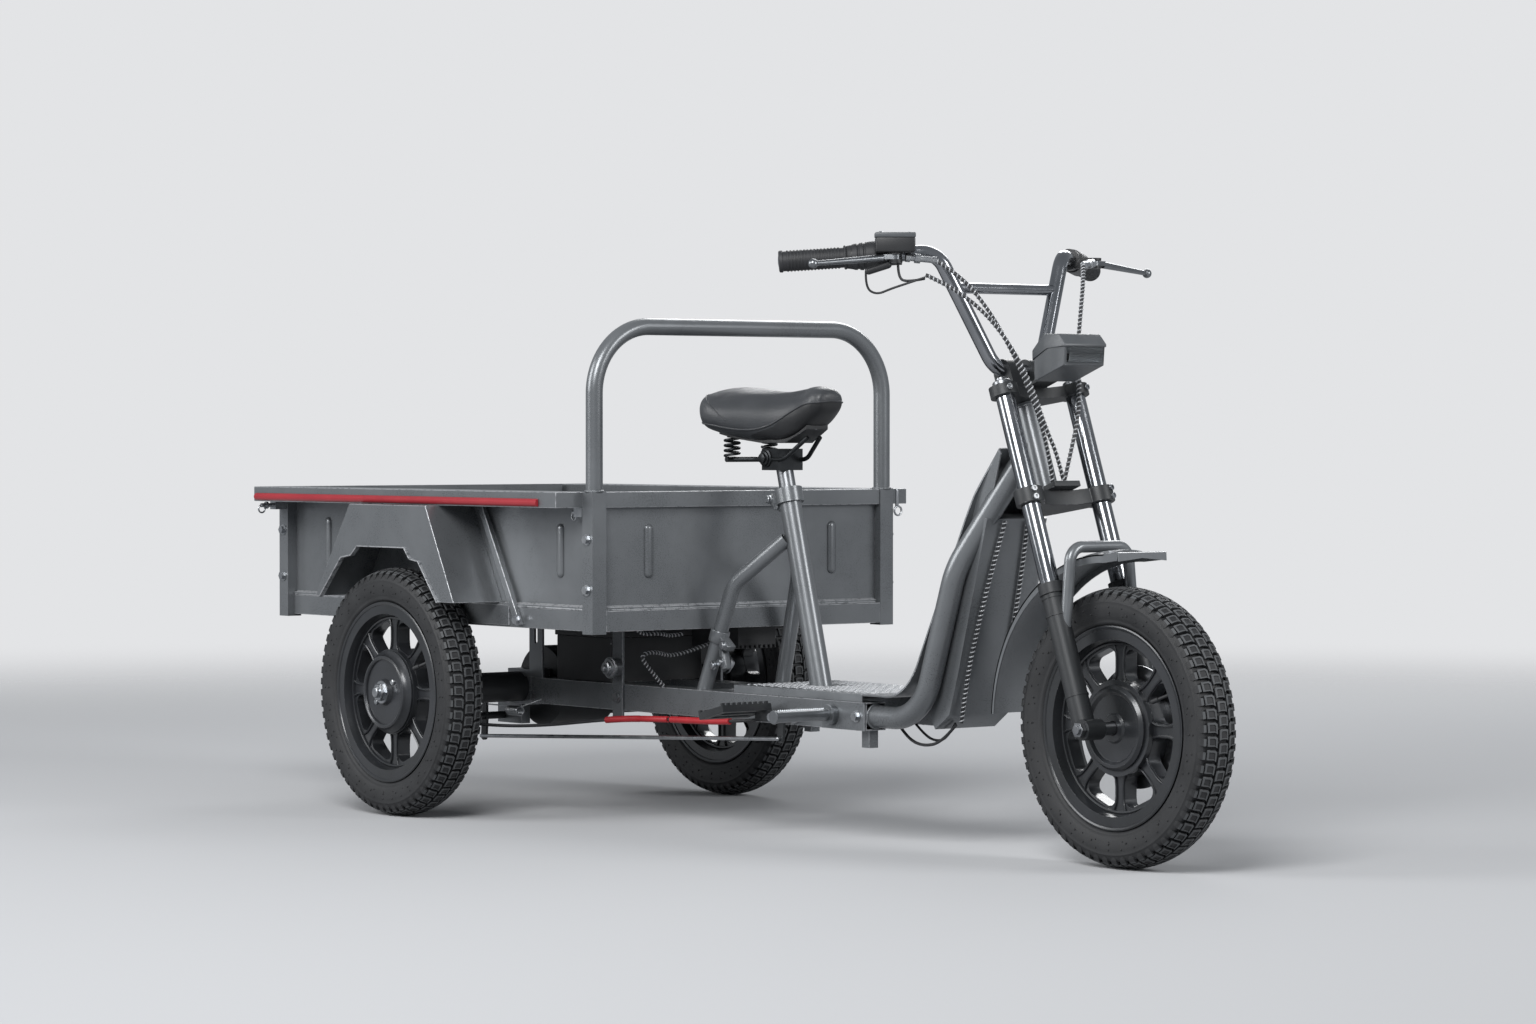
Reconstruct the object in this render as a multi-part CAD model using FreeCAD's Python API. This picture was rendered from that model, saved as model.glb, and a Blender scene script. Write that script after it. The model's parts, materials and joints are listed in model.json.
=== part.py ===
import FreeCAD, Part
import math
import os

V = FreeCAD.Vector
GROUND_MIRROR = (V(0, 0, 0), V(0, 1, 0))
SIDES = {"right": -1, "left": 1}

# Stance, in millimetres: travel along +X, left is +Y, ground at Z 0, rear axle at X 0 until the last shift
WHEELBASE = 1548.0
TRACK = 756.0

# Clearances
RUNNING_FIT = 0.05
SLIDING_FIT = 0.1
LOOSE_FIT = 0.4
BODY_GAP = 1.0
OVERCUT = 1.0

# Tyres and cast wheels
TYRE_DIAMETER = 455.0
TYRE_WIDTH = 78.0
TYRE_WALL = 9.0
TYRE_SHOULDER_INSET = 6.0
TYRE_CROWN_DROP = 8.5
RIM_FLANGE_R = 164.0
RIM_FLANGE = 4.0
RIM_WIDTH = 62.0
RIM_BEAD = 10.0
RIM_WELL = 11.0
RIM_WALL = 5.0
WEB_THICKNESS = 24.0
SPOKES = 8
SPOKE_WIDTH = 22.0
WINDOW_CORNER_R = 15.0
WINDOW_MARGIN = 3.0
HUB_R = 78.0
HUB_WIDTH = 44.0
COVER_R = 64.0
COVER_THICKNESS = 4.0
COVER_LIP = 5.0
COVER_BOSS_R = 22.0
COVER_BOSS = 4.0
COVER_EDGE = 4.0
COVER_DISH = 3.0
REAR_COVER_FOOT_R = 76.0
REAR_COVER_R = 66.0
REAR_COVER_DEPTH = 15.0

# Rear axle and brakes
HALF_SHAFT_R = 10.0
HALF_SHAFT_INNER_Y = 45.0
SHAFT_NUT_FLAT = 30.0
SHAFT_NUT = 9.0
SHAFT_TIP = 6.0
HOUSING_R = 28.0
HOUSING_WALL = 5.0
BACKING_PLATE_R = 70.0
BACKING_PLATE = 8.0
DRUM_WALL = 8.0
DRUM_DEPTH = 28.0
DRUM_GAP = 2.0
SHOE_GAP = 1.5
SHOE_THICKNESS = 12.0
SHOE_WIDTH = 20.0
SHOE_SWEEP = 130.0
MOTOR_R = 75.0
MOTOR_HALF_WIDTH = 62.0
MOTOR_WALL = 6.0
BEARING_WIDTH = 14.0

# Main frame
BEAM_Y = 88.0
BEAM_WIDTH = 44.0
BEAM_HEIGHT = 48.0
BEAM_BOTTOM = 198.0
BEAM_WALL = 2.5
BEAM_FRONT_GAP = 527.0
AXLE_CLAMP_HALF = 34.0
CROSS_X = (180.0, 560.0, 766.0, 915.0)
CROSS_WIDTH = 40.0
CROSS_HEIGHT = 30.0
END_PLATE = 4.0
END_PLATE_LENGTH = 116.0
STAND_LUG = 20.0
STAND_LUG_DROP = 30.0
STAND_LUG_INSET = 16.0
STAND_LUG_REAR_X = 627.0
DOWN_TUBE_R = 19.0
DOWN_TUBE_WALL = 2.0
DOWN_TUBE_SOCKET = 80.0
DOWN_TUBE_RUN = 119.0
DOWN_TUBE_KNEE = (-326.0, 82.0, 478.0)
DOWN_TUBE_BENDS = (95.0, 170.0)
DOWN_TUBE_HEAD_AT = 510.0

# Fork and steering, measured along and across the fork legs from the foot of the legs
RAKE = 20.0
AXLE_LEAD = 13.0
CROWN_OFFSET = 38.0
LEG_Y = 77.0
LOWER_CROWN_AT = 399.0
LOWER_CROWN = 26.0
UPPER_CROWN_AT = 582.0
UPPER_CROWN = 18.0
CROWN_LOBE_R = 24.0
CROWN_WEB = 34.0
CROWN_INSET = 4.0
STANCHION_R = 16.0
STANCHION_WALL = 2.5
STANCHION_TOP = 4.0
SLIDER_R = 18.5
SLIDER_TOP_AT = 232.0
SLIDER_PLUG = 24.0
SEAL_R = 21.0
SEAL_HEIGHT = 18.0
LUG_R = 17.0
LUG_WIDTH = 38.0
FORK_TRAVEL = 45.0
STEERER_R = 14.0
HEAD_TUBE_R = 20.0
HEAD_TUBE_WALL = 3.0
CUP_R = 23.0
CUP_FLANGE = 6.0
CUP_DEPTH = 12.0
AXLE_R = 7.5
AXLE_SPACER_R = 11.0
AXLE_NUT_FLAT = 22.0
AXLE_NUT = 10.0

# Front wheel bearings and brake
WHEEL_BEARING_R = 21.0
WHEEL_BEARING_WIDTH = 12.0
DISC_R = 100.0
DISC_INNER_R = 38.0
DISC_THICKNESS = 3.5
CALIPER_GAP = 0.6
CALIPER_LENGTH = 56.0
CALIPER_INNER = 5.0
CALIPER_OUTER = 22.0
CALIPER_BRIDGE = 10.0
CALIPER_ARM = 12.0

# Front mudguard and its hoop
FENDER_R = 280.0
FENDER_SHEET = 2.5
FENDER_HALF_WIDTH = 45.0
FENDER_CROWN = 7.0
FENDER_FRONT_DEG = 89.0
FENDER_REAR_DEG = 178.0
FENDER_TIP = 32.0
FENDER_TIP_HALF_WIDTH = 52.0
FENDER_TIP_PITCH = 8.0
HOOP_R = 9.5
HOOP_LEG_AT = 148.0
HOOP_SHOULDER = (-64.0, 62.0, 518.0)
HOOP_BEND = 26.0

# Handlebar, in fork measures: along, ahead of the legs, sideways
BAR_R = 12.5
BAR_WALL = 2.0
BAR_AT = 631.0
BAR_ELBOW_Y = 48.0
BAR_SHOULDER = (832.0, -14.0, 138.0)
BAR_END = (869.0, -163.0, 340.0)
BAR_BENDS = (45.0, 42.0)
CROSSBAR_R = 9.0
CROSSBAR_AT = 0.7
BAR_CLAMP_Y = 25.0
BAR_CLAMP_WIDTH = 22.0
BAR_CLAMP_R = 21.0
GRIP_R = 16.5
GRIP_LENGTH = 112.0
GRIP_FLANGE_R = 18.5
GRIP_FLANGE = 6.0
GRIP_END_R = 17.5
THROTTLE_BODY_R = 20.0
THROTTLE_BODY = 56.0
PERCH_R = 18.0
PERCH_WIDTH = 24.0
PERCH_ARM = 42.0
PERCH_ARM_HEIGHT = 18.0
PERCH_ARM_DROP = 6.0
PERCH_GAP = 3.0
LEVER_LENGTH = 152.0
LEVER_SWEEP = 11.0
LEVER_DROP = 5.0
LEVER_R = 5.0
LEVER_TAPER = 1.0
LEVER_STEM = 12.6
LEVER_BALL_R = 8.0
LEVER_HEIGHT = 8.0
LEVER_PIN_R = 3.5
LEVER_BOSS_R = 9.0
RESERVOIR = (62.0, 36.0, 24.0)
RESERVOIR_LID = 6.0
RESERVOIR_LID_LIP = 1.0
SWITCH_POD_R = 20.0
BUTTON_R = 6.0
BUTTON_DEPTH = 5.0
BUTTON_PROUD = 4.0
BUTTON_TRAVEL = 2.5

# Headlight, profile in the XZ plane from the front axle
HEADLIGHT_PROFILE = ((-174.0, 786.0), (-102.0, 812.0), (-99.0, 846.0), (-114.0, 862.0), (-150.0, 862.0),
                     (-176.0, 836.0))
HEADLIGHT_HALF_WIDTH = 44.0
HEADLIGHT_WALL = 3.0
HEADLIGHT_LENS = 4.0
HEADLIGHT_CHAMFER = 6.0
HEADLIGHT_BRACKET_HALF = 22.0
HEADLIGHT_BRACKET = 5.0

# Foot platform and leg shield: the shield's points are from the front axle
PLATFORM_REAR_X = 655.0
PLATFORM_FRONT_INSET = 11.0
PLATFORM_RISE = 14.0
PLATFORM_SHEET = 3.0
SEAT_TUBE_ROOM = 3.5
SHIELD_SHEET = 3.0
SHIELD_HALF_WIDTH = 66.0
COVER_FOOT = -430.0
COVER_KNEE = (-305.0, 600.0)
COVER_TOP = (-254.0, 676.0)
COVER_BENDS = (60.0, 150.0)
COVER_HALF_WIDTHS = ((110.0, 0.0), (110.0, 262.0), (96.0, 310.0), (66.0, 558.0), (57.0, 615.0), (42.0, 720.0))
COVER_WALL_Y = 52.0
COVER_WALL = ((-356.0, 460.0), COVER_KNEE, COVER_TOP, (-249.0, 668.0), (-280.0, 560.0), (-326.0, 460.0))
SHIELD_PROFILE = ((-398.0, 206.0), (-362.0, 232.0), (-340.0, 300.0), (-266.0, 560.0), (-296.0, 568.0),
                  (-370.0, 331.0), (-408.0, 222.0))

# Seat
SEAT_TUBE_R = 19.5
SEAT_TUBE_FOOT_X = 766.0
SEAT_TUBE_TOP = (669.0, 603.0)
SEAT_POST_R = 15.0
SEAT_POST_INSERT = 170.0
SEAT_POST_TOP = 62.0
SEAT_CLAMP_R = 25.0
SEAT_CLAMP_HEIGHT = 26.0
SEAT_CLAMP_EAR = 30.0
BRACE_R = 13.5
BRACE_WALL = 2.0
BRACE_TOP = (684.0, 16.0, 514.0)
BRACE_BEND = (605.0, 72.0, 434.0)
BRACE_FOOT_X = 540.0
BRACE_BEND_R = 60.0
SADDLE_STATIONS = ((516.0, 62.0, 720.0, 764.0), (545.0, 104.0, 708.0, 776.0), (590.0, 106.0, 700.0, 774.0),
                   (650.0, 80.0, 692.0, 769.0), (700.0, 56.0, 692.0, 770.0), (752.0, 43.0, 716.0, 778.0),
                   (794.0, 26.0, 746.0, 773.0))
SADDLE_FOOT_SHARE = 0.74
SADDLE_SHOULDER_SHARE = 0.72
SADDLE_WIDEST_SHARE = 0.45
SADDLE_EDGE_SHARE = 0.86
SADDLE_BASE = 8.0
SADDLE_BASE_SHARE = 0.56
SADDLE_SPRING_Y = 42.0
SADDLE_SPRING_X = 562.0
SADDLE_SPRING_R = 13.0
SADDLE_SPRING_WIRE_R = 2.4
SADDLE_SPRING_TURNS = 4
SADDLE_SPRING_PITCH = 9.0
SADDLE_RAIL_Z = 655.0
SADDLE_RAIL_R = 4.0
SADDLE_BAR_R = 5.0
SADDLE_RAIL_Y = 26.0
SADDLE_RAIL_NOSE = (742.0, 14.0, 694.0)
SADDLE_RAIL_BEND = 40.0
SADDLE_RAIL_KNEES = (606.0, 690.0)
SADDLE_CLAMP = (46.0, 38.0)

# Cargo box
BOX_FRONT_X = 550.0
BOX_REAR_X = -480.0
POST = 30.0
POST_Y = 325.0
POST_WALL = 2.5
POST_BOTTOM = 350.0
POST_TOP = 600.0
BASE_BOTTOM = 354.0
BASE_TOP = 391.0
BASE_OUTER_Y = 326.0
BASE_WIDTH = 30.0
BASE_WALL = 2.5
SHEET = 3.0
PANEL_Y = 320.0
PANEL_LIP = 6.0
RAIL_BOTTOM = 571.0
RAIL_HEIGHT = 28.0
RAIL_OUTER_Y = 397.0
RAIL_WALL = 2.5
RAIL_DRAIN_R = 4.0
FRONT_PANEL_RECESS = 16.0
RIB = (12.0, 4.0, 88.0)
RIB_BOTTOM = 450.0
SIDE_RIB_X = (-335.0, 427.0)
FRONT_RIB_Y = 207.0
GUARD_R = 15.0
GUARD_WALL = 2.0
GUARD_TOP = 904.0
GUARD_BEND = 118.0
STRIP_R = 7.0
STRIP_Z = 580.0
STRIP_FRONT_INSET = 52.0
STRIP_REAR_INSET = 10.0

# Tailgate and latches
GATE_GAP = 1.5
GATE_SHEET = 3.0
GATE_RAIL = 25.0
GATE_HINGE_R = 5.0
GATE_HINGE_BORE_R = 2.6
GATE_HINGE_KNUCKLES = 7
GATE_HINGE_LENGTH = 90.0
GATE_HINGE_Y = 200.0
LATCH_PIN_R = 4.0
LATCH_TRAVEL = 12.0
LATCH_BODY = (24.0, 20.0, 16.0)
LATCH_TAIL = 10.0
GATE_EAR = 20.0
LATCH_RING_R = 7.0
LATCH_RING_WIRE_R = 1.6
LATCH_COLLAR_R = 7.0
LATCH_COLLAR = 4.0

# Rear mudguards: outline of the outer plate in the XZ plane
MUDGUARD_OUTER_Y = 426.0
MUDGUARD_SHEET = 2.5
MUDGUARD_FOOT_Z = 398.0
MUDGUARD_FOOT = (-214.0, 245.0)
MUDGUARD_CROWN = (-98.0, 154.0)
MUDGUARD_ARCH = ((198.0, MUDGUARD_FOOT_Z), (137.0, 470.0), (109.0, 474.0), (91.0, 494.0), (-65.0, 494.0),
                 (-86.0, 477.0), (-120.0, 472.0), (-193.0, MUDGUARD_FOOT_Z))
STRUT_TOP_X = 186.0
STRUT_FOOT_X = 306.0
STRUT_FOOT_Z = 360.0
STRUT_WIDTH = 16.0
STRUT_DEPTH = 9.0
APRON = (130.0, 278.0)
APRON_CORNER = 30.0
APRON_STEP = (4.0, 14.0)

# Hangers, battery and controller
HANGER_X = (300.0, 330.0)
HANGER_PLATE = 5.0
HANGER_FOOT = 12.0
HANGER_BOLT_Z = 276.0
BUSH_R = 17.0
BUSH_BOLT = 7.0
BUSH_BOLT_FLAT = 20.0
REAR_HANGER_X = (36.0, 78.0)
SLOT_R = 5.0
SLOT_LENGTH = 34.0
BATTERY_X = (110.0, 280.0)
BATTERY_HALF_WIDTH = 104.0
BATTERY_HEIGHT = 96.0
BATTERY_LID = 14.0
CONTROLLER_X = (352.0, 492.0)
CONTROLLER_Y = (26.0, 112.0)
CONTROLLER_HEIGHT = 42.0
CONTROLLER_FIN = 6.0
CONTROLLER_FINS = 8
CONTROLLER_SLOT_SHARE = 0.4

# Brake pedal, rod and cross shaft
PEDAL_PIVOT = (830.0, 214.0)
PEDAL_PIN_R = 7.0
PEDAL_PIN_LENGTH = 58.0
PEDAL_BOSS_R = 13.0
PEDAL_ARM_Y = (126.0, 138.0)
PEDAL_ARM_HEIGHT = 18.0
PEDAL_PAD = (70.0, 106.0, 12.0)
PEDAL_PAD_BAR = 13.0
PEDAL_PAD_REAR_X = 716.0
PEDAL_PAD_REAR_Z = 206.0
PEDAL_PITCH = 14.0
PEDAL_TEETH = 9
PEDAL_TOOTH = (5.0, 4.0)
PEDAL_TRAVEL = 14.0
BRAKE_LEVER = 38.0
BRAKE_LEVER_WIDTH = 16.0
BRAKE_LEVER_PLATE = 5.0
CROSS_SHAFT_AT = (-72.0, 170.0)
CROSS_SHAFT_R = 7.0
CROSS_SHAFT_HALF = 296.0
CROSS_SHAFT_BLOCK_Y = (78.0, 98.0)
CROSS_SHAFT_BLOCK_X = (-92.0, -14.0)
CROSS_SHAFT_ARM_WIDTH = 6.0
ROD_R = 3.5
ROD_PIN_R = 3.0
ROD_PIN_SLACK = 0.7
RETURN_SPRING_R = 8.0
RETURN_SPRING_WIRE_R = 1.3
RETURN_SPRING_TURNS = 10
RETURN_SPRING_PITCH = 3.6
RETURN_SPRING_AT = (8.0, 184.0)
RETURN_SPRING_HOOK = (70.0, 206.0)

# Foot pegs
PEG_INSET = 86.0
PEG_Z = 222.0
PEG_R = 10.0
PEG_LENGTH = 124.0
PEG_FLANGE_R = 18.0
PEG_FLANGE = 12.0
PEG_CAP_R = 12.0
PEG_CAP = 4.0

# Bolts
BOLT_FLAT = 13.0
BOLT_HEAD = 6.0
BOLT_WASHER_R = 10.0
BOLT_WASHER = 1.6
POST_BOLT_SHARES = (0.35, 0.75)

# Cables and conduits: those of the bar and the shield are measured from the front axle
CORD_BEND_SHARE = 0.45
CONDUIT_R = 5.0
CABLE_R = 3.0
RIGHT_UPPER_ROUTE = ((-286.0, -164.0, 986.0), (-252.0, -140.0, 962.0), (-218.0, -112.0, 912.0),
                     (-192.0, -86.0, 850.0), (-172.0, -66.0, 790.0), (-164.0, -44.0, 732.0),
                     (-160.0, -26.0, 676.0), (-160.0, -16.0, 620.5))
RIGHT_LOWER_ROUTE = ((-280.0, -186.0, 968.0), (-236.0, -166.0, 944.0), (-196.0, -130.0, 898.0),
                     (-166.0, -96.0, 838.0), (-152.0, -66.0, 772.0), (-148.0, -42.0, 710.0),
                     (-144.0, -20.0, 666.0), (-146.0, -6.0, 626.5))
LEFT_ROUTE = ((-286.0, 164.0, 986.0), (-256.0, 138.0, 956.0), (-230.0, 108.0, 900.0), (-208.0, 82.0, 838.0),
              (-182.0, 62.0, 784.0), (-164.0, 44.0, 728.0), (-162.0, 26.0, 672.0), (-166.0, 14.0, 619.0))
SHIELD_ROUTES = (((-261.7, -30.0, 556.0), (-286.2, -40.0, 470.0), (-310.6, -46.0, 384.0),
                  (-335.5, -50.0, 296.0), (-356.0, -44.0, 218.0)),
                 ((-262.7, 20.0, 552.0), (-283.2, 27.0, 480.0), (-304.8, 31.0, 404.0),
                  (-325.4, 34.0, 330.0), (-345.8, 42.0, 262.0)))

# Brake cable: points from the pedal back, then points measured inwards from the right wheel's middle
BRAKE_CABLE_RUN = ((770.0, -113.0, 206.0), (700.0, -119.0, 199.0), (620.0, -126.0, 194.0),
                   (540.0, -126.0, 192.0), (450.0, -128.0, 190.0), (360.0, -134.0, 186.0),
                   (280.0, -152.0, 178.0), (200.0, -184.0, 168.0))
BRAKE_CABLE_END = ((130.0, 152.0, 164.0), (70.0, 104.0, 168.0), (30.0, 63.0, 178.0))
SLEEVE_R = 6.0
SLEEVE_RUNS = ((1, 3), (4, 5))
CABLE_CLIP = (30.0, 56.0, 10.0)

# Values worked out from the sizes above
AXLE_Z = TYRE_DIAMETER / 2
WHEEL_Y = TRACK / 2
BEAM_FRONT_X = WHEELBASE - BEAM_FRONT_GAP
PLATFORM_FRONT_X = BEAM_FRONT_X - PLATFORM_FRONT_INSET
RIM_SEAT_R = RIM_FLANGE_R - RIM_BEAD
BEAM_TOP = BEAM_BOTTOM + BEAM_HEIGHT
BEAM_INNER_Y = BEAM_Y - BEAM_WIDTH / 2
BEAM_OUTER_Y = BEAM_Y + BEAM_WIDTH / 2
DOWN_TUBE_Z = BEAM_BOTTOM + BEAM_HEIGHT / 2
PLATFORM_TOP = BEAM_TOP + PLATFORM_RISE
RAIL_TOP = RAIL_BOTTOM + RAIL_HEIGHT
POST_INNER_Y = POST_Y - POST / 2
POST_OUTER_Y = POST_Y + POST / 2
FLOOR_TOP = BASE_TOP + SHEET
GATE_AXIS = V(BOX_REAR_X - GATE_HINGE_R - LOOSE_FIT, 0, BASE_TOP)
REAR_END_X = GATE_AXIS.x - GATE_HINGE_R
FRONT_END_X = WHEELBASE + TYRE_DIAMETER / 2
MIDDLE_X = (REAR_END_X + FRONT_END_X) / 2
FORK_UP = V(-math.sin(math.radians(RAKE)), 0, math.cos(math.radians(RAKE)))
STANCHION_FOOT_AT = SLIDER_PLUG + FORK_TRAVEL + SEAL_R
FORK_AHEAD = V(math.cos(math.radians(RAKE)), 0, math.sin(math.radians(RAKE)))
LEG_FOOT = V(WHEELBASE, 0, AXLE_Z) - FORK_AHEAD * AXLE_LEAD
SEAT_TUBE_FOOT = V(SEAT_TUBE_FOOT_X, 0, BEAM_TOP)
SEAT_UP = (V(SEAT_TUBE_TOP[0], 0, SEAT_TUBE_TOP[1]) - SEAT_TUBE_FOOT).normalize()
SEAT_TUBE_LENGTH = (V(SEAT_TUBE_TOP[0], 0, SEAT_TUBE_TOP[1]) - SEAT_TUBE_FOOT).Length


# Shapes used again and again
def block(x, y, z):
    """A box between two ends along each axis, in any order."""
    lows = [min(pair) for pair in (x, y, z)]
    spans = [abs(pair[1] - pair[0]) for pair in (x, y, z)]
    return Part.makeBox(*spans, V(*lows))


def rod(start, end, radius):
    """A round bar between two points."""
    return Part.makeCylinder(radius, (end - start).Length, start, end - start)


def pipe(start, end, outer_r, inner_r):
    """A straight round tube between two points."""
    return rod(start, end, outer_r).cut(rod(start, end, inner_r))


def box_tube(x, y, z, wall, along):
    """A rectangular tube, open at both ends of the named axis."""
    inner = {"x": x, "y": y, "z": z}
    for axis, pair in (("x", x), ("y", y), ("z", z)):
        step = -wall if axis == along else wall
        inner[axis] = (min(pair) + step, max(pair) - step)
    return block(x, y, z).cut(block(inner["x"], inner["y"], inner["z"]))


def line(start, end):
    return Part.LineSegment(start, end).toShape()


def arc(start, middle, end):
    return Part.Arc(start, middle, end).toShape()


def bent_path(points, bends):
    """Straight runs joined by tangent arcs, as one wire."""
    edges = []
    start = points[0]
    for corner, after, radius in zip(points[1:-1], points[2:], bends):
        into = (corner - start).normalize()
        out = (after - corner).normalize()
        turn = into.getAngle(out)
        reach = radius * math.tan(turn / 2)
        inward = (out - into).normalize()
        middle = corner + inward * (radius / math.cos(turn / 2) - radius)
        edges.append(line(start, corner - into * reach))
        edges.append(arc(corner - into * reach, middle, corner + out * reach))
        start = corner + out * reach
    edges.append(line(start, points[-1]))
    return Part.Wire(edges)


def sweep(path, radius):
    """A round bar along a wire."""
    first = path.OrderedEdges[0]
    start = first.valueAt(first.FirstParameter)
    direction = first.tangentAt(first.FirstParameter)
    ring = Part.Wire(Part.makeCircle(radius, start, direction))
    return path.makePipeShell([ring], True, False)


def bent_tube(points, bends, outer_r, inner_r):
    path = bent_path(points, bends)
    return sweep(path, outer_r).cut(sweep(path, inner_r))


def cord_bends(points):
    """Bend radii of a cable, as large as its runs allow."""
    bends = []
    for before, corner, after in zip(points, points[1:], points[2:]):
        run = min((corner - before).Length, (after - corner).Length)
        turn = (corner - before).getAngle(after - corner)
        bends.append(CORD_BEND_SHARE * run / math.tan(turn / 2))
    return bends


def cord(route, radius):
    """A cable along straight runs and wide bends."""
    points = [V(*point) for point in route]
    bends = cord_bends(points)
    path = bent_path(points, bends)
    shape = sweep(path, radius)
    share = shape.Volume / (math.pi * radius ** 2 * path.Length)
    print("cable: length %.0f, tightest bend %.0f, volume share %.4f" % (path.Length, min(bends), share))
    return shape


def sleeve(route, first, last, radius):
    """A cover on a cable, from the middle of one run to the middle of a later one."""
    points = [V(*point) for point in route]
    bends = cord_bends(points)[first:last]
    start = (points[first] + points[first + 1]) / 2
    end = (points[last] + points[last + 1]) / 2
    return sweep(bent_path([start] + points[first + 1:last + 1] + [end], bends), radius)


def prism(outline, y):
    """A plate with an outline in the XZ plane, between two places along Y."""
    points = [V(x, y[0], z) for x, z in outline]
    face = Part.Face(Part.makePolygon(points + points[:1]))
    return face.extrude(V(0, y[1] - y[0], 0))


def turned(outline):
    """A solid of revolution about the Y axis, from points (y, radius)."""
    points = [V(0, y, radius) for y, radius in outline]
    face = Part.Face(Part.makePolygon(points + points[:1]))
    return face.revolve(V(0, 0, 0), V(0, 1, 0), 360)


def hexagon(centre, direction, flat, height):
    """A hexagonal nut or bolt head standing on a point."""
    across = direction.cross(V(0, 0, 1))
    if across.Length < 0.5:
        across = V(1, 0, 0)
    across.normalize()
    upright = direction.cross(across).normalize()
    corner = flat / math.sqrt(3)
    points = []
    for step in range(7):
        turn = math.radians(60 * step)
        points.append(centre + across * (corner * math.cos(turn)) + upright * (corner * math.sin(turn)))
    return Part.Face(Part.makePolygon(points)).extrude(direction * height)


def mirrored(shape):
    return shape.mirror(*GROUND_MIRROR)


def both_sides(shape):
    """A right-hand piece and its left-hand twin."""
    return [shape, mirrored(shape)]


def at_wheel(shape, x, y):
    moved = shape.copy()
    moved.translate(V(x, y, AXLE_Z))
    return moved


def fork(along, ahead, side):
    """A point measured along and across the fork legs."""
    return LEG_FOOT + FORK_UP * along + FORK_AHEAD * ahead + V(0, side, 0)


def from_front(points):
    """Points measured from the front axle along X, in the axle frame."""
    return [(WHEELBASE + point[0],) + tuple(point[1:]) for point in points]


def seat(along):
    return SEAT_TUBE_FOOT + SEAT_UP * along


def biarc(start, start_tangent, end, end_tangent):
    """Two tangent arcs between two points with given tangents."""
    span = end - start
    tangents = start_tangent + end_tangent
    a = tangents.dot(tangents) - 4
    b = -2 * span.dot(tangents)
    c = span.dot(span)
    reach = (-b - math.sqrt(b * b - 4 * a * c)) / (2 * a)
    first = start + start_tangent * reach
    second = end - end_tangent * reach
    joint = (first + second) / 2
    edges = []
    for tail, knee, head in ((start, first, joint), (joint, second, end)):
        chord = (tail + head) / 2
        half = (head - tail).Length / 2
        rise = (knee - chord).Length
        angle = math.atan2(rise, half)
        edges.append(arc(tail, chord + (knee - chord) * (half * math.tan(angle / 2) / rise), head))
    return edges


def spring(centre, axis, across, radius, wire_r, turns, pitch):
    """A coil spring of quarter-turn biarcs, starting at its centre line's foot."""
    beside = axis.cross(across)
    slope = pitch / (2 * math.pi * radius)
    quarters = []
    for step in range(4 * turns + 1):
        turn = math.pi / 2 * step
        place = across * (radius * math.cos(turn)) + beside * (radius * math.sin(turn))
        tangent = beside * math.cos(turn) - across * math.sin(turn) + axis * slope
        quarters.append((centre + place + axis * (pitch * step / 4), tangent.normalize()))
    edges = []
    for (start, start_tangent), (end, end_tangent) in zip(quarters, quarters[1:]):
        edges.extend(biarc(start, start_tangent, end, end_tangent))
    path = Part.Wire(edges)
    samples = path.discretize(Number=48 * turns + 1)
    apart = []
    for index, point in enumerate(samples):
        apart.extend(point.distanceToPoint(other) for other in samples[index + 30:])
    print("spring: %d curls, least gap to itself %.2f" % (turns, min(apart) - 2 * wire_r))
    return sweep(path, wire_r)


# Wheels
def tyre():
    half = TYRE_WIDTH / 2
    outer_r = TYRE_DIAMETER / 2
    widest_r = (RIM_FLANGE_R + outer_r) / 2
    bead = RIM_WIDTH / 2 - RIM_FLANGE
    shoulder = half - TYRE_SHOULDER_INSET
    shoulder_r = outer_r - TYRE_CROWN_DROP

    def ring(inset):
        """Points of one half of the section, from the bead to the crown."""
        return [V(0, bead - inset, RIM_FLANGE_R), V(0, half - inset, widest_r),
                V(0, shoulder - inset, shoulder_r - inset), V(0, 0, outer_r - inset)]

    def across(point):
        return V(0, -point.y, point.z)

    edges = []
    for inset, order in ((0.0, 1), (TYRE_WALL, -1)):
        foot, side, edge, crown = ring(inset)
        run = [arc(foot, side, edge), arc(edge, crown, across(edge)),
               arc(across(edge), across(side), across(foot))]
        edges.extend(run[::order])
    for side in SIDES.values():
        toe = [V(0, side * (bead - inset), RIM_SEAT_R) for inset in (0.0, TYRE_WALL)]
        heel = [V(0, side * (bead - inset), RIM_FLANGE_R) for inset in (0.0, TYRE_WALL)]
        edges.extend([line(heel[0], toe[0]), line(toe[0], toe[1]), line(toe[1], heel[1])])
    face = Part.Face(Part.Wire(Part.__sortEdges__(edges)))
    return face.revolve(V(0, 0, 0), V(0, 1, 0), 360)


def spoke_window(index):
    """The opening between two spokes, narrow at the hub and rounded at its corners."""
    inner_r = HUB_R + WINDOW_MARGIN
    outer_r = RIM_SEAT_R - RIM_WELL - RIM_WALL - WINDOW_MARGIN
    middle = 2 * math.pi * (index + 0.5) / SPOKES
    corners = []
    for radius, side in ((inner_r, -1), (inner_r, 1), (outer_r, 1), (outer_r, -1)):
        swing = side * (math.pi / SPOKES - math.asin(SPOKE_WIDTH / 2 / radius))
        corners.append((radius * math.cos(middle + swing), radius * math.sin(middle + swing)))
    opening = prism(corners, (-WEB_THICKNESS, WEB_THICKNESS))
    upright = [edge for edge in opening.Edges if abs(edge.tangentAt(edge.FirstParameter).y) > 0.9]
    return opening.makeFillet(WINDOW_CORNER_R, upright)


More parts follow.
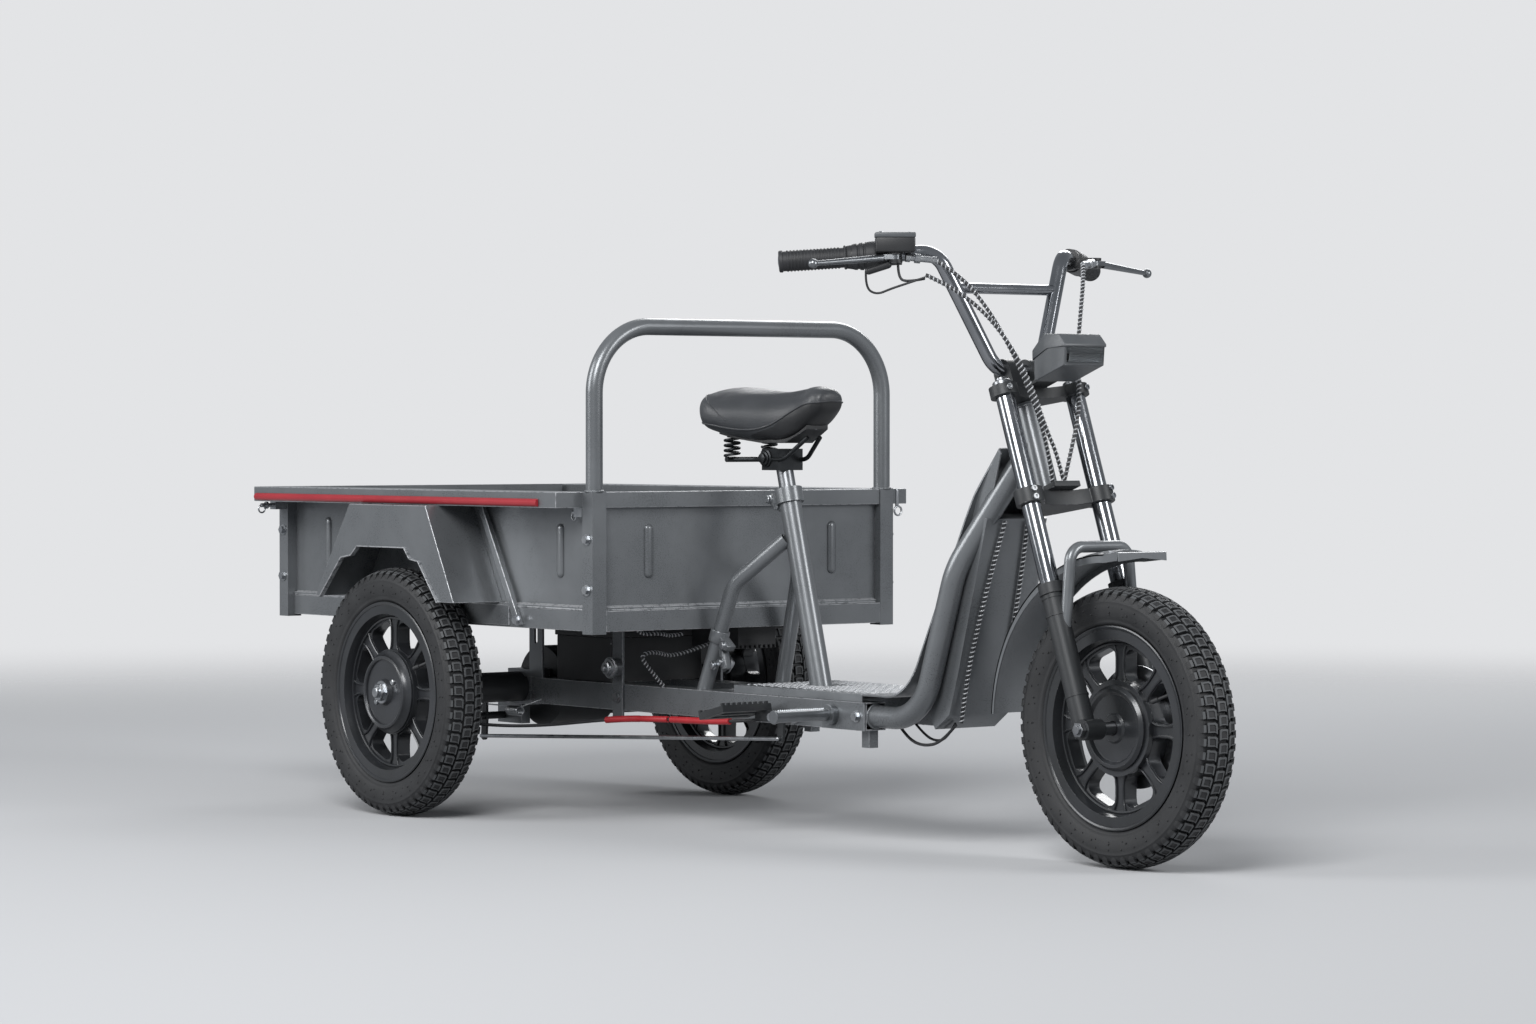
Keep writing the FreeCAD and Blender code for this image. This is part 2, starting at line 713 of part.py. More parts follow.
def cast_wheel(bore_r):
    """Rim, spoked web and hub in one casting, about the Y axis."""
    half = RIM_WIDTH / 2
    bead = half - RIM_FLANGE
    well_r = RIM_SEAT_R - RIM_WELL
    ledge = bead - RIM_WELL
    outline = [(half, well_r), (half, RIM_FLANGE_R), (bead, RIM_FLANGE_R), (bead, RIM_SEAT_R),
               (ledge, RIM_SEAT_R), (ledge - RIM_WELL / 2, well_r)]
    mirrored_outline = [(-y, radius) for y, radius in reversed(outline)]
    barrel_r = well_r - RIM_WALL
    rim = turned(outline + mirrored_outline + [(-ledge, barrel_r), (ledge, barrel_r)])
    web = turned([(-WEB_THICKNESS / 2, HUB_R / 2), (WEB_THICKNESS / 2, HUB_R / 2),
                  (WEB_THICKNESS / 2, well_r - OVERCUT), (-WEB_THICKNESS / 2, well_r - OVERCUT)])
    web = web.cut([spoke_window(index) for index in range(SPOKES)])
    hub = turned([(-HUB_WIDTH / 2, bore_r), (HUB_WIDTH / 2, bore_r), (HUB_WIDTH / 2, HUB_R),
                  (-HUB_WIDTH / 2, HUB_R)])
    bore = rod(V(0, -HUB_WIDTH, 0), V(0, HUB_WIDTH, 0), bore_r)
    return rim.fuse([web, hub]).cut(bore).removeSplitter()


def hub_cover():
    """The dished cover on the front wheel's right face, standing on the hub towards -Y."""
    face = -HUB_WIDTH / 2
    plate = face - COVER_THICKNESS
    lip = plate - COVER_LIP
    boss = plate - COVER_BOSS
    hole_r = AXLE_SPACER_R + BODY_GAP
    return turned([(face, hole_r), (face, COVER_R + COVER_LIP), (plate, COVER_R + COVER_LIP),
                   (lip, COVER_R),
                   (lip, COVER_R - COVER_LIP), (plate, COVER_R - 2 * COVER_LIP),
                   (plate, COVER_BOSS_R + COVER_DISH),
                   (boss, COVER_BOSS_R), (boss, hole_r)])


def drum_cover():
    """The deep cover on a rear wheel's outer face, dished round its boss, standing on the hub towards -Y."""
    face = -HUB_WIDTH / 2
    front = face - REAR_COVER_DEPTH
    dish = front + COVER_DISH
    boss = front - COVER_BOSS
    return turned([(face, HALF_SHAFT_R), (face, REAR_COVER_FOOT_R), (face - COVER_EDGE, REAR_COVER_FOOT_R),
                   (front + COVER_EDGE, REAR_COVER_R + COVER_EDGE / 2), (front, REAR_COVER_R),
                   (front, REAR_COVER_R - COVER_EDGE), (dish, REAR_COVER_R - 2 * COVER_EDGE),
                   (dish, COVER_BOSS_R + COVER_DISH), (boss, COVER_BOSS_R), (boss, HALF_SHAFT_R)])


def rear_wheel():
    """A right-hand rear wheel with its brake drum, turned about the Y axis."""
    face = HUB_WIDTH / 2
    drum_r = BACKING_PLATE_R + DRUM_WALL
    drum = turned([(face, drum_r - DRUM_WALL), (face, drum_r), (face + DRUM_DEPTH, drum_r),
                   (face + DRUM_DEPTH, drum_r - DRUM_WALL)])
    return cast_wheel(HALF_SHAFT_R).fuse(drum).removeSplitter()


def half_shaft():
    """A right-hand half shaft with its hub nut, from inside the motor to beyond the wheel cover."""
    cover = WHEEL_Y + HUB_WIDTH / 2 + REAR_COVER_DEPTH + COVER_BOSS
    tip = cover + SHAFT_NUT + SHAFT_TIP
    shaft = rod(V(0, -HALF_SHAFT_INNER_Y, AXLE_Z), V(0, -tip, AXLE_Z), HALF_SHAFT_R)
    nut = hexagon(V(0, -cover, AXLE_Z), V(0, -1, 0), SHAFT_NUT_FLAT, SHAFT_NUT)
    return shaft.fuse(nut).removeSplitter()


def drum_rim_y():
    """Where the open edge of a rear brake drum lies, from the middle of the tricycle."""
    return WHEEL_Y - HUB_WIDTH / 2 - DRUM_DEPTH


def axle_housing():
    plate_y = drum_rim_y() - DRUM_GAP
    bore_r = HOUSING_R - HOUSING_WALL
    tube = rod(V(0, -MOTOR_HALF_WIDTH, AXLE_Z), V(0, -plate_y, AXLE_Z), HOUSING_R)
    plate = rod(V(0, -plate_y + BACKING_PLATE, AXLE_Z), V(0, -plate_y, AXLE_Z), BACKING_PLATE_R)
    bore = rod(V(0, 0, AXLE_Z), V(0, -WHEEL_Y, AXLE_Z), bore_r)
    return both_sides(tube.fuse(plate).cut(bore).removeSplitter())


def axle_bearings():
    outer_y = drum_rim_y() - DRUM_GAP
    ring = pipe(V(0, -outer_y + BEARING_WIDTH, AXLE_Z), V(0, -outer_y, AXLE_Z), HOUSING_R - HOUSING_WALL,
                HALF_SHAFT_R + RUNNING_FIT)
    return both_sides(ring)


def brake_shoes():
    """Two curved shoes on each backing plate, just clear of the drum."""
    plate_y = drum_rim_y() - DRUM_GAP
    outer_r = BACKING_PLATE_R - SHOE_GAP
    shoes = []
    for middle in (0, 180):
        ring = turned([(-plate_y, outer_r - SHOE_THICKNESS), (-plate_y, outer_r),
                       (-plate_y - SHOE_WIDTH, outer_r), (-plate_y - SHOE_WIDTH, outer_r - SHOE_THICKNESS)])
        spread = math.radians(90 - SHOE_SWEEP / 2)
        reach = 2 * outer_r
        wedge = [(0, 0), (reach, reach * math.tan(spread)), (reach, 2 * reach), (-reach, 2 * reach),
                 (-reach, reach * math.tan(spread))]
        keep = prism(wedge, (-plate_y, -plate_y - SHOE_WIDTH))
        shoe = ring.common(keep)
        shoe.rotate(V(0, 0, 0), V(0, 1, 0), middle)
        shoes.append(at_wheel(shoe, 0, 0))
    return [twin for shoe in shoes for twin in both_sides(shoe)]


def drive_motor():
    half = MOTOR_HALF_WIDTH
    case = rod(V(0, -half, AXLE_Z), V(0, half, AXLE_Z), MOTOR_R)
    hollow = rod(V(0, -half + MOTOR_WALL, AXLE_Z), V(0, half - MOTOR_WALL, AXLE_Z), MOTOR_R - MOTOR_WALL)
    bore = rod(V(0, -2 * half, AXLE_Z), V(0, 2 * half, AXLE_Z), HALF_SHAFT_R + RUNNING_FIT)
    return [case.cut([hollow, bore])]


# Main frame
def frame_beams():
    beam = box_tube((AXLE_CLAMP_HALF, BEAM_FRONT_X), (-BEAM_OUTER_Y, -BEAM_INNER_Y), (BEAM_BOTTOM, BEAM_TOP),
                    BEAM_WALL, "x")
    return both_sides(beam)


def axle_clamps():
    """Blocks that hold the axle housing at the rear end of each beam."""
    reach = HOUSING_R + HOUSING_WALL
    clamp = block((-AXLE_CLAMP_HALF, AXLE_CLAMP_HALF), (-BEAM_OUTER_Y, -BEAM_INNER_Y),
                  (AXLE_Z - reach, AXLE_Z + reach))
    bore = rod(V(0, 0, AXLE_Z), V(0, -WHEEL_Y, AXLE_Z), HOUSING_R)
    return both_sides(clamp.cut(bore))


def frame_crossmembers():
    return [box_tube((x - CROSS_WIDTH / 2, x + CROSS_WIDTH / 2), (-BEAM_INNER_Y, BEAM_INNER_Y),
                     (BEAM_TOP - CROSS_HEIGHT, BEAM_TOP), BEAM_WALL, "y") for x in CROSS_X]


def beam_end_plates():
    """Side plates on the front of the beams, each with a square lug for a stand."""
    plate = block((BEAM_FRONT_X - END_PLATE_LENGTH, BEAM_FRONT_X), (-BEAM_OUTER_Y - END_PLATE, -BEAM_OUTER_Y),
                  (BEAM_BOTTOM, BEAM_TOP))
    return both_sides(plate)


def stand_lugs():
    """Square lugs for a stand, under the right beam's front end and under the left beam."""
    half = STAND_LUG / 2
    z = (BEAM_BOTTOM - STAND_LUG_DROP, BEAM_BOTTOM)
    lugs = []
    for x, y in ((BEAM_FRONT_X - STAND_LUG_INSET, -BEAM_Y), (STAND_LUG_REAR_X, BEAM_Y)):
        lugs.append(box_tube((x - half, x + half), (y - half, y + half), z, BEAM_WALL, "z"))
    return lugs


def down_tube_points():
    knee_x, knee_y, knee_z = DOWN_TUBE_KNEE
    socket = V(BEAM_FRONT_X - DOWN_TUBE_SOCKET, -BEAM_Y, DOWN_TUBE_Z)
    foot = V(BEAM_FRONT_X + DOWN_TUBE_RUN, -BEAM_Y, DOWN_TUBE_Z)
    return [socket, foot, V(WHEELBASE + knee_x, -knee_y, knee_z), fork(DOWN_TUBE_HEAD_AT, -CROWN_OFFSET, 0)]


def head_tube_ends():
    low = LOWER_CROWN_AT + LOWER_CROWN / 2 + CUP_FLANGE + LOOSE_FIT
    high = UPPER_CROWN_AT - UPPER_CROWN / 2 - CUP_FLANGE - LOOSE_FIT
    return fork(low, -CROWN_OFFSET, 0), fork(high, -CROWN_OFFSET, 0)


def down_tubes():
    """Two bent tubes from the beams to the head tube, mitred against each other and the head tube."""
    low, high = head_tube_ends()
    tube = bent_tube(down_tube_points(), DOWN_TUBE_BENDS, DOWN_TUBE_R, DOWN_TUBE_R - DOWN_TUBE_WALL)
    other_half = block((0, 2 * WHEELBASE), (0, TRACK), (0, 2 * RAIL_TOP))
    tube = tube.cut([rod(low - FORK_UP * LOWER_CROWN_AT, high, HEAD_TUBE_R), other_half])
    largest = max(tube.Solids, key=lambda solid: solid.Volume)
    return both_sides(largest)


def head_tube():
    low, high = head_tube_ends()
    return [pipe(low, high, HEAD_TUBE_R, HEAD_TUBE_R - HEAD_TUBE_WALL)]


def headset_cups():
    """Flanged bearing cups pressed into both ends of the head tube."""
    cups = []
    bore_r = HEAD_TUBE_R - HEAD_TUBE_WALL
    for end, outward in zip(head_tube_ends(), (FORK_UP * -1, FORK_UP)):
        flange = rod(end, end + outward * CUP_FLANGE, CUP_R)
        spigot = rod(end, end - outward * CUP_DEPTH, bore_r)
        hole = rod(end - outward * CUP_DEPTH, end + outward * CUP_FLANGE, STEERER_R + RUNNING_FIT)
        cups.append(flange.fuse(spigot).cut(hole).removeSplitter())
    return cups


# Seat
def seat_tube():
    tube = pipe(seat(-CROSS_HEIGHT), seat(SEAT_TUBE_LENGTH), SEAT_TUBE_R, SEAT_POST_R + SLIDING_FIT)
    below = block((0, WHEELBASE), (-TRACK, TRACK), (0, BEAM_TOP))
    return [tube.cut(below)]


def seat_braces():
    """Bent tubes from the seat tube down to each beam."""
    points = [V(BRACE_TOP[0], -BRACE_TOP[1], BRACE_TOP[2]), V(BRACE_BEND[0], -BRACE_BEND[1], BRACE_BEND[2]),
              V(BRACE_FOOT_X, -BEAM_Y, BEAM_TOP - BEAM_WALL)]
    tube = bent_tube(points, [BRACE_BEND_R], BRACE_R, BRACE_R - BRACE_WALL)
    below = block((0, WHEELBASE), (-TRACK, TRACK), (0, BEAM_TOP))
    other_half = block((0, WHEELBASE), (0, TRACK), (0, 2 * RAIL_TOP))
    tube = tube.cut([below, rod(seat(0), seat(SEAT_TUBE_LENGTH), SEAT_TUBE_R), other_half])
    return both_sides(max(tube.Solids, key=lambda solid: solid.Volume))


def seat_clamp():
    """The split collar that grips the seat post at the top of the seat tube."""
    low = seat(SEAT_TUBE_LENGTH - SEAT_CLAMP_HEIGHT)
    high = seat(SEAT_TUBE_LENGTH)
    behind = SEAT_UP.cross(V(0, 1, 0)).normalize()
    if behind.x > 0:
        behind = behind * -1
    collar = rod(low, high, SEAT_CLAMP_R)
    ears = block((0, SEAT_CLAMP_EAR), (-SEAT_CLAMP_R / 2, SEAT_CLAMP_R / 2), (0, SEAT_CLAMP_HEIGHT))
    ears.Placement = FreeCAD.Placement(low, FreeCAD.Rotation(behind, V(0, 1, 0), SEAT_UP, "XZY"))
    slit = block((0, 2 * SEAT_CLAMP_EAR), (-BODY_GAP, BODY_GAP), (-SEAT_CLAMP_HEIGHT, 2 * SEAT_CLAMP_HEIGHT))
    slit.Placement = ears.Placement
    bore = rod(seat(0), seat(2 * SEAT_TUBE_LENGTH), SEAT_TUBE_R)
    return [collar.fuse(ears).cut([bore, slit]).removeSplitter()]


def seat_post():
    low = seat(SEAT_TUBE_LENGTH - SEAT_POST_INSERT)
    return [rod(low, seat(SEAT_TUBE_LENGTH + SEAT_POST_TOP), SEAT_POST_R)]


def saddle_section(x, half_width, low, high):
    """One closed section of the cushion: flat below, drawn-in sides and a crown."""
    height = high - low
    foot = half_width * SADDLE_FOOT_SHARE
    shoulder = half_width * SADDLE_SHOULDER_SHARE
    widest, edge = SADDLE_WIDEST_SHARE, SADDLE_EDGE_SHARE

    def at(y, share):
        return V(x, y, low + height * share)

    edges = [line(at(-foot, 0), at(foot, 0)), arc(at(foot, 0), at(half_width, widest), at(shoulder, edge)),
             arc(at(shoulder, edge), at(0, 1), at(-shoulder, edge)),
             arc(at(-shoulder, edge), at(-half_width, widest), at(-foot, 0))]
    return Part.Wire(edges)


def saddle_cushion():
    return [Part.makeLoft([saddle_section(*station) for station in SADDLE_STATIONS], True, False)]


def saddle_base():
    """The moulded pan under the cushion, following its underside."""
    plates = []
    for pair in zip(SADDLE_STATIONS[1:-2], SADDLE_STATIONS[2:-1]):
        wires = []
        for x, width, low, _ in pair:
            half = SADDLE_BASE_SHARE * width
            corners = [V(x, -half, low), V(x, half, low), V(x, half, low - SADDLE_BASE),
                       V(x, -half, low - SADDLE_BASE)]
            wires.append(Part.makePolygon(corners + corners[:1]))
        plates.append(Part.makeLoft(wires, True, True))
    pan = plates[0].fuse(plates[1:]).cut(saddle_cushion())
    return [max(pan.Solids, key=lambda solid: solid.Volume)]


def saddle_springs():
    foot_z = SADDLE_RAIL_Z + SADDLE_BAR_R + SADDLE_SPRING_WIRE_R + RUNNING_FIT - SADDLE_SPRING_PITCH / 4
    foot = V(SADDLE_SPRING_X, -SADDLE_SPRING_Y, foot_z)
    coil = spring(foot, V(0, 0, 1), V(-1, 0, 0), SADDLE_SPRING_R, SADDLE_SPRING_WIRE_R, SADDLE_SPRING_TURNS,
                  SADDLE_SPRING_PITCH)
    return both_sides(coil)


def saddle_rails():
    """Two bent rods from the springs to the nose, joined by a bar under the springs."""
    x, y, z = SADDLE_RAIL_NOSE
    knee, toe = SADDLE_RAIL_KNEES
    points = [V(SADDLE_SPRING_X, -SADDLE_SPRING_Y, SADDLE_RAIL_Z), V(knee, -SADDLE_RAIL_Y, SADDLE_RAIL_Z),
              V(toe, -SADDLE_RAIL_Y, SADDLE_RAIL_Z), V(x, -y, z)]
    rail = sweep(bent_path(points, [SADDLE_RAIL_BEND] * 2), SADDLE_RAIL_R)
    reach = SADDLE_SPRING_Y + SADDLE_SPRING_R
    bar = rod(V(SADDLE_SPRING_X, -reach, SADDLE_RAIL_Z), V(SADDLE_SPRING_X, reach, SADDLE_RAIL_Z),
              SADDLE_BAR_R)
    return [bar.fuse(both_sides(rail)).removeSplitter()]


def saddle_clamp():
    """The block on top of the seat post that grips the rails."""
    length, height = SADDLE_CLAMP
    half = SADDLE_RAIL_Y + SADDLE_RAIL_R / 2
    top = seat(SEAT_TUBE_LENGTH + SEAT_POST_TOP)
    body = block((top.x - length / 2, top.x + length / 2), (-half, half),
                 (SADDLE_RAIL_Z - height / 2, SADDLE_RAIL_Z + height / 2))
    post = rod(seat(SEAT_TUBE_LENGTH), top, SEAT_POST_R)
    return [body.cut([post] + saddle_rails())]


# Foot platform and leg shield
def foot_platform():
    top = (PLATFORM_TOP - PLATFORM_SHEET, PLATFORM_TOP)
    x = (PLATFORM_REAR_X, PLATFORM_FRONT_X)
    tray = block(x, (-BEAM_OUTER_Y, BEAM_OUTER_Y), (BEAM_TOP, PLATFORM_TOP))
    inside = block((x[0] + PLATFORM_SHEET, x[1] + PLATFORM_SHEET),
                   (-BEAM_OUTER_Y + PLATFORM_SHEET, BEAM_OUTER_Y - PLATFORM_SHEET),
                   (BEAM_TOP - OVERCUT, top[0]))
    hole = rod(seat(-CROSS_HEIGHT), seat(SEAT_TUBE_LENGTH), SEAT_TUBE_R + SEAT_TUBE_ROOM)
    return [tray.cut([inside, hole])]


def bent_sheet(points, bends, thickness, half_width):
    """A sheet of even thickness that follows straight runs and bends in the XZ plane."""
    outer = []
    radii = []
    normals = []
    for start, end in zip(points, points[1:]):
        run = (end - start).normalize()
        normals.append(V(-run.z, 0, run.x))
    outer.append(points[0] + normals[0] * thickness)
    for corner, before, after, bend in zip(points[1:-1], normals, normals[1:], bends):
        middle = (before + after).normalize()
        outer.append(corner + middle * (thickness / math.cos(before.getAngle(after) / 2)))
        left_turn = before.cross(after).y < 0
        radii.append(bend - thickness if left_turn else bend + thickness)
    outer.append(points[-1] + normals[-1] * thickness)
    inner_path = bent_path(points, bends)
    outer_path = bent_path(outer, radii)
    ends = [line(points[0], outer[0]), line(points[-1], outer[-1])]
    face = Part.Face(Part.Wire(Part.__sortEdges__(inner_path.Edges + outer_path.Edges + ends)))
    face.translate(V(0, -half_width, 0))
    return face.extrude(V(0, 2 * half_width, 0))


def tube_room():
    """Space that the down tubes and the head tube take, with a little room."""
    low, high = head_tube_ends()
    room = sweep(bent_path(down_tube_points(), DOWN_TUBE_BENDS), DOWN_TUBE_R + LOOSE_FIT)
    return both_sides(room) + [rod(low, high, HEAD_TUBE_R + LOOSE_FIT)]


def leg_shield_cover():
    """The panel on the rider's side, which curves up from the platform, with its two cheeks."""
    level = PLATFORM_TOP - PLATFORM_SHEET
    upper = [V(x, 0, z) for x, z in from_front((COVER_KNEE, COVER_TOP))]
    points = [V(PLATFORM_FRONT_X, 0, level), V(WHEELBASE + COVER_FOOT, 0, level)] + upper
    panel = bent_sheet(points, COVER_BENDS, SHIELD_SHEET, BEAM_OUTER_Y)
    outline = [V(0, -half, z) for half, z in COVER_HALF_WIDTHS]
    outline += [V(0, half, z) for half, z in reversed(COVER_HALF_WIDTHS)]
    taper = Part.Face(Part.makePolygon(outline + outline[:1])).extrude(V(2 * WHEELBASE, 0, 0))
    room = tube_room() + [shield_solid(0)]
    cheek = prism(from_front(COVER_WALL), (-COVER_WALL_Y, -COVER_WALL_Y + SHIELD_SHEET)).cut(room)
    cheek = max(cheek.Solids, key=lambda solid: solid.Volume)
    return [panel.common(taper).fuse(both_sides(cheek)).removeSplitter()]


def shield_solid(inset):
    """The outline of the front housing as one block, drawn in by a wall thickness."""
    points = [V(x, 0, z) for x, z in from_front(SHIELD_PROFILE)]
    face = Part.Face(Part.makePolygon(points + points[:1]))
    if inset:
        face = face.makeOffset2D(-inset)
    half = SHIELD_HALF_WIDTH - inset
    face.translate(V(0, -half, 0))
    return face.extrude(V(0, 2 * half, 0))


def leg_shield():
    """The closed front housing between the down tubes."""
    body = shield_solid(0).cut([shield_solid(SHIELD_SHEET)] + tube_room())
    return [max(body.Solids, key=lambda solid: solid.Volume)]


# Cargo box
def box_inner_x():
    """Between the corner posts, from rear to front."""
    return BOX_REAR_X + POST, BOX_FRONT_X - POST


def cargo_base_frame():
    """Beams round the floor and two sills over the main frame."""
    z = (BASE_BOTTOM, BASE_TOP)
    inner_x = box_inner_x()
    ends = (-POST_INNER_Y, POST_INNER_Y)
    side = box_tube(inner_x, (-BASE_OUTER_Y, -BASE_OUTER_Y + BASE_WIDTH), z, BASE_WALL, "x")
    sill = box_tube(inner_x, (-BEAM_OUTER_Y, -BEAM_INNER_Y), z, BASE_WALL, "x")
    front = box_tube((inner_x[1], BOX_FRONT_X), ends, z, BASE_WALL, "y")
    rear = box_tube((BOX_REAR_X, inner_x[0]), ends, z, BASE_WALL, "y")
    return both_sides(side) + both_sides(sill) + [front, rear]


def front_panel_x():
    """Back and face of the front panel."""
    face = BOX_FRONT_X - FRONT_PANEL_RECESS
    return face - SHEET, face


def gate_x():
    """Outer and inner face of the tailgate's sheet."""
    outer = BOX_REAR_X + GATE_GAP
    return outer, outer + GATE_SHEET


def cargo_floor():
    rear, front = box_inner_x()
    z = (BASE_TOP, FLOOR_TOP)
    middle = block((rear, front), (-PANEL_Y + SHEET, PANEL_Y - SHEET), z)
    strip = block((gate_x()[1] + LOOSE_FIT, front_panel_x()[0]), (-POST_INNER_Y, POST_INNER_Y), z)
    return [middle.fuse(strip).removeSplitter()]


def side_panels():
    """Sheet sides with a folded foot and two raised ribs each."""
    width, depth, height = RIB
    x = box_inner_x()
    panel = block(x, (-PANEL_Y, -PANEL_Y + SHEET), (BASE_TOP, RAIL_BOTTOM))
    extras = [block(x, (-PANEL_Y - PANEL_LIP, -PANEL_Y), (BASE_TOP, BASE_TOP + PANEL_LIP))]
    for rib_x in SIDE_RIB_X:
        extras.append(block((rib_x - width / 2, rib_x + width / 2), (-PANEL_Y - depth, -PANEL_Y),
                            (RIB_BOTTOM, RIB_BOTTOM + height)))
    return both_sides(panel.fuse(extras).removeSplitter())


def front_panel():
    width, depth, height = RIB
    back, face = front_panel_x()
    panel = block((back, face), (-POST_INNER_Y, POST_INNER_Y), (BASE_TOP, RAIL_BOTTOM))
    lip = block((face, face + PANEL_LIP), (-POST_INNER_Y, POST_INNER_Y), (BASE_TOP, BASE_TOP + PANEL_LIP))
    ribs = []
    for side in SIDES.values():
        y = side * FRONT_RIB_Y
        ribs.append(block((face, face + depth), (y - width / 2, y + width / 2),
                          (RIB_BOTTOM, RIB_BOTTOM + height)))
    return [panel.fuse([lip] + ribs).removeSplitter()]


def side_rails():
    """Rails with closed ends and a drain hole near the rear end."""
    x = (BOX_REAR_X, box_inner_x()[1])
    y = (-RAIL_OUTER_Y, -PANEL_Y + SHEET)
    z = (RAIL_BOTTOM, RAIL_TOP)
    hollow = block(*((low + RAIL_WALL, high - RAIL_WALL) for low, high in (x, y, z)))
    place = V(BOX_REAR_X + 2 * POST, -RAIL_OUTER_Y + POST / 2, RAIL_BOTTOM)
    drain = rod(place, place + V(0, 0, RAIL_WALL), RAIL_DRAIN_R)
    return both_sides(block(x, y, z).cut([hollow, drain]))


def front_rail():
    """The top rail between the front posts."""
    depth = POST - 2 * POST_WALL
    return [box_tube((BOX_FRONT_X - POST + POST_WALL, BOX_FRONT_X - POST + POST_WALL + depth),
                     (-POST_INNER_Y, POST_INNER_Y), (RAIL_BOTTOM, RAIL_TOP), RAIL_WALL, "y")]


def latch_z():
    return RAIL_BOTTOM - LATCH_BODY[2] / 2


def corner_posts():
    """Capped square posts, drilled for the latch pins."""
    y = (-POST_OUTER_Y, -POST_INNER_Y)
    hollow_y = (-POST_OUTER_Y + POST_WALL, -POST_INNER_Y - POST_WALL)
    hole_r = LATCH_PIN_R + SLIDING_FIT
    posts = []
    front_x = (BOX_FRONT_X - POST, BOX_FRONT_X)
    rear_x = (BOX_REAR_X, BOX_REAR_X + POST)
    for x, top in ((front_x, POST_TOP), (rear_x, RAIL_BOTTOM)):
        post = block(x, y, (POST_BOTTOM, top))
        hollow = block((x[0] + POST_WALL, x[1] - POST_WALL), hollow_y,
                       (POST_BOTTOM - OVERCUT, top - POST_WALL))
        posts.append(post.cut(hollow))
    z = latch_z()
    front_y = -front_latch_y()
    posts[0] = posts[0].cut(rod(V(0, front_y, z), V(BOX_FRONT_X - POST / 2, front_y, z), hole_r))
    middle_x = BOX_REAR_X + POST / 2
    posts[1] = posts[1].cut(rod(V(middle_x, 0, z), V(middle_x, -RAIL_OUTER_Y, z), hole_r))
    return [twin for post in posts for twin in both_sides(post)]


def guard_hoop():
    """The bent tube that stands on the front posts."""
    x = BOX_FRONT_X - POST / 2
    top = GUARD_TOP - GUARD_R
    points = [V(x, -POST_Y, POST_TOP), V(x, -POST_Y, top), V(x, POST_Y, top), V(x, POST_Y, POST_TOP)]
    return [bent_tube(points, [GUARD_BEND] * 2, GUARD_R, GUARD_R - GUARD_WALL)]


def side_strips():
    """Half-round strips on the outer faces of the side rails."""
    x = (BOX_REAR_X + STRIP_REAR_INSET, BOX_FRONT_X - POST - STRIP_FRONT_INSET)
    bar = rod(V(x[0], -RAIL_OUTER_Y, STRIP_Z), V(x[1], -RAIL_OUTER_Y, STRIP_Z), STRIP_R)
    inside = block(x, (-RAIL_OUTER_Y, 0), (RAIL_BOTTOM - STRIP_R, RAIL_TOP))
    return both_sides(bar.cut(inside))


# Tailgate, its hinges and the latches
def hinge_barrels(middle_y, owner):
    """Every second knuckle of a hinge, those of the gate or those of the box."""
    step = GATE_HINGE_LENGTH / GATE_HINGE_KNUCKLES
    knuckles = []
    for index in range(GATE_HINGE_KNUCKLES):
        if (index % 2 == 1) == (owner == "gate"):
            low = middle_y - GATE_HINGE_LENGTH / 2 + index * step + LOOSE_FIT / 2
            knuckles.append((low, low + step - LOOSE_FIT))
    return knuckles


def tailgate():
    outer, inner = gate_x()
    half = POST_INNER_Y - GATE_GAP
    panel = block((outer, inner), (-half, half), (BASE_TOP + GATE_GAP, RAIL_TOP - GATE_RAIL))
    rail_bottom = RAIL_TOP - GATE_RAIL
    rail = box_tube((outer, outer + GATE_RAIL), (-half, half), (rail_bottom, RAIL_TOP), RAIL_WALL, "y")
    ear_x = BOX_REAR_X + POST / 2
    z = latch_z()
    ear = block((inner, ear_x + GATE_EAR / 2), (-half, -half + GATE_EAR), (z - GATE_EAR / 2, rail_bottom))
    hole_end = V(ear_x, -half + GATE_EAR - GATE_SHEET, z)
    hole = rod(V(ear_x, -half - OVERCUT, z), hole_end, LATCH_PIN_R + LOOSE_FIT)
    pieces = [rail] + both_sides(ear.cut(hole))
    for side in SIDES.values():
        for low, high in hinge_barrels(side * GATE_HINGE_Y, "gate"):
            barrel = rod(V(GATE_AXIS.x, low, GATE_AXIS.z), V(GATE_AXIS.x, high, GATE_AXIS.z), GATE_HINGE_R)
            leaf = block((GATE_AXIS.x, outer), (low, high),
                         (GATE_AXIS.z + GATE_GAP, GATE_AXIS.z + 2 * GATE_HINGE_R))
            pieces.append(barrel.fuse(leaf))
    bore = rod(V(GATE_AXIS.x, -TRACK, GATE_AXIS.z), V(GATE_AXIS.x, TRACK, GATE_AXIS.z), GATE_HINGE_BORE_R)
    return [panel.fuse(pieces).cut(bore).removeSplitter()]


def gate_hinges():
    """The box's knuckles with their leaf and the hinge pin."""
    hinges = []
    for side in SIDES.values():
        middle = side * GATE_HINGE_Y
        half = GATE_HINGE_LENGTH / 2
        pin = rod(V(GATE_AXIS.x, middle - half, GATE_AXIS.z), V(GATE_AXIS.x, middle + half, GATE_AXIS.z),
                  GATE_HINGE_BORE_R - SLIDING_FIT)
        pieces = []
        for low, high in hinge_barrels(middle, "box"):
            barrel = rod(V(GATE_AXIS.x, low, GATE_AXIS.z), V(GATE_AXIS.x, high, GATE_AXIS.z), GATE_HINGE_R)
            leaf = block((GATE_AXIS.x, BOX_REAR_X), (low, high),
                         (GATE_AXIS.z - 3 * GATE_HINGE_R, GATE_AXIS.z))
            pieces.append(barrel.fuse(leaf))
        hinges.append(pin.fuse(pieces).removeSplitter())
    return hinges


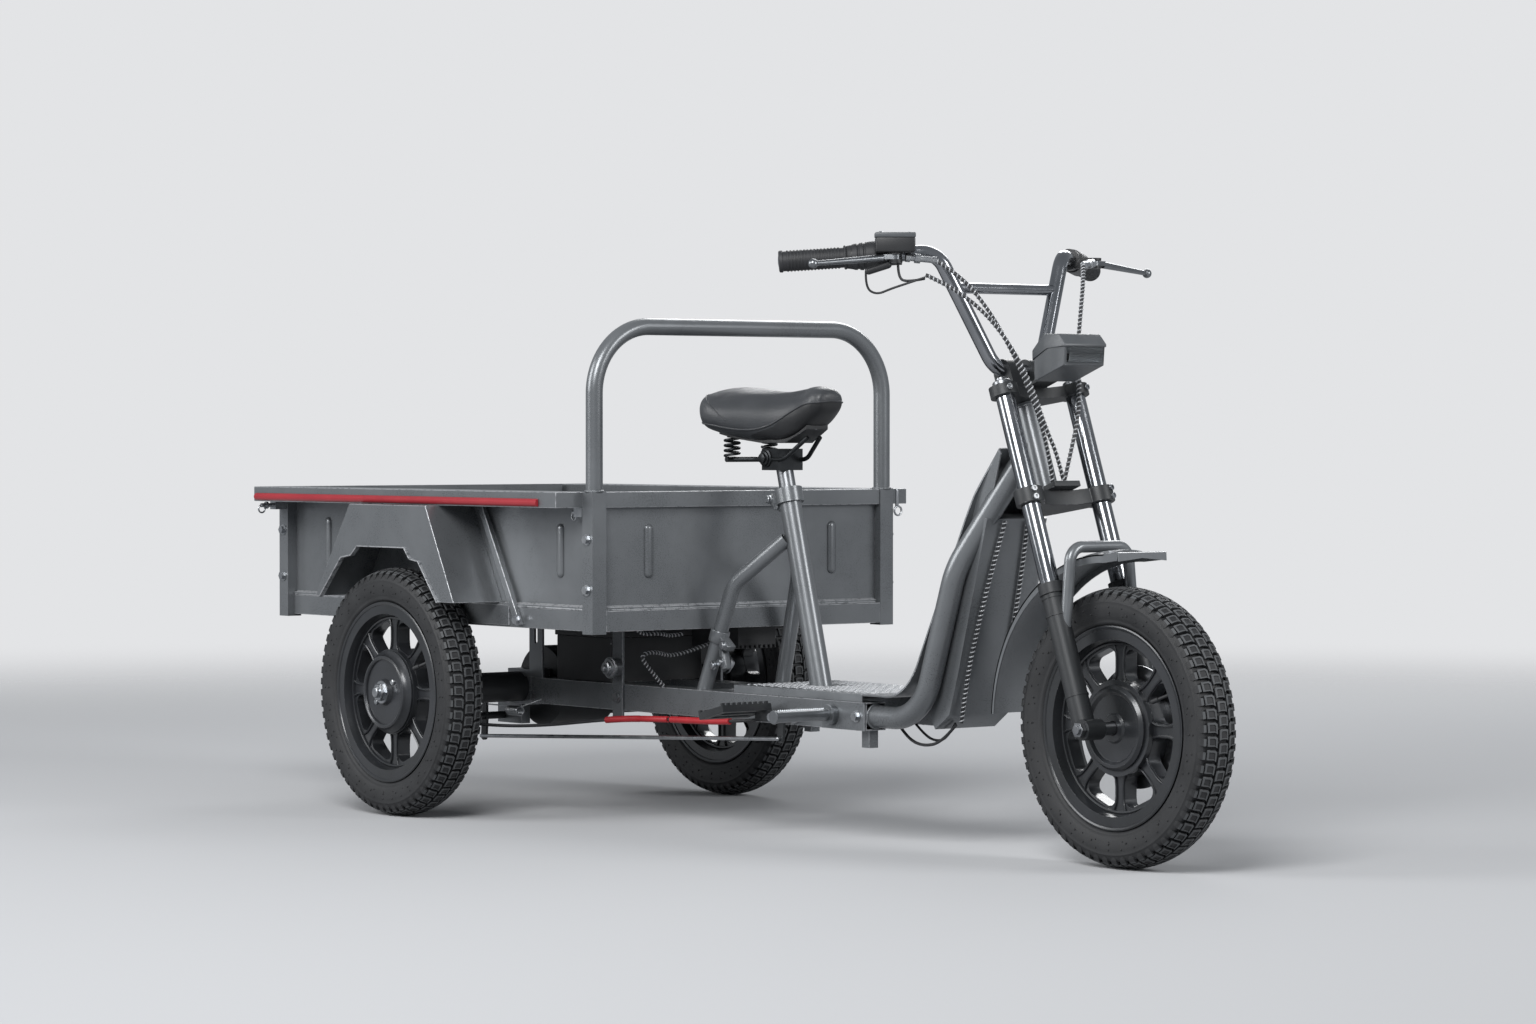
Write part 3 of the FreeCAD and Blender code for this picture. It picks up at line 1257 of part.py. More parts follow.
def front_latch_y():
    return PANEL_Y + LATCH_BODY[1] / 2 + LATCH_RING_WIRE_R


def latch_block():
    length, width, height = LATCH_BODY
    return block((0, length), (-width / 2, width / 2), (-height / 2, height / 2))


def latch_body():
    """A block along X, drilled for a pin that slides."""
    bore = rod(V(-OVERCUT, 0, 0), V(LATCH_BODY[0] + OVERCUT, 0, 0), LATCH_PIN_R + SLIDING_FIT)
    return latch_block().cut(bore)


def latch_pin(reach, standoff):
    """A pin along X with a collar and a pull ring, reaching ahead of its body's inner end."""
    collar_x = LATCH_BODY[0] + standoff
    tail = collar_x + LATCH_COLLAR + LATCH_TAIL
    pin = rod(V(-reach, 0, 0), V(tail, 0, 0), LATCH_PIN_R)
    collar = rod(V(collar_x, 0, 0), V(collar_x + LATCH_COLLAR, 0, 0), LATCH_COLLAR_R)
    ring_at = V(tail - LATCH_RING_WIRE_R, 0, -LATCH_RING_R)
    ring = Part.makeTorus(LATCH_RING_R, LATCH_RING_WIRE_R, ring_at, V(0, 1, 0))
    return pin.fuse([collar, ring]).removeSplitter()


def rear_latch(shape):
    """Turn a latch piece to point inwards through a rear post."""
    moved = shape.copy()
    moved.rotate(V(0, 0, 0), V(0, 0, 1), -90)
    moved.translate(V(BOX_REAR_X + POST / 2, -POST_OUTER_Y, latch_z()))
    return moved


def front_latch(shape):
    """Turn a latch piece to point forwards into a front post."""
    moved = shape.copy()
    moved.rotate(V(0, 0, 0), V(0, 0, 1), 180)
    moved.translate(V(BOX_FRONT_X - POST, -front_latch_y(), latch_z()))
    return moved


def rear_latch_pin():
    """A rear pin drawn back, with its tip just inside the post and room for its travel behind."""
    return rear_latch(latch_pin(POST - BODY_GAP, LATCH_TRAVEL + LOOSE_FIT))


def latch_bodies():
    """Blocks of the rear latches, and the fixed tie-down eyes behind the front posts."""
    eye = latch_block().fuse(latch_pin(POST / 3, 0)).removeSplitter()
    return both_sides(rear_latch(latch_body())) + both_sides(front_latch(eye))


# Rear mudguards and what hangs under the box
def mudguard():
    """A right-hand sheet box over a rear wheel, with a stepped arch in its outer plate."""
    sheet = MUDGUARD_SHEET
    y = (-PANEL_Y, -MUDGUARD_OUTER_Y)
    rear_foot, front_foot = MUDGUARD_FOOT
    rear_top, front_top = MUDGUARD_CROWN
    outline = [(rear_foot, MUDGUARD_FOOT_Z), (rear_top, RAIL_BOTTOM), (front_top, RAIL_BOTTOM),
               (front_foot, MUDGUARD_FOOT_Z)]
    rise = RAIL_BOTTOM - MUDGUARD_FOOT_Z
    inner = []
    for foot, top, turn in ((rear_foot, rear_top, 1), (front_foot, front_top, -1)):
        slope = (top - foot) / rise
        inset = turn * sheet * math.sqrt(1 + slope ** 2)
        inner.append(((foot - slope * sheet + inset, MUDGUARD_FOOT_Z - sheet),
                      (top - slope * sheet + inset, RAIL_BOTTOM - sheet)))
    hollow = [inner[0][0], inner[0][1], inner[1][1], inner[1][0]]
    arch = [(MUDGUARD_ARCH[0][0], MUDGUARD_FOOT_Z - sheet)] + list(MUDGUARD_ARCH)
    arch.append((MUDGUARD_ARCH[-1][0], MUDGUARD_FOOT_Z - sheet))
    shell = prism(outline, y).cut([prism(hollow, (0, -MUDGUARD_OUTER_Y + sheet)),
                                   prism(arch, (-MUDGUARD_OUTER_Y - sheet, -MUDGUARD_OUTER_Y + 2 * sheet))])
    return max(shell.Solids, key=lambda solid: solid.Volume)


def mudguards():
    return both_sides(mudguard())


def mudguard_braces():
    """Sloping struts and aprons that tie the mudguards to the box."""
    y = (-BASE_OUTER_Y, -BASE_OUTER_Y - STRUT_DEPTH)
    strut = prism([(STRUT_TOP_X, RAIL_BOTTOM), (STRUT_TOP_X + STRUT_WIDTH, RAIL_BOTTOM),
                   (STRUT_FOOT_X + STRUT_WIDTH, STRUT_FOOT_Z), (STRUT_FOOT_X, STRUT_FOOT_Z)], y)
    rear, front = APRON
    low = BASE_BOTTOM + SHEET
    high = BASE_TOP + SHEET
    step, drop = APRON_STEP
    outline = [(rear + APRON_CORNER, low), (front, low), (front, high), (rear, high),
               (rear + step, high - drop)]
    apron = prism(outline, (-BASE_OUTER_Y, -BASE_OUTER_Y - MUDGUARD_SHEET))
    strut = strut.cut(prism([(MUDGUARD_FOOT[0], MUDGUARD_FOOT_Z), (MUDGUARD_CROWN[0], RAIL_BOTTOM),
                             (MUDGUARD_CROWN[1], RAIL_BOTTOM), (MUDGUARD_FOOT[1], MUDGUARD_FOOT_Z)], y))
    return both_sides(strut) + both_sides(apron)


def box_hangers():
    """Plates from the sills of the box to the beams, with the slotted bracket at the axle."""
    y = (-BEAM_OUTER_Y, -BEAM_OUTER_Y - HANGER_PLATE)
    top = BASE_TOP - SHEET
    front = block(HANGER_X, y, (BEAM_BOTTOM - HANGER_FOOT, top))
    x = REAR_HANGER_X
    upright = block(x, y, (BEAM_TOP + BODY_GAP, top))
    foot = block((-AXLE_CLAMP_HALF, x[1]), y, (BEAM_TOP + BODY_GAP, AXLE_Z + HOUSING_R + HOUSING_WALL))
    middle = (x[0] + x[1]) / 2
    slot_z = (BASE_BOTTOM - SLOT_LENGTH - SLOT_R, BASE_BOTTOM - SLOT_R)
    cuts = [block((middle - SLOT_R, middle + SLOT_R), (y[0] + OVERCUT, y[1] - OVERCUT), slot_z)]
    for z in slot_z:
        cuts.append(rod(V(middle, y[0] + OVERCUT, z), V(middle, y[1] - OVERCUT, z), SLOT_R))
    cuts.append(rod(V(0, -WHEEL_Y, AXLE_Z), V(0, 0, AXLE_Z), HOUSING_R))
    rear = upright.fuse(foot).cut(cuts).removeSplitter()
    return both_sides(front) + both_sides(rear)


def hanger_bushes():
    """Bushes with their bolts on the front hangers."""
    x = sum(HANGER_X) / 2
    start = V(x, -BEAM_OUTER_Y - HANGER_PLATE, HANGER_BOLT_Z)
    outward = V(0, -1, 0)
    bush = rod(start, start + outward * HANGER_FOOT, BUSH_R)
    head = hexagon(start + outward * HANGER_FOOT, outward, BUSH_BOLT_FLAT, BUSH_BOLT)
    return both_sides(bush.fuse(head).removeSplitter())


def battery_box():
    y = (-BATTERY_HALF_WIDTH, BATTERY_HALF_WIDTH)
    lid_z = BEAM_TOP + BATTERY_HEIGHT - BATTERY_LID
    case = block(BATTERY_X, y, (BEAM_TOP, lid_z))
    lid = block((BATTERY_X[0] - SHEET, BATTERY_X[1] + SHEET), (y[0] - SHEET, y[1] + SHEET),
                (lid_z, lid_z + BATTERY_LID))
    return [case, lid]


def motor_controller():
    """A finned case under the left sill."""
    case = block(CONTROLLER_X, CONTROLLER_Y, (BASE_BOTTOM - CONTROLLER_HEIGHT, BASE_BOTTOM))
    pitch = (CONTROLLER_Y[1] - CONTROLLER_Y[0]) / CONTROLLER_FINS
    slots = []
    for index in range(CONTROLLER_FINS):
        low = CONTROLLER_Y[0] + (index + (1 - CONTROLLER_SLOT_SHARE) / 2) * pitch
        slots.append(block((0, WHEELBASE), (low, low + CONTROLLER_SLOT_SHARE * pitch),
                           (0, BASE_BOTTOM - CONTROLLER_HEIGHT + CONTROLLER_FIN)))
    return [case.cut(slots)]


# Brake pedal, rod and cross shaft
def rod_direction():
    """Along the brake rod, which links two equal levers."""
    front = V(PEDAL_PIVOT[0], 0, PEDAL_PIVOT[1])
    rear = V(CROSS_SHAFT_AT[0], 0, CROSS_SHAFT_AT[1])
    return (front - rear).normalize()


def lever_tip(pivot):
    """End of a brake lever at rest: square to the rod at half of the pedal's travel."""
    along = rod_direction()
    down = V(along.z, 0, -along.x)
    back = math.radians(PEDAL_TRAVEL / 2)
    return V(pivot[0], 0, pivot[1]) + (down * math.cos(back) - along * math.sin(back)) * BRAKE_LEVER


def brake_lever(pivot, y):
    """A flat lever from a pivot down to the rod, with a loose hole for the rod's pin."""
    start = V(pivot[0], y[0], pivot[1])
    tip = lever_tip(pivot) + V(0, y[0], 0)
    depth = V(0, y[1] - y[0], 0)
    run = tip - start
    side = run.cross(V(0, 1, 0)).normalize() * (BRAKE_LEVER_WIDTH / 2)
    corners = [start - side, start + side, tip + side, tip - side]
    plate = Part.Face(Part.makePolygon(corners + corners[:1])).extrude(depth)
    ends = [rod(point, point + depth, BRAKE_LEVER_WIDTH / 2) for point in (start, tip)]
    return plate.fuse(ends).cut(rod(tip - depth, tip + depth * 2, ROD_PIN_R + ROD_PIN_SLACK))


def lever_plate_y():
    inner = PEDAL_ARM_Y[1]
    return -inner, -inner - BRAKE_LEVER_PLATE


def pedal_pin():
    x, z = PEDAL_PIVOT
    start = V(x, -BEAM_OUTER_Y, z)
    pin = rod(start, start - V(0, PEDAL_PIN_LENGTH, 0), PEDAL_PIN_R)
    collar = rod(start, V(x, -PEDAL_ARM_Y[0] + BODY_GAP, z), PEDAL_BOSS_R)
    return [pin.fuse(collar).removeSplitter()]


def brake_pedal():
    """A toothed frame for the foot on an arm that turns on the pedal pin."""
    x, z = PEDAL_PIVOT
    length, width, height = PEDAL_PAD
    bar = PEDAL_PAD_BAR
    outer_y = -PEDAL_ARM_Y[0] - width
    pad = block((0, length), (outer_y, -PEDAL_ARM_Y[0]), (0, height))
    gap = (length - 3 * bar) / 2
    windows = []
    for index in range(2):
        low = bar + index * (gap + bar)
        windows.append(block((low, low + gap), (outer_y + bar, -PEDAL_ARM_Y[0] - bar),
                             (-OVERCUT, height + OVERCUT)))
    teeth = []
    pitch = width / PEDAL_TEETH
    for index in range(PEDAL_TEETH):
        low = outer_y + index * pitch
        for foot in (0, length - PEDAL_TOOTH[0]):
            teeth.append(block((foot, foot + PEDAL_TOOTH[0]), (low, low + pitch / 2),
                               (height, height + PEDAL_TOOTH[1])))
    pad = pad.cut(windows).fuse(teeth)
    pad.rotate(V(0, 0, 0), V(0, 1, 0), -PEDAL_PITCH)
    pad.translate(V(PEDAL_PAD_REAR_X, 0, PEDAL_PAD_REAR_Z))
    arm_y = (-PEDAL_ARM_Y[0], -PEDAL_ARM_Y[1])
    arm = block((PEDAL_PAD_REAR_X + length / 2, x), arm_y,
                (z - PEDAL_ARM_HEIGHT / 2, z + PEDAL_ARM_HEIGHT / 2))
    boss = rod(V(x, arm_y[0], z), V(x, arm_y[1], z), PEDAL_BOSS_R)
    lever = brake_lever(PEDAL_PIVOT, lever_plate_y())
    bore = rod(V(x, 0, z), V(x, -TRACK, z), PEDAL_PIN_R + RUNNING_FIT)
    return [pad.fuse([arm, boss, lever]).cut(bore).removeSplitter()]


def brake_rod():
    """The rod between the two levers, with a pin turned in at each end."""
    inner = lever_plate_y()[0]
    outer = lever_plate_y()[1] - BODY_GAP - ROD_R
    ends = [lever_tip(pivot) + V(0, outer, 0) for pivot in (CROSS_SHAFT_AT, PEDAL_PIVOT)]
    pins = [rod(end, V(end.x, inner, end.z), ROD_PIN_R) for end in ends]
    knobs = [Part.makeSphere(ROD_R, end) for end in ends]
    return [rod(ends[0], ends[1], ROD_R).fuse(pins + knobs).removeSplitter()]


def brake_cross_shaft():
    """The shaft behind the axle that passes the pedal's pull to both rear brakes."""
    x, z = CROSS_SHAFT_AT
    half = CROSS_SHAFT_HALF
    shaft = rod(V(x, -half, z), V(x, half, z), CROSS_SHAFT_R)
    arms = [brake_lever(CROSS_SHAFT_AT, lever_plate_y())]
    ends = ((-half, -half + CROSS_SHAFT_ARM_WIDTH), (half - CROSS_SHAFT_ARM_WIDTH, half))
    for low, high in ends + (lever_plate_y(),):
        arms.append(block((x - CROSS_SHAFT_R, x + CROSS_SHAFT_R), (low, high), (z, z + BRAKE_LEVER)))
    return [shaft.fuse(arms).removeSplitter()]


def cross_shaft_brackets():
    """Drilled blocks under the axle clamps that carry the cross shaft."""
    x, z = CROSS_SHAFT_AT
    y = tuple(-place for place in CROSS_SHAFT_BLOCK_Y)
    body = block(CROSS_SHAFT_BLOCK_X, y, (z - 2 * CROSS_SHAFT_R, AXLE_Z - HOUSING_R - HOUSING_WALL))
    return both_sides(body.cut(rod(V(x, 0, z), V(x, -TRACK, z), CROSS_SHAFT_R + RUNNING_FIT)))


def return_spring():
    """The coil that pulls the cross shaft back, with a straight end at each side."""
    middle_y = sum(lever_plate_y()) / 2
    start = V(RETURN_SPRING_AT[0], middle_y, RETURN_SPRING_AT[1])
    axis = V(1, 0, 0)
    coil = spring(start, axis, V(0, 0, 1), RETURN_SPRING_R, RETURN_SPRING_WIRE_R, RETURN_SPRING_TURNS,
                  RETURN_SPRING_PITCH)
    rise = V(0, 0, RETURN_SPRING_R)
    end = start + axis * (RETURN_SPRING_TURNS * RETURN_SPRING_PITCH)
    arm = V(CROSS_SHAFT_AT[0] + CROSS_SHAFT_R + LOOSE_FIT, middle_y, start.z + RETURN_SPRING_R)
    hook = V(RETURN_SPRING_HOOK[0], -BEAM_OUTER_Y - RETURN_SPRING_WIRE_R, RETURN_SPRING_HOOK[1])
    ends = [rod(start + rise, arm, RETURN_SPRING_WIRE_R), rod(end + rise, hook, RETURN_SPRING_WIRE_R)]
    return [coil] + [max(wire.cut(coil).Solids, key=lambda solid: solid.Volume) for wire in ends]


def foot_pegs():
    """Rubber pegs with a flange on the outer face of each end plate."""
    start = V(BEAM_FRONT_X - PEG_INSET, -BEAM_OUTER_Y - END_PLATE, PEG_Z)
    flange = rod(start, start - V(0, PEG_FLANGE, 0), PEG_FLANGE_R)
    peg = rod(start, start - V(0, PEG_LENGTH, 0), PEG_R)
    cap = rod(start - V(0, PEG_LENGTH, 0), start - V(0, PEG_LENGTH + PEG_CAP, 0), PEG_CAP_R)
    return both_sides(flange.fuse([peg, cap]).removeSplitter())


# Front fork and wheel
def in_fork(shape, along, ahead, side):
    """Turn a piece built on the local axes ahead, sideways and along into the fork's place."""
    moved = shape.copy()
    moved.rotate(V(0, 0, 0), V(0, 1, 0), -RAKE)
    moved.translate(fork(along, ahead, side))
    return moved


def leg_axis(low, high, side):
    return fork(low, 0, side * LEG_Y), fork(high, 0, side * LEG_Y)


def crown(at, thickness):
    """A plate that joins both legs and the steerer, with lobes round each."""
    low = at - thickness / 2
    lobes = []
    for ahead, side in ((0, -LEG_Y), (0, LEG_Y), (-CROWN_OFFSET, 0)):
        lobes.append(rod(fork(low, ahead, side), fork(low + thickness, ahead, side), CROWN_LOBE_R))
    half = CROWN_WEB / 2
    front = half - CROWN_INSET
    rear = -CROWN_OFFSET - half
    outline = [(front, -LEG_Y), (-CROWN_INSET, -LEG_Y / 3), (-CROWN_INSET, LEG_Y / 3), (front, LEG_Y),
               (-half, LEG_Y), (rear, LEG_Y / 4), (rear, -LEG_Y / 4), (-half, -LEG_Y)]
    points = [V(ahead, side, 0) for ahead, side in outline]
    web = Part.Face(Part.makePolygon(points + points[:1])).extrude(V(0, 0, thickness))
    plate = lobes[0].fuse(lobes[1:] + [in_fork(web, low, 0, 0)])
    return plate.cut([rod(*leg_axis(0, 2 * at, side), STANCHION_R) for side in SIDES.values()])


def lower_crown():
    """The lower crown with the steerer that turns in the head tube."""
    low = LOWER_CROWN_AT - LOWER_CROWN / 2
    high = UPPER_CROWN_AT + UPPER_CROWN / 2
    steerer = rod(fork(low, -CROWN_OFFSET, 0), fork(high, -CROWN_OFFSET, 0), STEERER_R)
    return [crown(LOWER_CROWN_AT, LOWER_CROWN).fuse(steerer).removeSplitter()]


def upper_crown():
    low = UPPER_CROWN_AT - UPPER_CROWN
    hole = rod(fork(low, -CROWN_OFFSET, 0), fork(UPPER_CROWN_AT + UPPER_CROWN, -CROWN_OFFSET, 0), STEERER_R)
    return [crown(UPPER_CROWN_AT, UPPER_CROWN).cut(hole).removeSplitter()]


def stanchions():
    top = UPPER_CROWN_AT + UPPER_CROWN / 2 + STANCHION_TOP
    return [pipe(*leg_axis(STANCHION_FOOT_AT, top, side), STANCHION_R, STANCHION_R - STANCHION_WALL)
            for side in SIDES.values()]


def front_axle_end(side):
    """Outer and inner face of an axle lug."""
    return [V(WHEELBASE, side * y, AXLE_Z) for y in (LEG_Y + LUG_WIDTH / 2, LEG_Y - LUG_WIDTH / 2)]


def fork_sliders():
    """Lower legs that ride on the stanchions, with the lugs for the front axle."""
    legs = []
    for side in SIDES.values():
        leg = rod(*leg_axis(-LUG_R / 2, SLIDER_TOP_AT, side), SLIDER_R)
        bore = rod(*leg_axis(SLIDER_PLUG, SLIDER_TOP_AT, side), STANCHION_R + SLIDING_FIT)
        outer, inner = front_axle_end(side)
        hole = rod(V(WHEELBASE, 0, AXLE_Z), V(WHEELBASE, side * TRACK, AXLE_Z), AXLE_R)
        legs.append(leg.fuse(rod(outer, inner, LUG_R)).cut([bore, hole]).removeSplitter())
    return legs


def fork_seals():
    top = SLIDER_TOP_AT + SEAL_HEIGHT
    return [pipe(*leg_axis(SLIDER_TOP_AT, top, side), SEAL_R, STANCHION_R + SLIDING_FIT)
            for side in SIDES.values()]


def front_axle():
    """The axle with its spacers and nuts."""
    reach = LEG_Y + LUG_WIDTH / 2
    inner = LEG_Y - LUG_WIDTH / 2
    pieces = []
    for side in SIDES.values():
        outward = V(0, side, 0)
        pieces.append(hexagon(V(WHEELBASE, side * reach, AXLE_Z), outward, AXLE_NUT_FLAT, AXLE_NUT))
        spacer = V(WHEELBASE, side * (HUB_WIDTH / 2 + LOOSE_FIT), AXLE_Z)
        pieces.append(rod(spacer, V(WHEELBASE, side * inner, AXLE_Z), AXLE_SPACER_R))
    tip = reach + AXLE_NUT + AXLE_R / 2
    return [rod(V(WHEELBASE, -tip, AXLE_Z), V(WHEELBASE, tip, AXLE_Z), AXLE_R).fuse(pieces).removeSplitter()]


def wheel_bearings():
    half = HUB_WIDTH / 2
    return [pipe(V(WHEELBASE, side * (half - WHEEL_BEARING_WIDTH), AXLE_Z), V(WHEELBASE, side * half, AXLE_Z),
                 WHEEL_BEARING_R, AXLE_R + RUNNING_FIT) for side in SIDES.values()]


def brake_disc():
    face = HUB_WIDTH / 2
    outer = face + DISC_THICKNESS
    return [pipe(V(WHEELBASE, face, AXLE_Z), V(WHEELBASE, outer, AXLE_Z), DISC_R, DISC_INNER_R)]


def brake_caliper():
    """The caliper round the disc's rear edge, on an arm from the left leg."""
    disc_y = (HUB_WIDTH / 2 - CALIPER_GAP, HUB_WIDTH / 2 + DISC_THICKNESS + CALIPER_GAP)
    y = (disc_y[0] - CALIPER_INNER, disc_y[1] + CALIPER_OUTER)
    rear = DISC_R + CALIPER_BRIDGE
    near = HUB_R + BODY_GAP
    half = CALIPER_LENGTH / 2
    body = block((-rear, -near), y, (-half, half))
    slot = block((-DISC_R - 2 * CALIPER_GAP, 0), disc_y, (-2 * half, 2 * half))
    arm = block((-rear, 0), (y[1], LEG_Y), (-CALIPER_ARM, CALIPER_ARM))
    shape = at_wheel(body.cut(slot).fuse(arm), WHEELBASE, 0)
    outer, inner = front_axle_end(1)
    room = [rod(*leg_axis(-LUG_R / 2, SLIDER_TOP_AT, 1), SLIDER_R), rod(outer, inner, LUG_R),
            rod(V(WHEELBASE, 0, AXLE_Z), outer, AXLE_SPACER_R + BODY_GAP)]
    shape = shape.cut(room)
    return [max(shape.Solids, key=lambda solid: solid.Volume)]


def fender_hoop():
    """The bent tube between the lower legs that carries the front mudguard."""
    x, y, z = from_front([HOOP_SHOULDER])[0]
    foot = fork(HOOP_LEG_AT, 0, -LEG_Y)
    points = [foot, V(x, -y, z), V(x, y, z), V(foot.x, -foot.y, foot.z)]
    tube = sweep(bent_path(points, [HOOP_BEND] * 2), HOOP_R)
    legs = [rod(*leg_axis(0, SLIDER_TOP_AT, side), SLIDER_R) for side in SIDES.values()]
    return [max(tube.cut(legs).Solids, key=lambda solid: solid.Volume)]


def front_mudguard():
    """A crowned strip round the front wheel with a flared tip."""
    half = FENDER_HALF_WIDTH
    edges = []
    rings = []
    for radius in (FENDER_R, FENDER_R - FENDER_SHEET):
        ends = [V(radius, -half, 0), V(radius, half, 0)]
        edges.append(arc(ends[0], V(radius + FENDER_CROWN, 0, 0), ends[1]))
        rings.append(ends)
    edges.extend(line(rings[0][index], rings[1][index]) for index in range(2))
    face = Part.Face(Part.Wire(Part.__sortEdges__(edges)))
    strip = face.revolve(V(0, 0, 0), V(0, -1, 0), FENDER_REAR_DEG - FENDER_FRONT_DEG)
    flare = FENDER_TIP_HALF_WIDTH
    outline = [V(0, -half, 0), V(FENDER_TIP, -flare, 0), V(FENDER_TIP, flare, 0), V(0, half, 0)]
    tip = Part.Face(Part.makePolygon(outline + outline[:1])).extrude(V(0, 0, FENDER_SHEET))
    tip.rotate(V(0, 0, 0), V(0, 1, 0), FENDER_FRONT_DEG - FENDER_TIP_PITCH)
    tip.translate(V(FENDER_R - FENDER_SHEET, 0, 0))
    shape = strip.fuse(tip).removeSplitter()
    shape.rotate(V(0, 0, 0), V(0, -1, 0), FENDER_FRONT_DEG)
    return [at_wheel(shape, WHEELBASE, 0)]


# Handlebar and controls
def bar_points():
    right = [fork(along, ahead, -side) for along, ahead, side in (BAR_END, BAR_SHOULDER)]
    right.append(fork(BAR_AT, -CROWN_OFFSET, -BAR_ELBOW_Y))
    left = [V(point.x, -point.y, point.z) for point in reversed(right)]
    return right + left


def bar_sweep(radius):
    return sweep(bent_path(bar_points(), list(BAR_BENDS[::-1]) + list(BAR_BENDS)), radius)


def handlebar():
    return [bar_sweep(BAR_R).cut(bar_sweep(BAR_R - BAR_WALL))]


def crossbar():
    points = bar_points()
    right = points[2] + (points[1] - points[2]) * CROSSBAR_AT
    bar = rod(right, V(right.x, -right.y, right.z), CROSSBAR_R).cut(bar_sweep(BAR_R))
    return [max(bar.Solids, key=lambda solid: solid.Volume)]


def bar_clamps():
    """Two risers on the upper crown that hold the bar."""
    half = BAR_CLAMP_WIDTH / 2
    low = UPPER_CROWN_AT + UPPER_CROWN / 2
    stem = block((-BAR_CLAMP_R, BAR_CLAMP_R), (-half, half), (0, BAR_AT - low))
    stem = in_fork(stem, low, -CROWN_OFFSET, -BAR_CLAMP_Y)
    middle = fork(BAR_AT, -CROWN_OFFSET, -BAR_CLAMP_Y)
    ring = rod(middle - V(0, half, 0), middle + V(0, half, 0), BAR_CLAMP_R)
    return both_sides(stem.fuse(ring).cut(bar_sweep(BAR_R)).removeSplitter())


def bar_end_line():
    """Right end of the bar and the direction from there back to the middle."""
    end, shoulder = bar_points()[:2]
    return end, (shoulder - end).normalize()


def on_bar(distance):
    end, inward = bar_end_line()
    return end + inward * distance


def bar_sleeve(start, length, radius, bore_r):
    """A sleeve on the right grip end, from a distance along the bar."""
    return pipe(on_bar(start), on_bar(start + length), radius, bore_r)


def grip(bore_r):
    """A grip with a closed end and a flange at its inner end."""
    body = rod(on_bar(-GRIP_FLANGE), on_bar(GRIP_LENGTH), GRIP_R)
    flange = rod(on_bar(GRIP_LENGTH - GRIP_FLANGE), on_bar(GRIP_LENGTH), GRIP_FLANGE_R)
    end = rod(on_bar(-GRIP_FLANGE), on_bar(0), GRIP_END_R)
    bore = rod(on_bar(-LOOSE_FIT), on_bar(2 * GRIP_LENGTH), bore_r)
    return body.fuse([flange, end]).cut(bore).removeSplitter()


def throttle_grip():
    return [grip(BAR_R + RUNNING_FIT)]


def left_grip():
    return [mirrored(grip(BAR_R))]


def housing_start():
    return GRIP_LENGTH + LOOSE_FIT


def perch_start():
    return housing_start() + THROTTLE_BODY + PERCH_GAP


def throttle_housing():
    return [bar_sleeve(housing_start(), THROTTLE_BODY, THROTTLE_BODY_R, BAR_R)]


def bar_ahead():
    """Level direction ahead of the right grip, square to the bar."""
    inward = bar_end_line()[1]
    ahead = V(0, 0, 1).cross(inward).normalize()
    return ahead if ahead.x > 0 else ahead * -1


def lever_pivot():
    return on_bar(perch_start() + PERCH_WIDTH / 2) + bar_ahead() * PERCH_ARM - V(0, 0, PERCH_ARM_DROP)


def upright_block(start, end, width, height):
    """A bar with a rectangular section between two points at one level."""
    run = end - start
    side = run.cross(V(0, 0, 1)).normalize() * (width / 2)
    rise = V(0, 0, height / 2)
    corners = [start - side - rise, start + side - rise, end + side - rise, end - side - rise]
    return Part.Face(Part.makePolygon(corners + corners[:1])).extrude(rise * 2)


def lever_perch():
    """The clamp on the bar with a slotted arm and the lever's pin, right-hand."""
    ring = rod(on_bar(perch_start()), on_bar(perch_start() + PERCH_WIDTH), PERCH_R)
    middle = on_bar(perch_start() + PERCH_WIDTH / 2) - V(0, 0, PERCH_ARM_DROP)
    pivot = lever_pivot()
    arm = upright_block(middle, pivot, PERCH_WIDTH, PERCH_ARM_HEIGHT)
    rise = V(0, 0, PERCH_ARM_HEIGHT / 2)
    nose = rod(pivot - rise, pivot + rise, PERCH_WIDTH / 2)
    gap = V(0, 0, LEVER_HEIGHT / 2 + LOOSE_FIT)
    slot = rod(pivot - gap, pivot + gap, PERCH_WIDTH)
    bar = rod(on_bar(0), on_bar(2 * GRIP_LENGTH), BAR_R)
    pin = rod(pivot - rise, pivot + rise, LEVER_PIN_R)
    return ring.fuse([arm, nose]).cut([slot, bar]).fuse(pin).removeSplitter()


def lever_perches():
    return both_sides(lever_perch())


def lever_direction():
    sweep_angle = math.radians(LEVER_SWEEP)
    drop = math.radians(LEVER_DROP)
    level = math.cos(drop)
    return V(-math.sin(sweep_angle) * level, -math.cos(sweep_angle) * level, -math.sin(drop))


def hand_lever():
    """A right-hand brake lever with a ball end, on its pivot."""
    pivot = lever_pivot()
    half = V(0, 0, LEVER_HEIGHT / 2)
    boss = rod(pivot - half, pivot + half, LEVER_BOSS_R)
    tip = pivot + lever_direction() * LEVER_LENGTH
    neck = pivot + lever_direction() * PERCH_WIDTH
    stem = upright_block(pivot, V(neck.x, neck.y, pivot.z), LEVER_STEM, LEVER_HEIGHT)
    blade = Part.makeCone(LEVER_R + LEVER_TAPER, LEVER_R - LEVER_TAPER, (tip - neck).Length, neck, tip - neck)
    ball = Part.makeSphere(LEVER_BALL_R, tip)
    bore = rod(pivot - half * 2, pivot + half * 2, LEVER_PIN_R + RUNNING_FIT)
    return boss.fuse([stem, blade, ball]).cut(bore).removeSplitter()


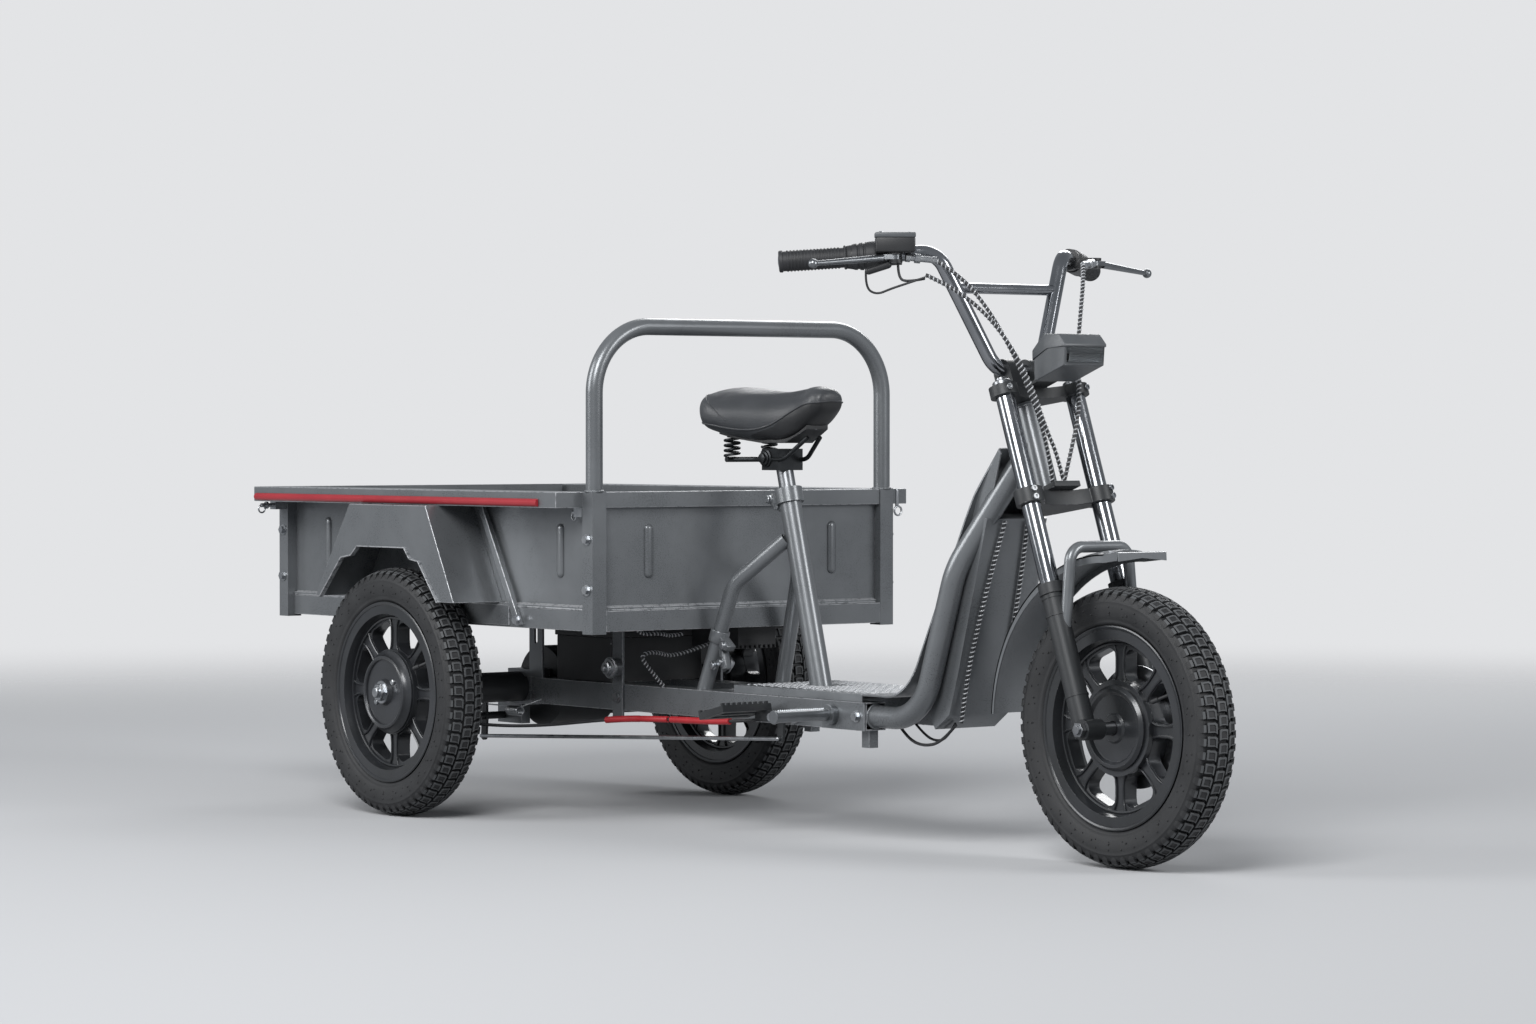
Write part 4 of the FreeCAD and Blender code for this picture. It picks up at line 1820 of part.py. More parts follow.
def fluid_reservoir():
    """The master cylinder's reservoir on the right perch, with its lid."""
    length, depth, height = RESERVOIR
    inward = bar_end_line()[1]
    along = V(inward.x, inward.y, 0).normalize()
    middle = on_bar(perch_start() + PERCH_WIDTH / 2) + bar_ahead() * (THROTTLE_BODY_R + LOOSE_FIT + depth / 2)
    base = middle + V(0, 0, PERCH_ARM_HEIGHT / 2 - PERCH_ARM_DROP + height / 2)
    body = upright_block(base - along * (length / 2), base + along * (length / 2), depth, height)
    top = base + V(0, 0, (height + RESERVOIR_LID) / 2)
    reach = along * (length / 2 + RESERVOIR_LID_LIP)
    lid = upright_block(top - reach, top + reach, depth + 2 * RESERVOIR_LID_LIP, RESERVOIR_LID)
    return [body, lid]


def switch_pod():
    """The switch housing on the left grip end, with a well for the horn button."""
    pod = bar_sleeve(housing_start(), THROTTLE_BODY, SWITCH_POD_R, BAR_R)
    well = rod(button_seat(), button_seat() + button_direction() * SWITCH_POD_R, BUTTON_R + SLIDING_FIT)
    return [mirrored(pod.cut(well))]


def button_direction():
    return bar_ahead() * -1


def button_seat():
    return on_bar(housing_start() + THROTTLE_BODY / 2) + button_direction() * (SWITCH_POD_R - BUTTON_DEPTH)


def horn_button():
    start = button_seat() + button_direction() * (BUTTON_TRAVEL + LOOSE_FIT)
    end = button_seat() + button_direction() * (BUTTON_DEPTH + BUTTON_PROUD)
    return [mirrored(rod(start, end, BUTTON_R))]


def headlight_outline():
    points = [V(x, 0, z) for x, z in from_front(HEADLIGHT_PROFILE)]
    return Part.Face(Part.makePolygon(points + points[:1]))


def headlight_solid(inset):
    face = headlight_outline().makeOffset2D(-inset) if inset else headlight_outline()
    half = HEADLIGHT_HALF_WIDTH - inset
    face.translate(V(0, -half, 0))
    return face.extrude(V(0, 2 * half, 0))


def headlight_housing():
    return [headlight_solid(0).cut(headlight_solid(HEADLIGHT_WALL))]


def headlight_lens():
    """The lens on the front face of the housing."""
    low, high = from_front(HEADLIGHT_PROFILE)[1:3]
    half = HEADLIGHT_HALF_WIDTH - HEADLIGHT_CHAMFER
    start = V(low[0], -half, low[1])
    end = V(high[0], -half, high[1])
    rise = (end - start).normalize()
    start = start + rise * HEADLIGHT_CHAMFER
    end = end - rise * HEADLIGHT_CHAMFER / 2
    forward = V(rise.z, 0, -rise.x) * HEADLIGHT_LENS
    corners = [start, end, end + forward, start + forward]
    return [Part.Face(Part.makePolygon(corners + corners[:1])).extrude(V(0, 2 * half, 0))]


def headlight_bracket():
    """A plate from the top of the upper crown to the back of the headlight."""
    half = HEADLIGHT_BRACKET_HALF
    plate = block((-CROWN_LOBE_R / 2, 2 * LEG_Y), (-half, half), (0, HEADLIGHT_BRACKET))
    plate = in_fork(plate, UPPER_CROWN_AT + UPPER_CROWN / 2, 0, 0).cut(headlight_solid(0))
    return [min(plate.Solids, key=lambda solid: solid.CenterOfMass.x)]


def control_cables():
    routes = (RIGHT_UPPER_ROUTE, RIGHT_LOWER_ROUTE, LEFT_ROUTE)
    return [cord(from_front(route), CONDUIT_R) for route in routes]


def cable_clip():
    """A clip on the lower crown where the handlebar cables end."""
    depth, width, height = CABLE_CLIP
    clip = block((-depth / 2, depth / 2), (-width / 2, width / 2), (0, height))
    return [in_fork(clip, LOWER_CROWN_AT + LOWER_CROWN / 2, 0, 0)]


def shield_conduits():
    return [cord(from_front(route), CONDUIT_R) for route in SHIELD_ROUTES]


def brake_cable_route():
    """From the pedal to the right rear brake."""
    return list(BRAKE_CABLE_RUN) + [(x, inboard - WHEEL_Y, z) for x, inboard, z in BRAKE_CABLE_END]


def brake_cable():
    return [cord(brake_cable_route(), CABLE_R)]


def cable_sleeves():
    route = brake_cable_route()
    cable = cord(route, CABLE_R)
    return [sleeve(route, first, last, SLEEVE_R).cut(cable) for first, last in SLEEVE_RUNS]


def bolt(place, outward):
    """A bolt head on its washer, standing on a surface."""
    washer = rod(place, place + outward * BOLT_WASHER, BOLT_WASHER_R)
    return washer.fuse(hexagon(place + outward * BOLT_WASHER, outward, BOLT_FLAT, BOLT_HEAD)).removeSplitter()


def fasteners():
    """Bolts on the corner posts, the struts, the end plates and the hangers."""
    outward = V(0, -1, 0)
    places = []
    for x in (BOX_FRONT_X - POST / 2, BOX_REAR_X + POST / 2):
        for share in POST_BOLT_SHARES:
            places.append(V(x, -POST_OUTER_Y, POST_BOTTOM + share * (RAIL_BOTTOM - POST_BOTTOM)))
    half = STRUT_WIDTH / 2
    places.append(V(STRUT_FOOT_X + half, -BASE_OUTER_Y - STRUT_DEPTH, STRUT_FOOT_Z + half))
    places.append(V(BEAM_FRONT_X - STAND_LUG, -BEAM_OUTER_Y - END_PLATE, BEAM_BOTTOM + BEAM_HEIGHT / 2))
    places.append(V(sum(HANGER_X) / 2, -BEAM_OUTER_Y - HANGER_PLATE, BEAM_BOTTOM + BEAM_HEIGHT / 2))
    return [twin for place in places for twin in both_sides(bolt(place, outward))]


# Nodes: the name of each piece and its solids
def wheel_nodes():
    """Tyre and wheel of each rear side, with cover and shaft, and of the front."""
    nodes = {}
    for name, side in SIDES.items():
        y = side * WHEEL_Y
        turn = mirrored if side > 0 else (lambda shape: shape)
        nodes["rear_%s_tyre" % name] = [at_wheel(tyre(), 0, y)]
        nodes["rear_%s_wheel" % name] = [at_wheel(turn(rear_wheel()), 0, y),
                                         at_wheel(turn(drum_cover()), 0, y), turn(half_shaft())]
    nodes["front_tyre"] = [at_wheel(tyre(), WHEELBASE, 0)]
    nodes["front_wheel"] = [at_wheel(cast_wheel(WHEEL_BEARING_R), WHEELBASE, 0),
                            at_wheel(hub_cover(), WHEELBASE, 0)] + wheel_bearings()
    return nodes


def sided_nodes():
    """Pieces that have a right-hand and a left-hand twin in nodes of their own."""
    pair = {"hand_lever": hand_lever(), "rear_latch_pin": rear_latch_pin()}
    nodes = {}
    for piece, shape in pair.items():
        nodes["right_" + piece] = [shape]
        nodes["left_" + piece] = [mirrored(shape)]
    return nodes


NODE_PIECES = {
    "frame_beams": (frame_beams,),
    "frame_fittings": (axle_clamps, frame_crossmembers, beam_end_plates, stand_lugs, cross_shaft_brackets),
    "down_tubes": (down_tubes,),
    "head_tube": (head_tube, headset_cups),
    "seat_tube": (seat_tube, seat_clamp, seat_braces),
    "foot_platform": (foot_platform,),
    "leg_shield": (leg_shield,),
    "leg_shield_cover": (leg_shield_cover,),
    "axle_housing": (axle_housing, axle_bearings, brake_shoes),
    "drive_motor": (drive_motor,),
    "cargo_base_frame": (cargo_base_frame,),
    "cargo_floor": (cargo_floor,),
    "box_panels": (side_panels, front_panel),
    "corner_posts": (corner_posts,),
    "guard_hoop": (guard_hoop,),
    "top_rails": (side_rails, front_rail),
    "side_strips": (side_strips,),
    "rear_mudguards": (mudguards, mudguard_braces),
    "box_hangers": (box_hangers, hanger_bushes),
    "power_pack": (battery_box, motor_controller),
    "foot_pegs": (foot_pegs,),
    "fasteners": (fasteners, latch_bodies, gate_hinges, pedal_pin),
    "brake_cable": (brake_cable,),
    "cable_sleeves": (cable_sleeves,),
    "shield_conduits": (shield_conduits,),
    "return_spring": (return_spring,),
    "tailgate": (tailgate,),
    "brake_pedal": (brake_pedal,),
    "brake_rod": (brake_rod,),
    "brake_cross_shaft": (brake_cross_shaft,),
    "seat_post": (seat_post,),
    "saddle_cushion": (saddle_cushion,),
    "saddle_base": (saddle_base,),
    "saddle_frame": (saddle_springs, saddle_rails, saddle_clamp),
    "lower_crown": (lower_crown, cable_clip),
    "upper_crown": (upper_crown, bar_clamps, headlight_bracket),
    "stanchions": (stanchions,),
    "handlebar": (handlebar, crossbar),
    "left_grip": (left_grip,),
    "bar_controls": (lever_perches, throttle_housing, fluid_reservoir, switch_pod),
    "horn_button": (horn_button,),
    "headlight_housing": (headlight_housing,),
    "headlight_lens": (headlight_lens,),
    "control_cables": (control_cables,),
    "throttle_grip": (throttle_grip,),
    "fork_sliders": (fork_sliders, fork_seals, brake_caliper),
    "front_axle": (front_axle,),
    "front_mudguard": (front_mudguard,),
    "fender_hoop": (fender_hoop,),
    "brake_disc": (brake_disc,),
}


def all_nodes():
    nodes = wheel_nodes()
    nodes.update(sided_nodes())
    for name, makers in NODE_PIECES.items():
        nodes[name] = [solid for make in makers for solid in make()]
    return nodes


def main():
    os.makedirs("parts", exist_ok=True)
    for name, solids in all_nodes().items():
        shape = Part.makeCompound(solids)
        shape.translate(V(-MIDDLE_X, 0, 0))
        if not shape.isValid() or len(shape.Solids) != len(solids):
            print("look at:", name)
        shape.exportStep("parts/%s.step" % name)


if __name__ == "__main__":
    main()
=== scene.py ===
"""Dresses the cargo tricycle: studio, finishes, tyres, wheels, saddle, cables and small fittings."""
import json
import logging
import math
from collections.abc import Sequence
from dataclasses import dataclass, replace
from enum import Enum

import bmesh
import bpy
from mathutils import Matrix, Vector
from mathutils.bvhtree import BVHTree

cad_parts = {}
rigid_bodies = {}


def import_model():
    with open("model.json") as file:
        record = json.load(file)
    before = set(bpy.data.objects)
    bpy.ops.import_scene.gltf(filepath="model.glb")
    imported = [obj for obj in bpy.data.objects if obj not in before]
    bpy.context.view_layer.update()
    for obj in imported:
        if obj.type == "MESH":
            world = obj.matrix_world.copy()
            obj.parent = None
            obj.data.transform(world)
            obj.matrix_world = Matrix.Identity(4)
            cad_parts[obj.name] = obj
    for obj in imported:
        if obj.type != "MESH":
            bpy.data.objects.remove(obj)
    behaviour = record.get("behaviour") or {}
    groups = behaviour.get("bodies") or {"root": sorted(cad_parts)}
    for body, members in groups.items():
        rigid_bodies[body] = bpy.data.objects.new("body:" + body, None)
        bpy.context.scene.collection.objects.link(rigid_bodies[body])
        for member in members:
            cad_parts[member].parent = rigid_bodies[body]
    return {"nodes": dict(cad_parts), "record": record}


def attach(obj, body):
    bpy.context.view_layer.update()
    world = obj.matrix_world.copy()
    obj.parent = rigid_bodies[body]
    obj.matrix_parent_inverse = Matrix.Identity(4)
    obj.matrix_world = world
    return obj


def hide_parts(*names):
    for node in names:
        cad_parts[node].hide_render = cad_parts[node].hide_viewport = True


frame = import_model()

Outline = Sequence[tuple[float, float]]
Route = tuple[tuple[float, float, float], ...]

LOG = logging.getLogger("tricycle")
MM = 0.001
# How far the middle of the object, where the row frame starts, lies ahead of the rear axle
MIDDLE_X = 642.55
AXLE_Z = 227.5
WHEELBASE = 1548.0
HALF_TRACK = 378.0
# The fork legs lean back by this angle, and their line passes this far behind the axle
FORK_RAKE = math.radians(20)
FORK_OFFSET = 13
LEG_Y = 77
# Points nearer than these, in metres, are one: in a copy of a solid, and at the pole of a turned part
SOLID_MERGE = 2e-6
POLE_MERGE = 1e-6
# Edges sharper than this, in degrees, stay sharp in smooth shading
SHARP = 32.0
ORIGIN = Vector()
FORWARD = Vector((1, 0, 0))
ACROSS = Vector((0, 1, 0))
UP = Vector((0, 0, 1))
SIDES = (-1, 1)


def place(x: float, y: float, z: float) -> Vector:
    """Turns a point in millimetres, measured from under the rear axle, into metres of the row frame.

    Args:
        x: distance ahead of the rear axle.
        y: distance to the left of the middle.
        z: height above the ground.

    Returns:
        The point in the row frame.
    """
    return Vector(((x - MIDDLE_X) * MM, y * MM, z * MM))


def linear(code: str) -> tuple[float, float, float, float]:
    """Turns an sRGB hex colour into linear RGBA, by the standard's own curve.

    Args:
        code: six hex digits after a hash sign.

    Returns:
        Linear red, green, blue and an alpha of one.
    """
    shares = [int(code[start:start + 2], 16) / 255 for start in (1, 3, 5)]
    red, green, blue = [c / 12.92 if c <= 0.04045 else ((c + 0.055) / 1.055) ** 2.4 for c in shares]
    return (red, green, blue, 1.0)


def add_node(tree: bpy.types.NodeTree, kind: str, inputs: dict | None = None, out: int | str = 0,
             **settings) -> bpy.types.NodeSocket | None:
    """Adds a node with its settings, values and links.

    Args:
        tree: the tree that gets the node.
        kind: Blender's name for the kind of node.
        inputs: values or sockets for the node's inputs, by name or number.
        out: the output that is wanted, by name or number.
        settings: the node's own properties.

    Returns:
        That output, or nothing for a node without any.
    """
    made = tree.nodes.new(kind)
    for name, value in settings.items():
        setattr(made, name, value)
    for key, value in (inputs or {}).items():
        if isinstance(value, bpy.types.NodeSocket):
            tree.links.new(value, made.inputs[key])
        else:
            made.inputs[key].default_value = value
    return made.outputs[out] if len(made.outputs) else None


class Skin(Enum):
    """How the surface of a material was made."""

    SPRAYED = "sprayed and stoved"
    CAST = "cast in sand and blackened"
    MOULDED = "moulded in a spark-eroded tool"
    DRAWN = "drawn or rolled"
    PRESSED = "pressed with a hide pattern"


@dataclass(frozen=True)
class Finish:
    """One real surface, as colours, gloss and texture sizes in millimetres."""

    name: str
    colour: str
    second: str
    skin: Skin
    grain_mm: float
    relief_mm: float
    rough: tuple[float, float]
    metallic: float = 0.0
    patch_mm: float = 140.0
    coat: float = 0.0
    ior: float = 1.5
    # Lighter broken patches, used on rounded edges only: partly wear, partly painted highlight
    wear_and_highlight: str | None = None
    wear_and_highlight_share: float = 0.0
    wear_and_highlight_mm: float = 9.0
    clear: float = 0.0
    # Colour and share of the pale edge patches: partly wear, partly painted highlight
    edge_wear_and_highlight: tuple[str, float] = ("#8F9194", 0.35)

    def material(self) -> bpy.types.Material:
        """Makes the material on its first use.

        Returns:
            The material, the same one on each call.
        """
        found = bpy.data.materials.get(self.name)
        if found is not None:
            return found
        made = bpy.data.materials.new(self.name)
        made.use_nodes = True
        tree = made.node_tree
        shader = tree.nodes["Principled BSDF"]
        coords = add_node(tree, "ShaderNodeTexCoord", out="Object")
        patch = add_node(tree, "ShaderNodeTexNoise", {"Vector": coords, "Scale": 1 / (self.patch_mm * MM),
                                                      "Detail": 4.0, "Roughness": 0.6}, "Fac")
        grain = self.grain(tree, coords)
        share = add_node(tree, "ShaderNodeMapRange", {"Value": patch, "From Min": 0.35, "From Max": 0.65})
        tones = {0: share, 6: linear(self.colour), 7: linear(self.second)}
        colour = add_node(tree, "ShaderNodeMix", tones, 2, data_type="RGBA")
        if self.wear_and_highlight:
            colour = self.wear_and_highlight_colour(tree, coords, colour)
        both = add_node(tree, "ShaderNodeMath", {0: patch, 1: grain}, operation="ADD")
        rough = add_node(tree, "ShaderNodeMapRange", {"Value": both, "From Min": 0.6, "From Max": 1.4,
                                                      "To Min": self.rough[0], "To Max": self.rough[1]})
        relief = {"Height": grain, "Distance": self.relief_mm * MM, "Strength": 0.7}
        bump = add_node(tree, "ShaderNodeBump", relief, "Normal")
        for socket, value in (("Base Color", colour), ("Roughness", rough), ("Normal", bump)):
            tree.links.new(value, shader.inputs[socket])
        plain = {"Metallic": self.metallic, "Coat Weight": self.coat, "Coat Roughness": 0.18,
                 "Transmission Weight": self.clear}
        if self.metallic < 1:
            plain["IOR"] = self.ior
        for socket, value in plain.items():
            shader.inputs[socket].default_value = value
        return made

    def grain(self, tree: bpy.types.NodeTree, coords: bpy.types.NodeSocket) -> bpy.types.NodeSocket:
        """Adds the fine relief of the surface.

        Args:
            tree: the material's tree.
            coords: object coordinates.

        Returns:
            The height of the relief.
        """
        scale = 1 / (self.grain_mm * MM)
        if self.skin is Skin.PRESSED:
            cells = add_node(tree, "ShaderNodeTexVoronoi", {"Vector": coords, "Scale": scale}, "Distance",
                             feature="DISTANCE_TO_EDGE")
            return add_node(tree, "ShaderNodeMapRange", {"Value": cells, "From Max": 0.18},
                            interpolation_type="SMOOTHSTEP")
        if self.skin is Skin.DRAWN:
            coords = add_node(tree, "ShaderNodeMapping", {"Vector": coords, "Scale": (0.06, 1.0, 0.6)})
        detail = {Skin.SPRAYED: 1.0, Skin.CAST: 5.0, Skin.MOULDED: 2.0, Skin.DRAWN: 3.0}[self.skin]
        return add_node(tree, "ShaderNodeTexNoise", {"Vector": coords, "Scale": scale, "Detail": detail},
                        "Fac")

    def wear_and_highlight_colour(self, tree: bpy.types.NodeTree, coords: bpy.types.NodeSocket,
                    colour: bpy.types.NodeSocket) -> bpy.types.NodeSocket:
        """Adds broken lighter patches: partly where the surface is rubbed, partly painted highlight.

        Args:
            tree: the material's tree.
            coords: object coordinates.
            colour: the colour of the sound surface.

        Returns:
            The colour with the lighter patches.
        """
        spots = add_node(tree, "ShaderNodeTexNoise", {"Vector": coords, "Scale": 1 / (self.wear_and_highlight_mm * MM),
                                                      "Detail": 6.0, "Roughness": 0.7}, "Fac")
        edge = 0.72 - 0.4 * self.wear_and_highlight_share
        limits = {"Value": spots, "From Min": edge, "From Max": edge + 0.08}
        mask = add_node(tree, "ShaderNodeMapRange", limits, interpolation_type="SMOOTHSTEP")
        tones = {0: mask, 6: colour, 7: linear(self.wear_and_highlight)}
        return add_node(tree, "ShaderNodeMix", tones, 2, data_type="RGBA")

    def edge(self) -> "Finish":
        """The same surface on a rounded edge, lighter in patches: partly where handling has thinned it,
        partly painted highlight.
        """
        return replace(self, name=self.name + "_edge", wear_and_highlight=self.edge_wear_and_highlight[0], wear_and_highlight_share=self.edge_wear_and_highlight[1])


# Satin two-coat paint with fine metal flake: soft broad highlights and a faint orange peel. Its rounded edges
# are pale in broken patches, partly rubbed wear and partly painted highlight on the folds
GREY_PAINT = Finish("gunmetal_stoved_paint", "#6C6F72", "#75787B", Skin.SPRAYED, 1.6, 0.05, (0.24, 0.36),
                    0.45, coat=0.2, edge_wear_and_highlight=("#A9ABAE", 0.8))
# Charcoal powder coat on castings and forgings: duller and slightly pebbled
DARK_PAINT = Finish("charcoal_powder_coat", "#2A2C2E", "#313335", Skin.SPRAYED, 1.1, 0.09, (0.36, 0.52), 0.2)
# Blackened aluminium casting: sand skin, soft sheen
CASTING = Finish("black_cast_aluminium", "#2A2C2E", "#34363A", Skin.CAST, 2.2, 0.10, (0.26, 0.40), 0.4,
                 coat=0.5)
# Vulcanised tyre rubber: dull, a little dusty in patches
TYRE = Finish("vulcanised_tyre_rubber", "#1E1F21", "#292A2C", Skin.MOULDED, 1.4, 0.12, (0.52, 0.70), 0.0,
              45.0)
# The same rubber, paler on the tops of the tread blocks: partly scuffing by the road, partly painted
# highlight
SCUFFED_AND_LIT = Finish("scuffed_and_lit_tread_rubber", "#454749", "#505254", Skin.MOULDED, 1.0, 0.10, (0.55, 0.72), 0.0,
                 20.0)
# Spiral binding on hoses, painted pale grey so that each turn shows a bright dot: painted highlight
PALE_LIT_BINDING = Finish("pale_lit_spiral_binding", "#A6A8AB", "#B4B6B9", Skin.MOULDED, 1.5, 0.02, (0.14, 0.24), 0.2,
                 30.0)
# Bead-blasted aluminium pegs with a dark clear coat
PEG_METAL = Finish("dark_blasted_aluminium", "#74777A", "#7F8285", Skin.CAST, 0.9, 0.05, (0.28, 0.40), 0.8,
                   60.0)
# Soft moulded rubber of grips, pegs and hoses
RUBBER = Finish("moulded_black_rubber", "#232426", "#2B2C2F", Skin.MOULDED, 0.9, 0.08, (0.48, 0.64), 0.0,
                30.0)
# Textured polypropylene and nylon mouldings
PLASTIC = Finish("black_textured_nylon", "#1F2022", "#28292B", Skin.MOULDED, 0.8, 0.06, (0.36, 0.50), 0.0,
                 60.0)
# Grey ABS shell of the headlight with a fine spark-eroded texture
LAMP_SHELL = Finish("grey_abs_shell", "#4E5154", "#56595C", Skin.MOULDED, 0.7, 0.05, (0.34, 0.46), 0.1, 60.0)
# Satin chrome plate on drawn tube: clear, slightly dark reflections
CHROME = Finish("dark_chrome_plate", "#8C8F93", "#9A9CA0", Skin.DRAWN, 2.0, 0.01, (0.10, 0.20), 1.0, 90.0)
# Tumbled aluminium of the hand levers
LEVER_ALLOY = Finish("tumbled_aluminium", "#7E8184", "#8B8E91", Skin.CAST, 1.4, 0.03, (0.24, 0.36), 1.0, 40.0)
# Bare turned steel: fine lines and a grey shine
STEEL = Finish("turned_steel", "#77797C", "#8A8C8F", Skin.DRAWN, 0.8, 0.03, (0.26, 0.40), 1.0, 40.0)
# Blackened spring steel of the saddle's rails, springs and clamp
BLACKED = Finish("blackened_spring_steel", "#2E3032", "#383A3C", Skin.DRAWN, 1.0, 0.03, (0.24, 0.38), 0.8,
                 30.0)
# Bright zinc plate on fasteners: pale, slightly milky
ZINC = Finish("bright_zinc_plate", "#A5A8AC", "#B8BABC", Skin.MOULDED, 1.2, 0.03, (0.24, 0.38), 1.0, 20.0)
# Black leatherette: pressed hide cells under a soft sheen
LEATHERETTE = Finish("black_leatherette", "#37393C", "#404245", Skin.PRESSED, 3.2, 0.12, (0.30, 0.44), 0.0,
                     70.0)
# Clear polycarbonate lens
LENS = Finish("clear_polycarbonate", "#E8EEF2", "#EEF2F4", Skin.MOULDED, 6.0, 0.01, (0.03, 0.07), 0.0,
              ior=1.58, clear=1.0)
# Red extruded vinyl trim
RED_TRIM = Finish("red_vinyl_trim", "#93202A", "#9D2830", Skin.MOULDED, 2.0, 0.04, (0.30, 0.42), 0.0, 80.0)
# Red plastic sleeve on the brake cable, dull
RED_SLEEVE = Finish("red_pvc_sleeve", "#A01E26", "#AE2930", Skin.MOULDED, 1.2, 0.06, (0.40, 0.55), 0.0, 40.0)
# Rolled chequer plate, paler than its own grey to stand for the highlights scattered over its tread (painted
# highlight); its raised marks are paler still
PLATE = Finish("rolled_chequer_plate", "#84878A", "#929598", Skin.DRAWN, 1.4, 0.05, (0.24, 0.38), 0.75, 60.0)
# The tops of the plate's raised marks, paler again: partly rubbed by shoes, partly painted highlight
RUBBED_AND_LIT_MARKS = Finish("rubbed_and_lit_plate_marks", "#9C9EA1", "#AAACAF", Skin.DRAWN, 1.0, 0.03, (0.28, 0.40), 0.3,
                      30.0)

FINISHES = {"grey_paint": GREY_PAINT, "dark_paint": DARK_PAINT, "black_casting": CASTING, "tyre_rubber": TYRE,
            "black_rubber": RUBBER, "black_plastic": PLASTIC, "dark_chrome": CHROME, "plain_steel": STEEL,
            "zinc_plate": ZINC, "saddle_skin": LEATHERETTE, "lens": LENS, "red_strip": RED_TRIM,
            "red_sleeve": RED_SLEEVE, "tread_plate": PLATE}
# Solids that look unlike the rest of their slot. The brake rod gets pale zinc in place of its steel: painted
# light, so that it reads bright in the shade under the frame
NODE_FINISH = {"headlight_housing": LAMP_SHELL, "foot_pegs": PEG_METAL, "right_hand_lever": LEVER_ALLOY,
               "left_hand_lever": LEVER_ALLOY, "saddle_frame": BLACKED, "brake_rod": ZINC,
               "brake_pedal": DARK_PAINT, "seat_post": STEEL}
NODE_SLOT = {part["node"]: part["material_slot"] for part in frame["record"]["subparts"]}
NODE_BODY = {node: body for body, nodes in frame["record"]["behaviour"]["bodies"].items() for node in nodes}


def linked(name: str, data: bpy.types.ID) -> bpy.types.Object:
    """Makes an object of some data and links it into the scene.

    Args:
        name: the object's name.
        data: its mesh, curve, camera or lamp.

    Returns:
        The object.
    """
    made = bpy.data.objects.new(name, data)
    bpy.context.scene.collection.objects.link(made)
    return made


def new_object(name: str, mesh: bpy.types.Mesh, finish: Finish) -> bpy.types.Object:
    """Links a mesh into the scene with one finish.

    Args:
        name: the piece's name.
        mesh: its mesh, already in place.
        finish: the surface that it gets.

    Returns:
        The new object.
    """
    mesh.name = name
    mesh.materials.clear()
    mesh.materials.append(finish.material())
    return linked(name, mesh)


def fit(piece: bpy.types.Object, body: str, slot: str, *nodes: str) -> bpy.types.Object:
    """Puts a finished piece on its body and hides the solids that it stands for.

    Args:
        piece: the finished piece.
        body: the body that it rides on.
        slot: the record's material slot; not used.
        nodes: the solids that it replaces.

    Returns:
        The same piece.
    """
    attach(piece, body)
    if nodes:
        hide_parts(*nodes)
    LOG.info("%s on %s", piece.name, body)
    return piece


def evaluated(piece: bpy.types.Object) -> bpy.types.Mesh:
    """Gives a piece's mesh with its modifiers applied."""
    bpy.context.view_layer.update()
    return bpy.data.meshes.new_from_object(piece.evaluated_get(bpy.context.evaluated_depsgraph_get()))


def baked(piece: bpy.types.Object) -> bpy.types.Mesh:
    """Applies a piece's modifiers and takes them off.

    Args:
        piece: the piece.

    Returns:
        A mesh with the modifiers applied.
    """
    mesh = evaluated(piece)
    piece.modifiers.clear()
    return mesh


def smooth(mesh: bpy.types.Mesh, degrees: float = SHARP) -> bpy.types.Mesh:
    """Shades a mesh smoothly, apart from edges sharper than an angle.

    Args:
        mesh: the mesh.
        degrees: the angle.

    Returns:
        The same mesh.
    """
    mesh.shade_smooth()
    mesh.set_sharp_from_angle(angle=math.radians(degrees))
    return mesh


def from_bmesh(shape: bmesh.types.BMesh, recalculate: bool = True) -> bpy.types.Mesh:
    """Turns a bmesh into a mesh.

    Args:
        shape: the bmesh, which is freed.
        recalculate: whether its faces are turned outwards first.

    Returns:
        The mesh.
    """
    if recalculate:
        bmesh.ops.recalc_face_normals(shape, faces=shape.faces)
    mesh = bpy.data.meshes.new("part")
    shape.to_mesh(mesh)
    shape.free()
    return mesh


def solid_copy(node: str) -> bmesh.types.BMesh:
    """Copies a solid's mesh and merges its loose triangles.

    Args:
        node: the solid's name.

    Returns:
        The copy, as a bmesh.
    """
    shape = bmesh.new()
    shape.from_mesh(frame["nodes"][node].data)
    bmesh.ops.remove_doubles(shape, verts=shape.verts, dist=SOLID_MERGE)
    return shape


def bridge(shape: bmesh.types.BMesh, rings: list[list[bmesh.types.BMVert]], caps: bool = True) -> None:
    """Joins a row of rings with faces.

    Args:
        shape: the bmesh that gets the faces.
        rings: the rings, all of one length.
        caps: whether the first and the last ring are closed.
    """
    for ring, after in zip(rings, rings[1:]):
        for index in range(len(ring)):
            follow = (index + 1) % len(ring)
            shape.faces.new((ring[index], ring[follow], after[follow], after[index]))
    if caps:
        shape.faces.new(rings[-1])
        shape.faces.new(rings[0][::-1])


def polar(radius: float, turn: float, y: float) -> tuple[float, float, float]:
    """A point about the Y axis in metres, from a radius and a place along it in millimetres, and an angle."""
    return (radius * math.sin(turn) * MM, y * MM, radius * math.cos(turn) * MM)


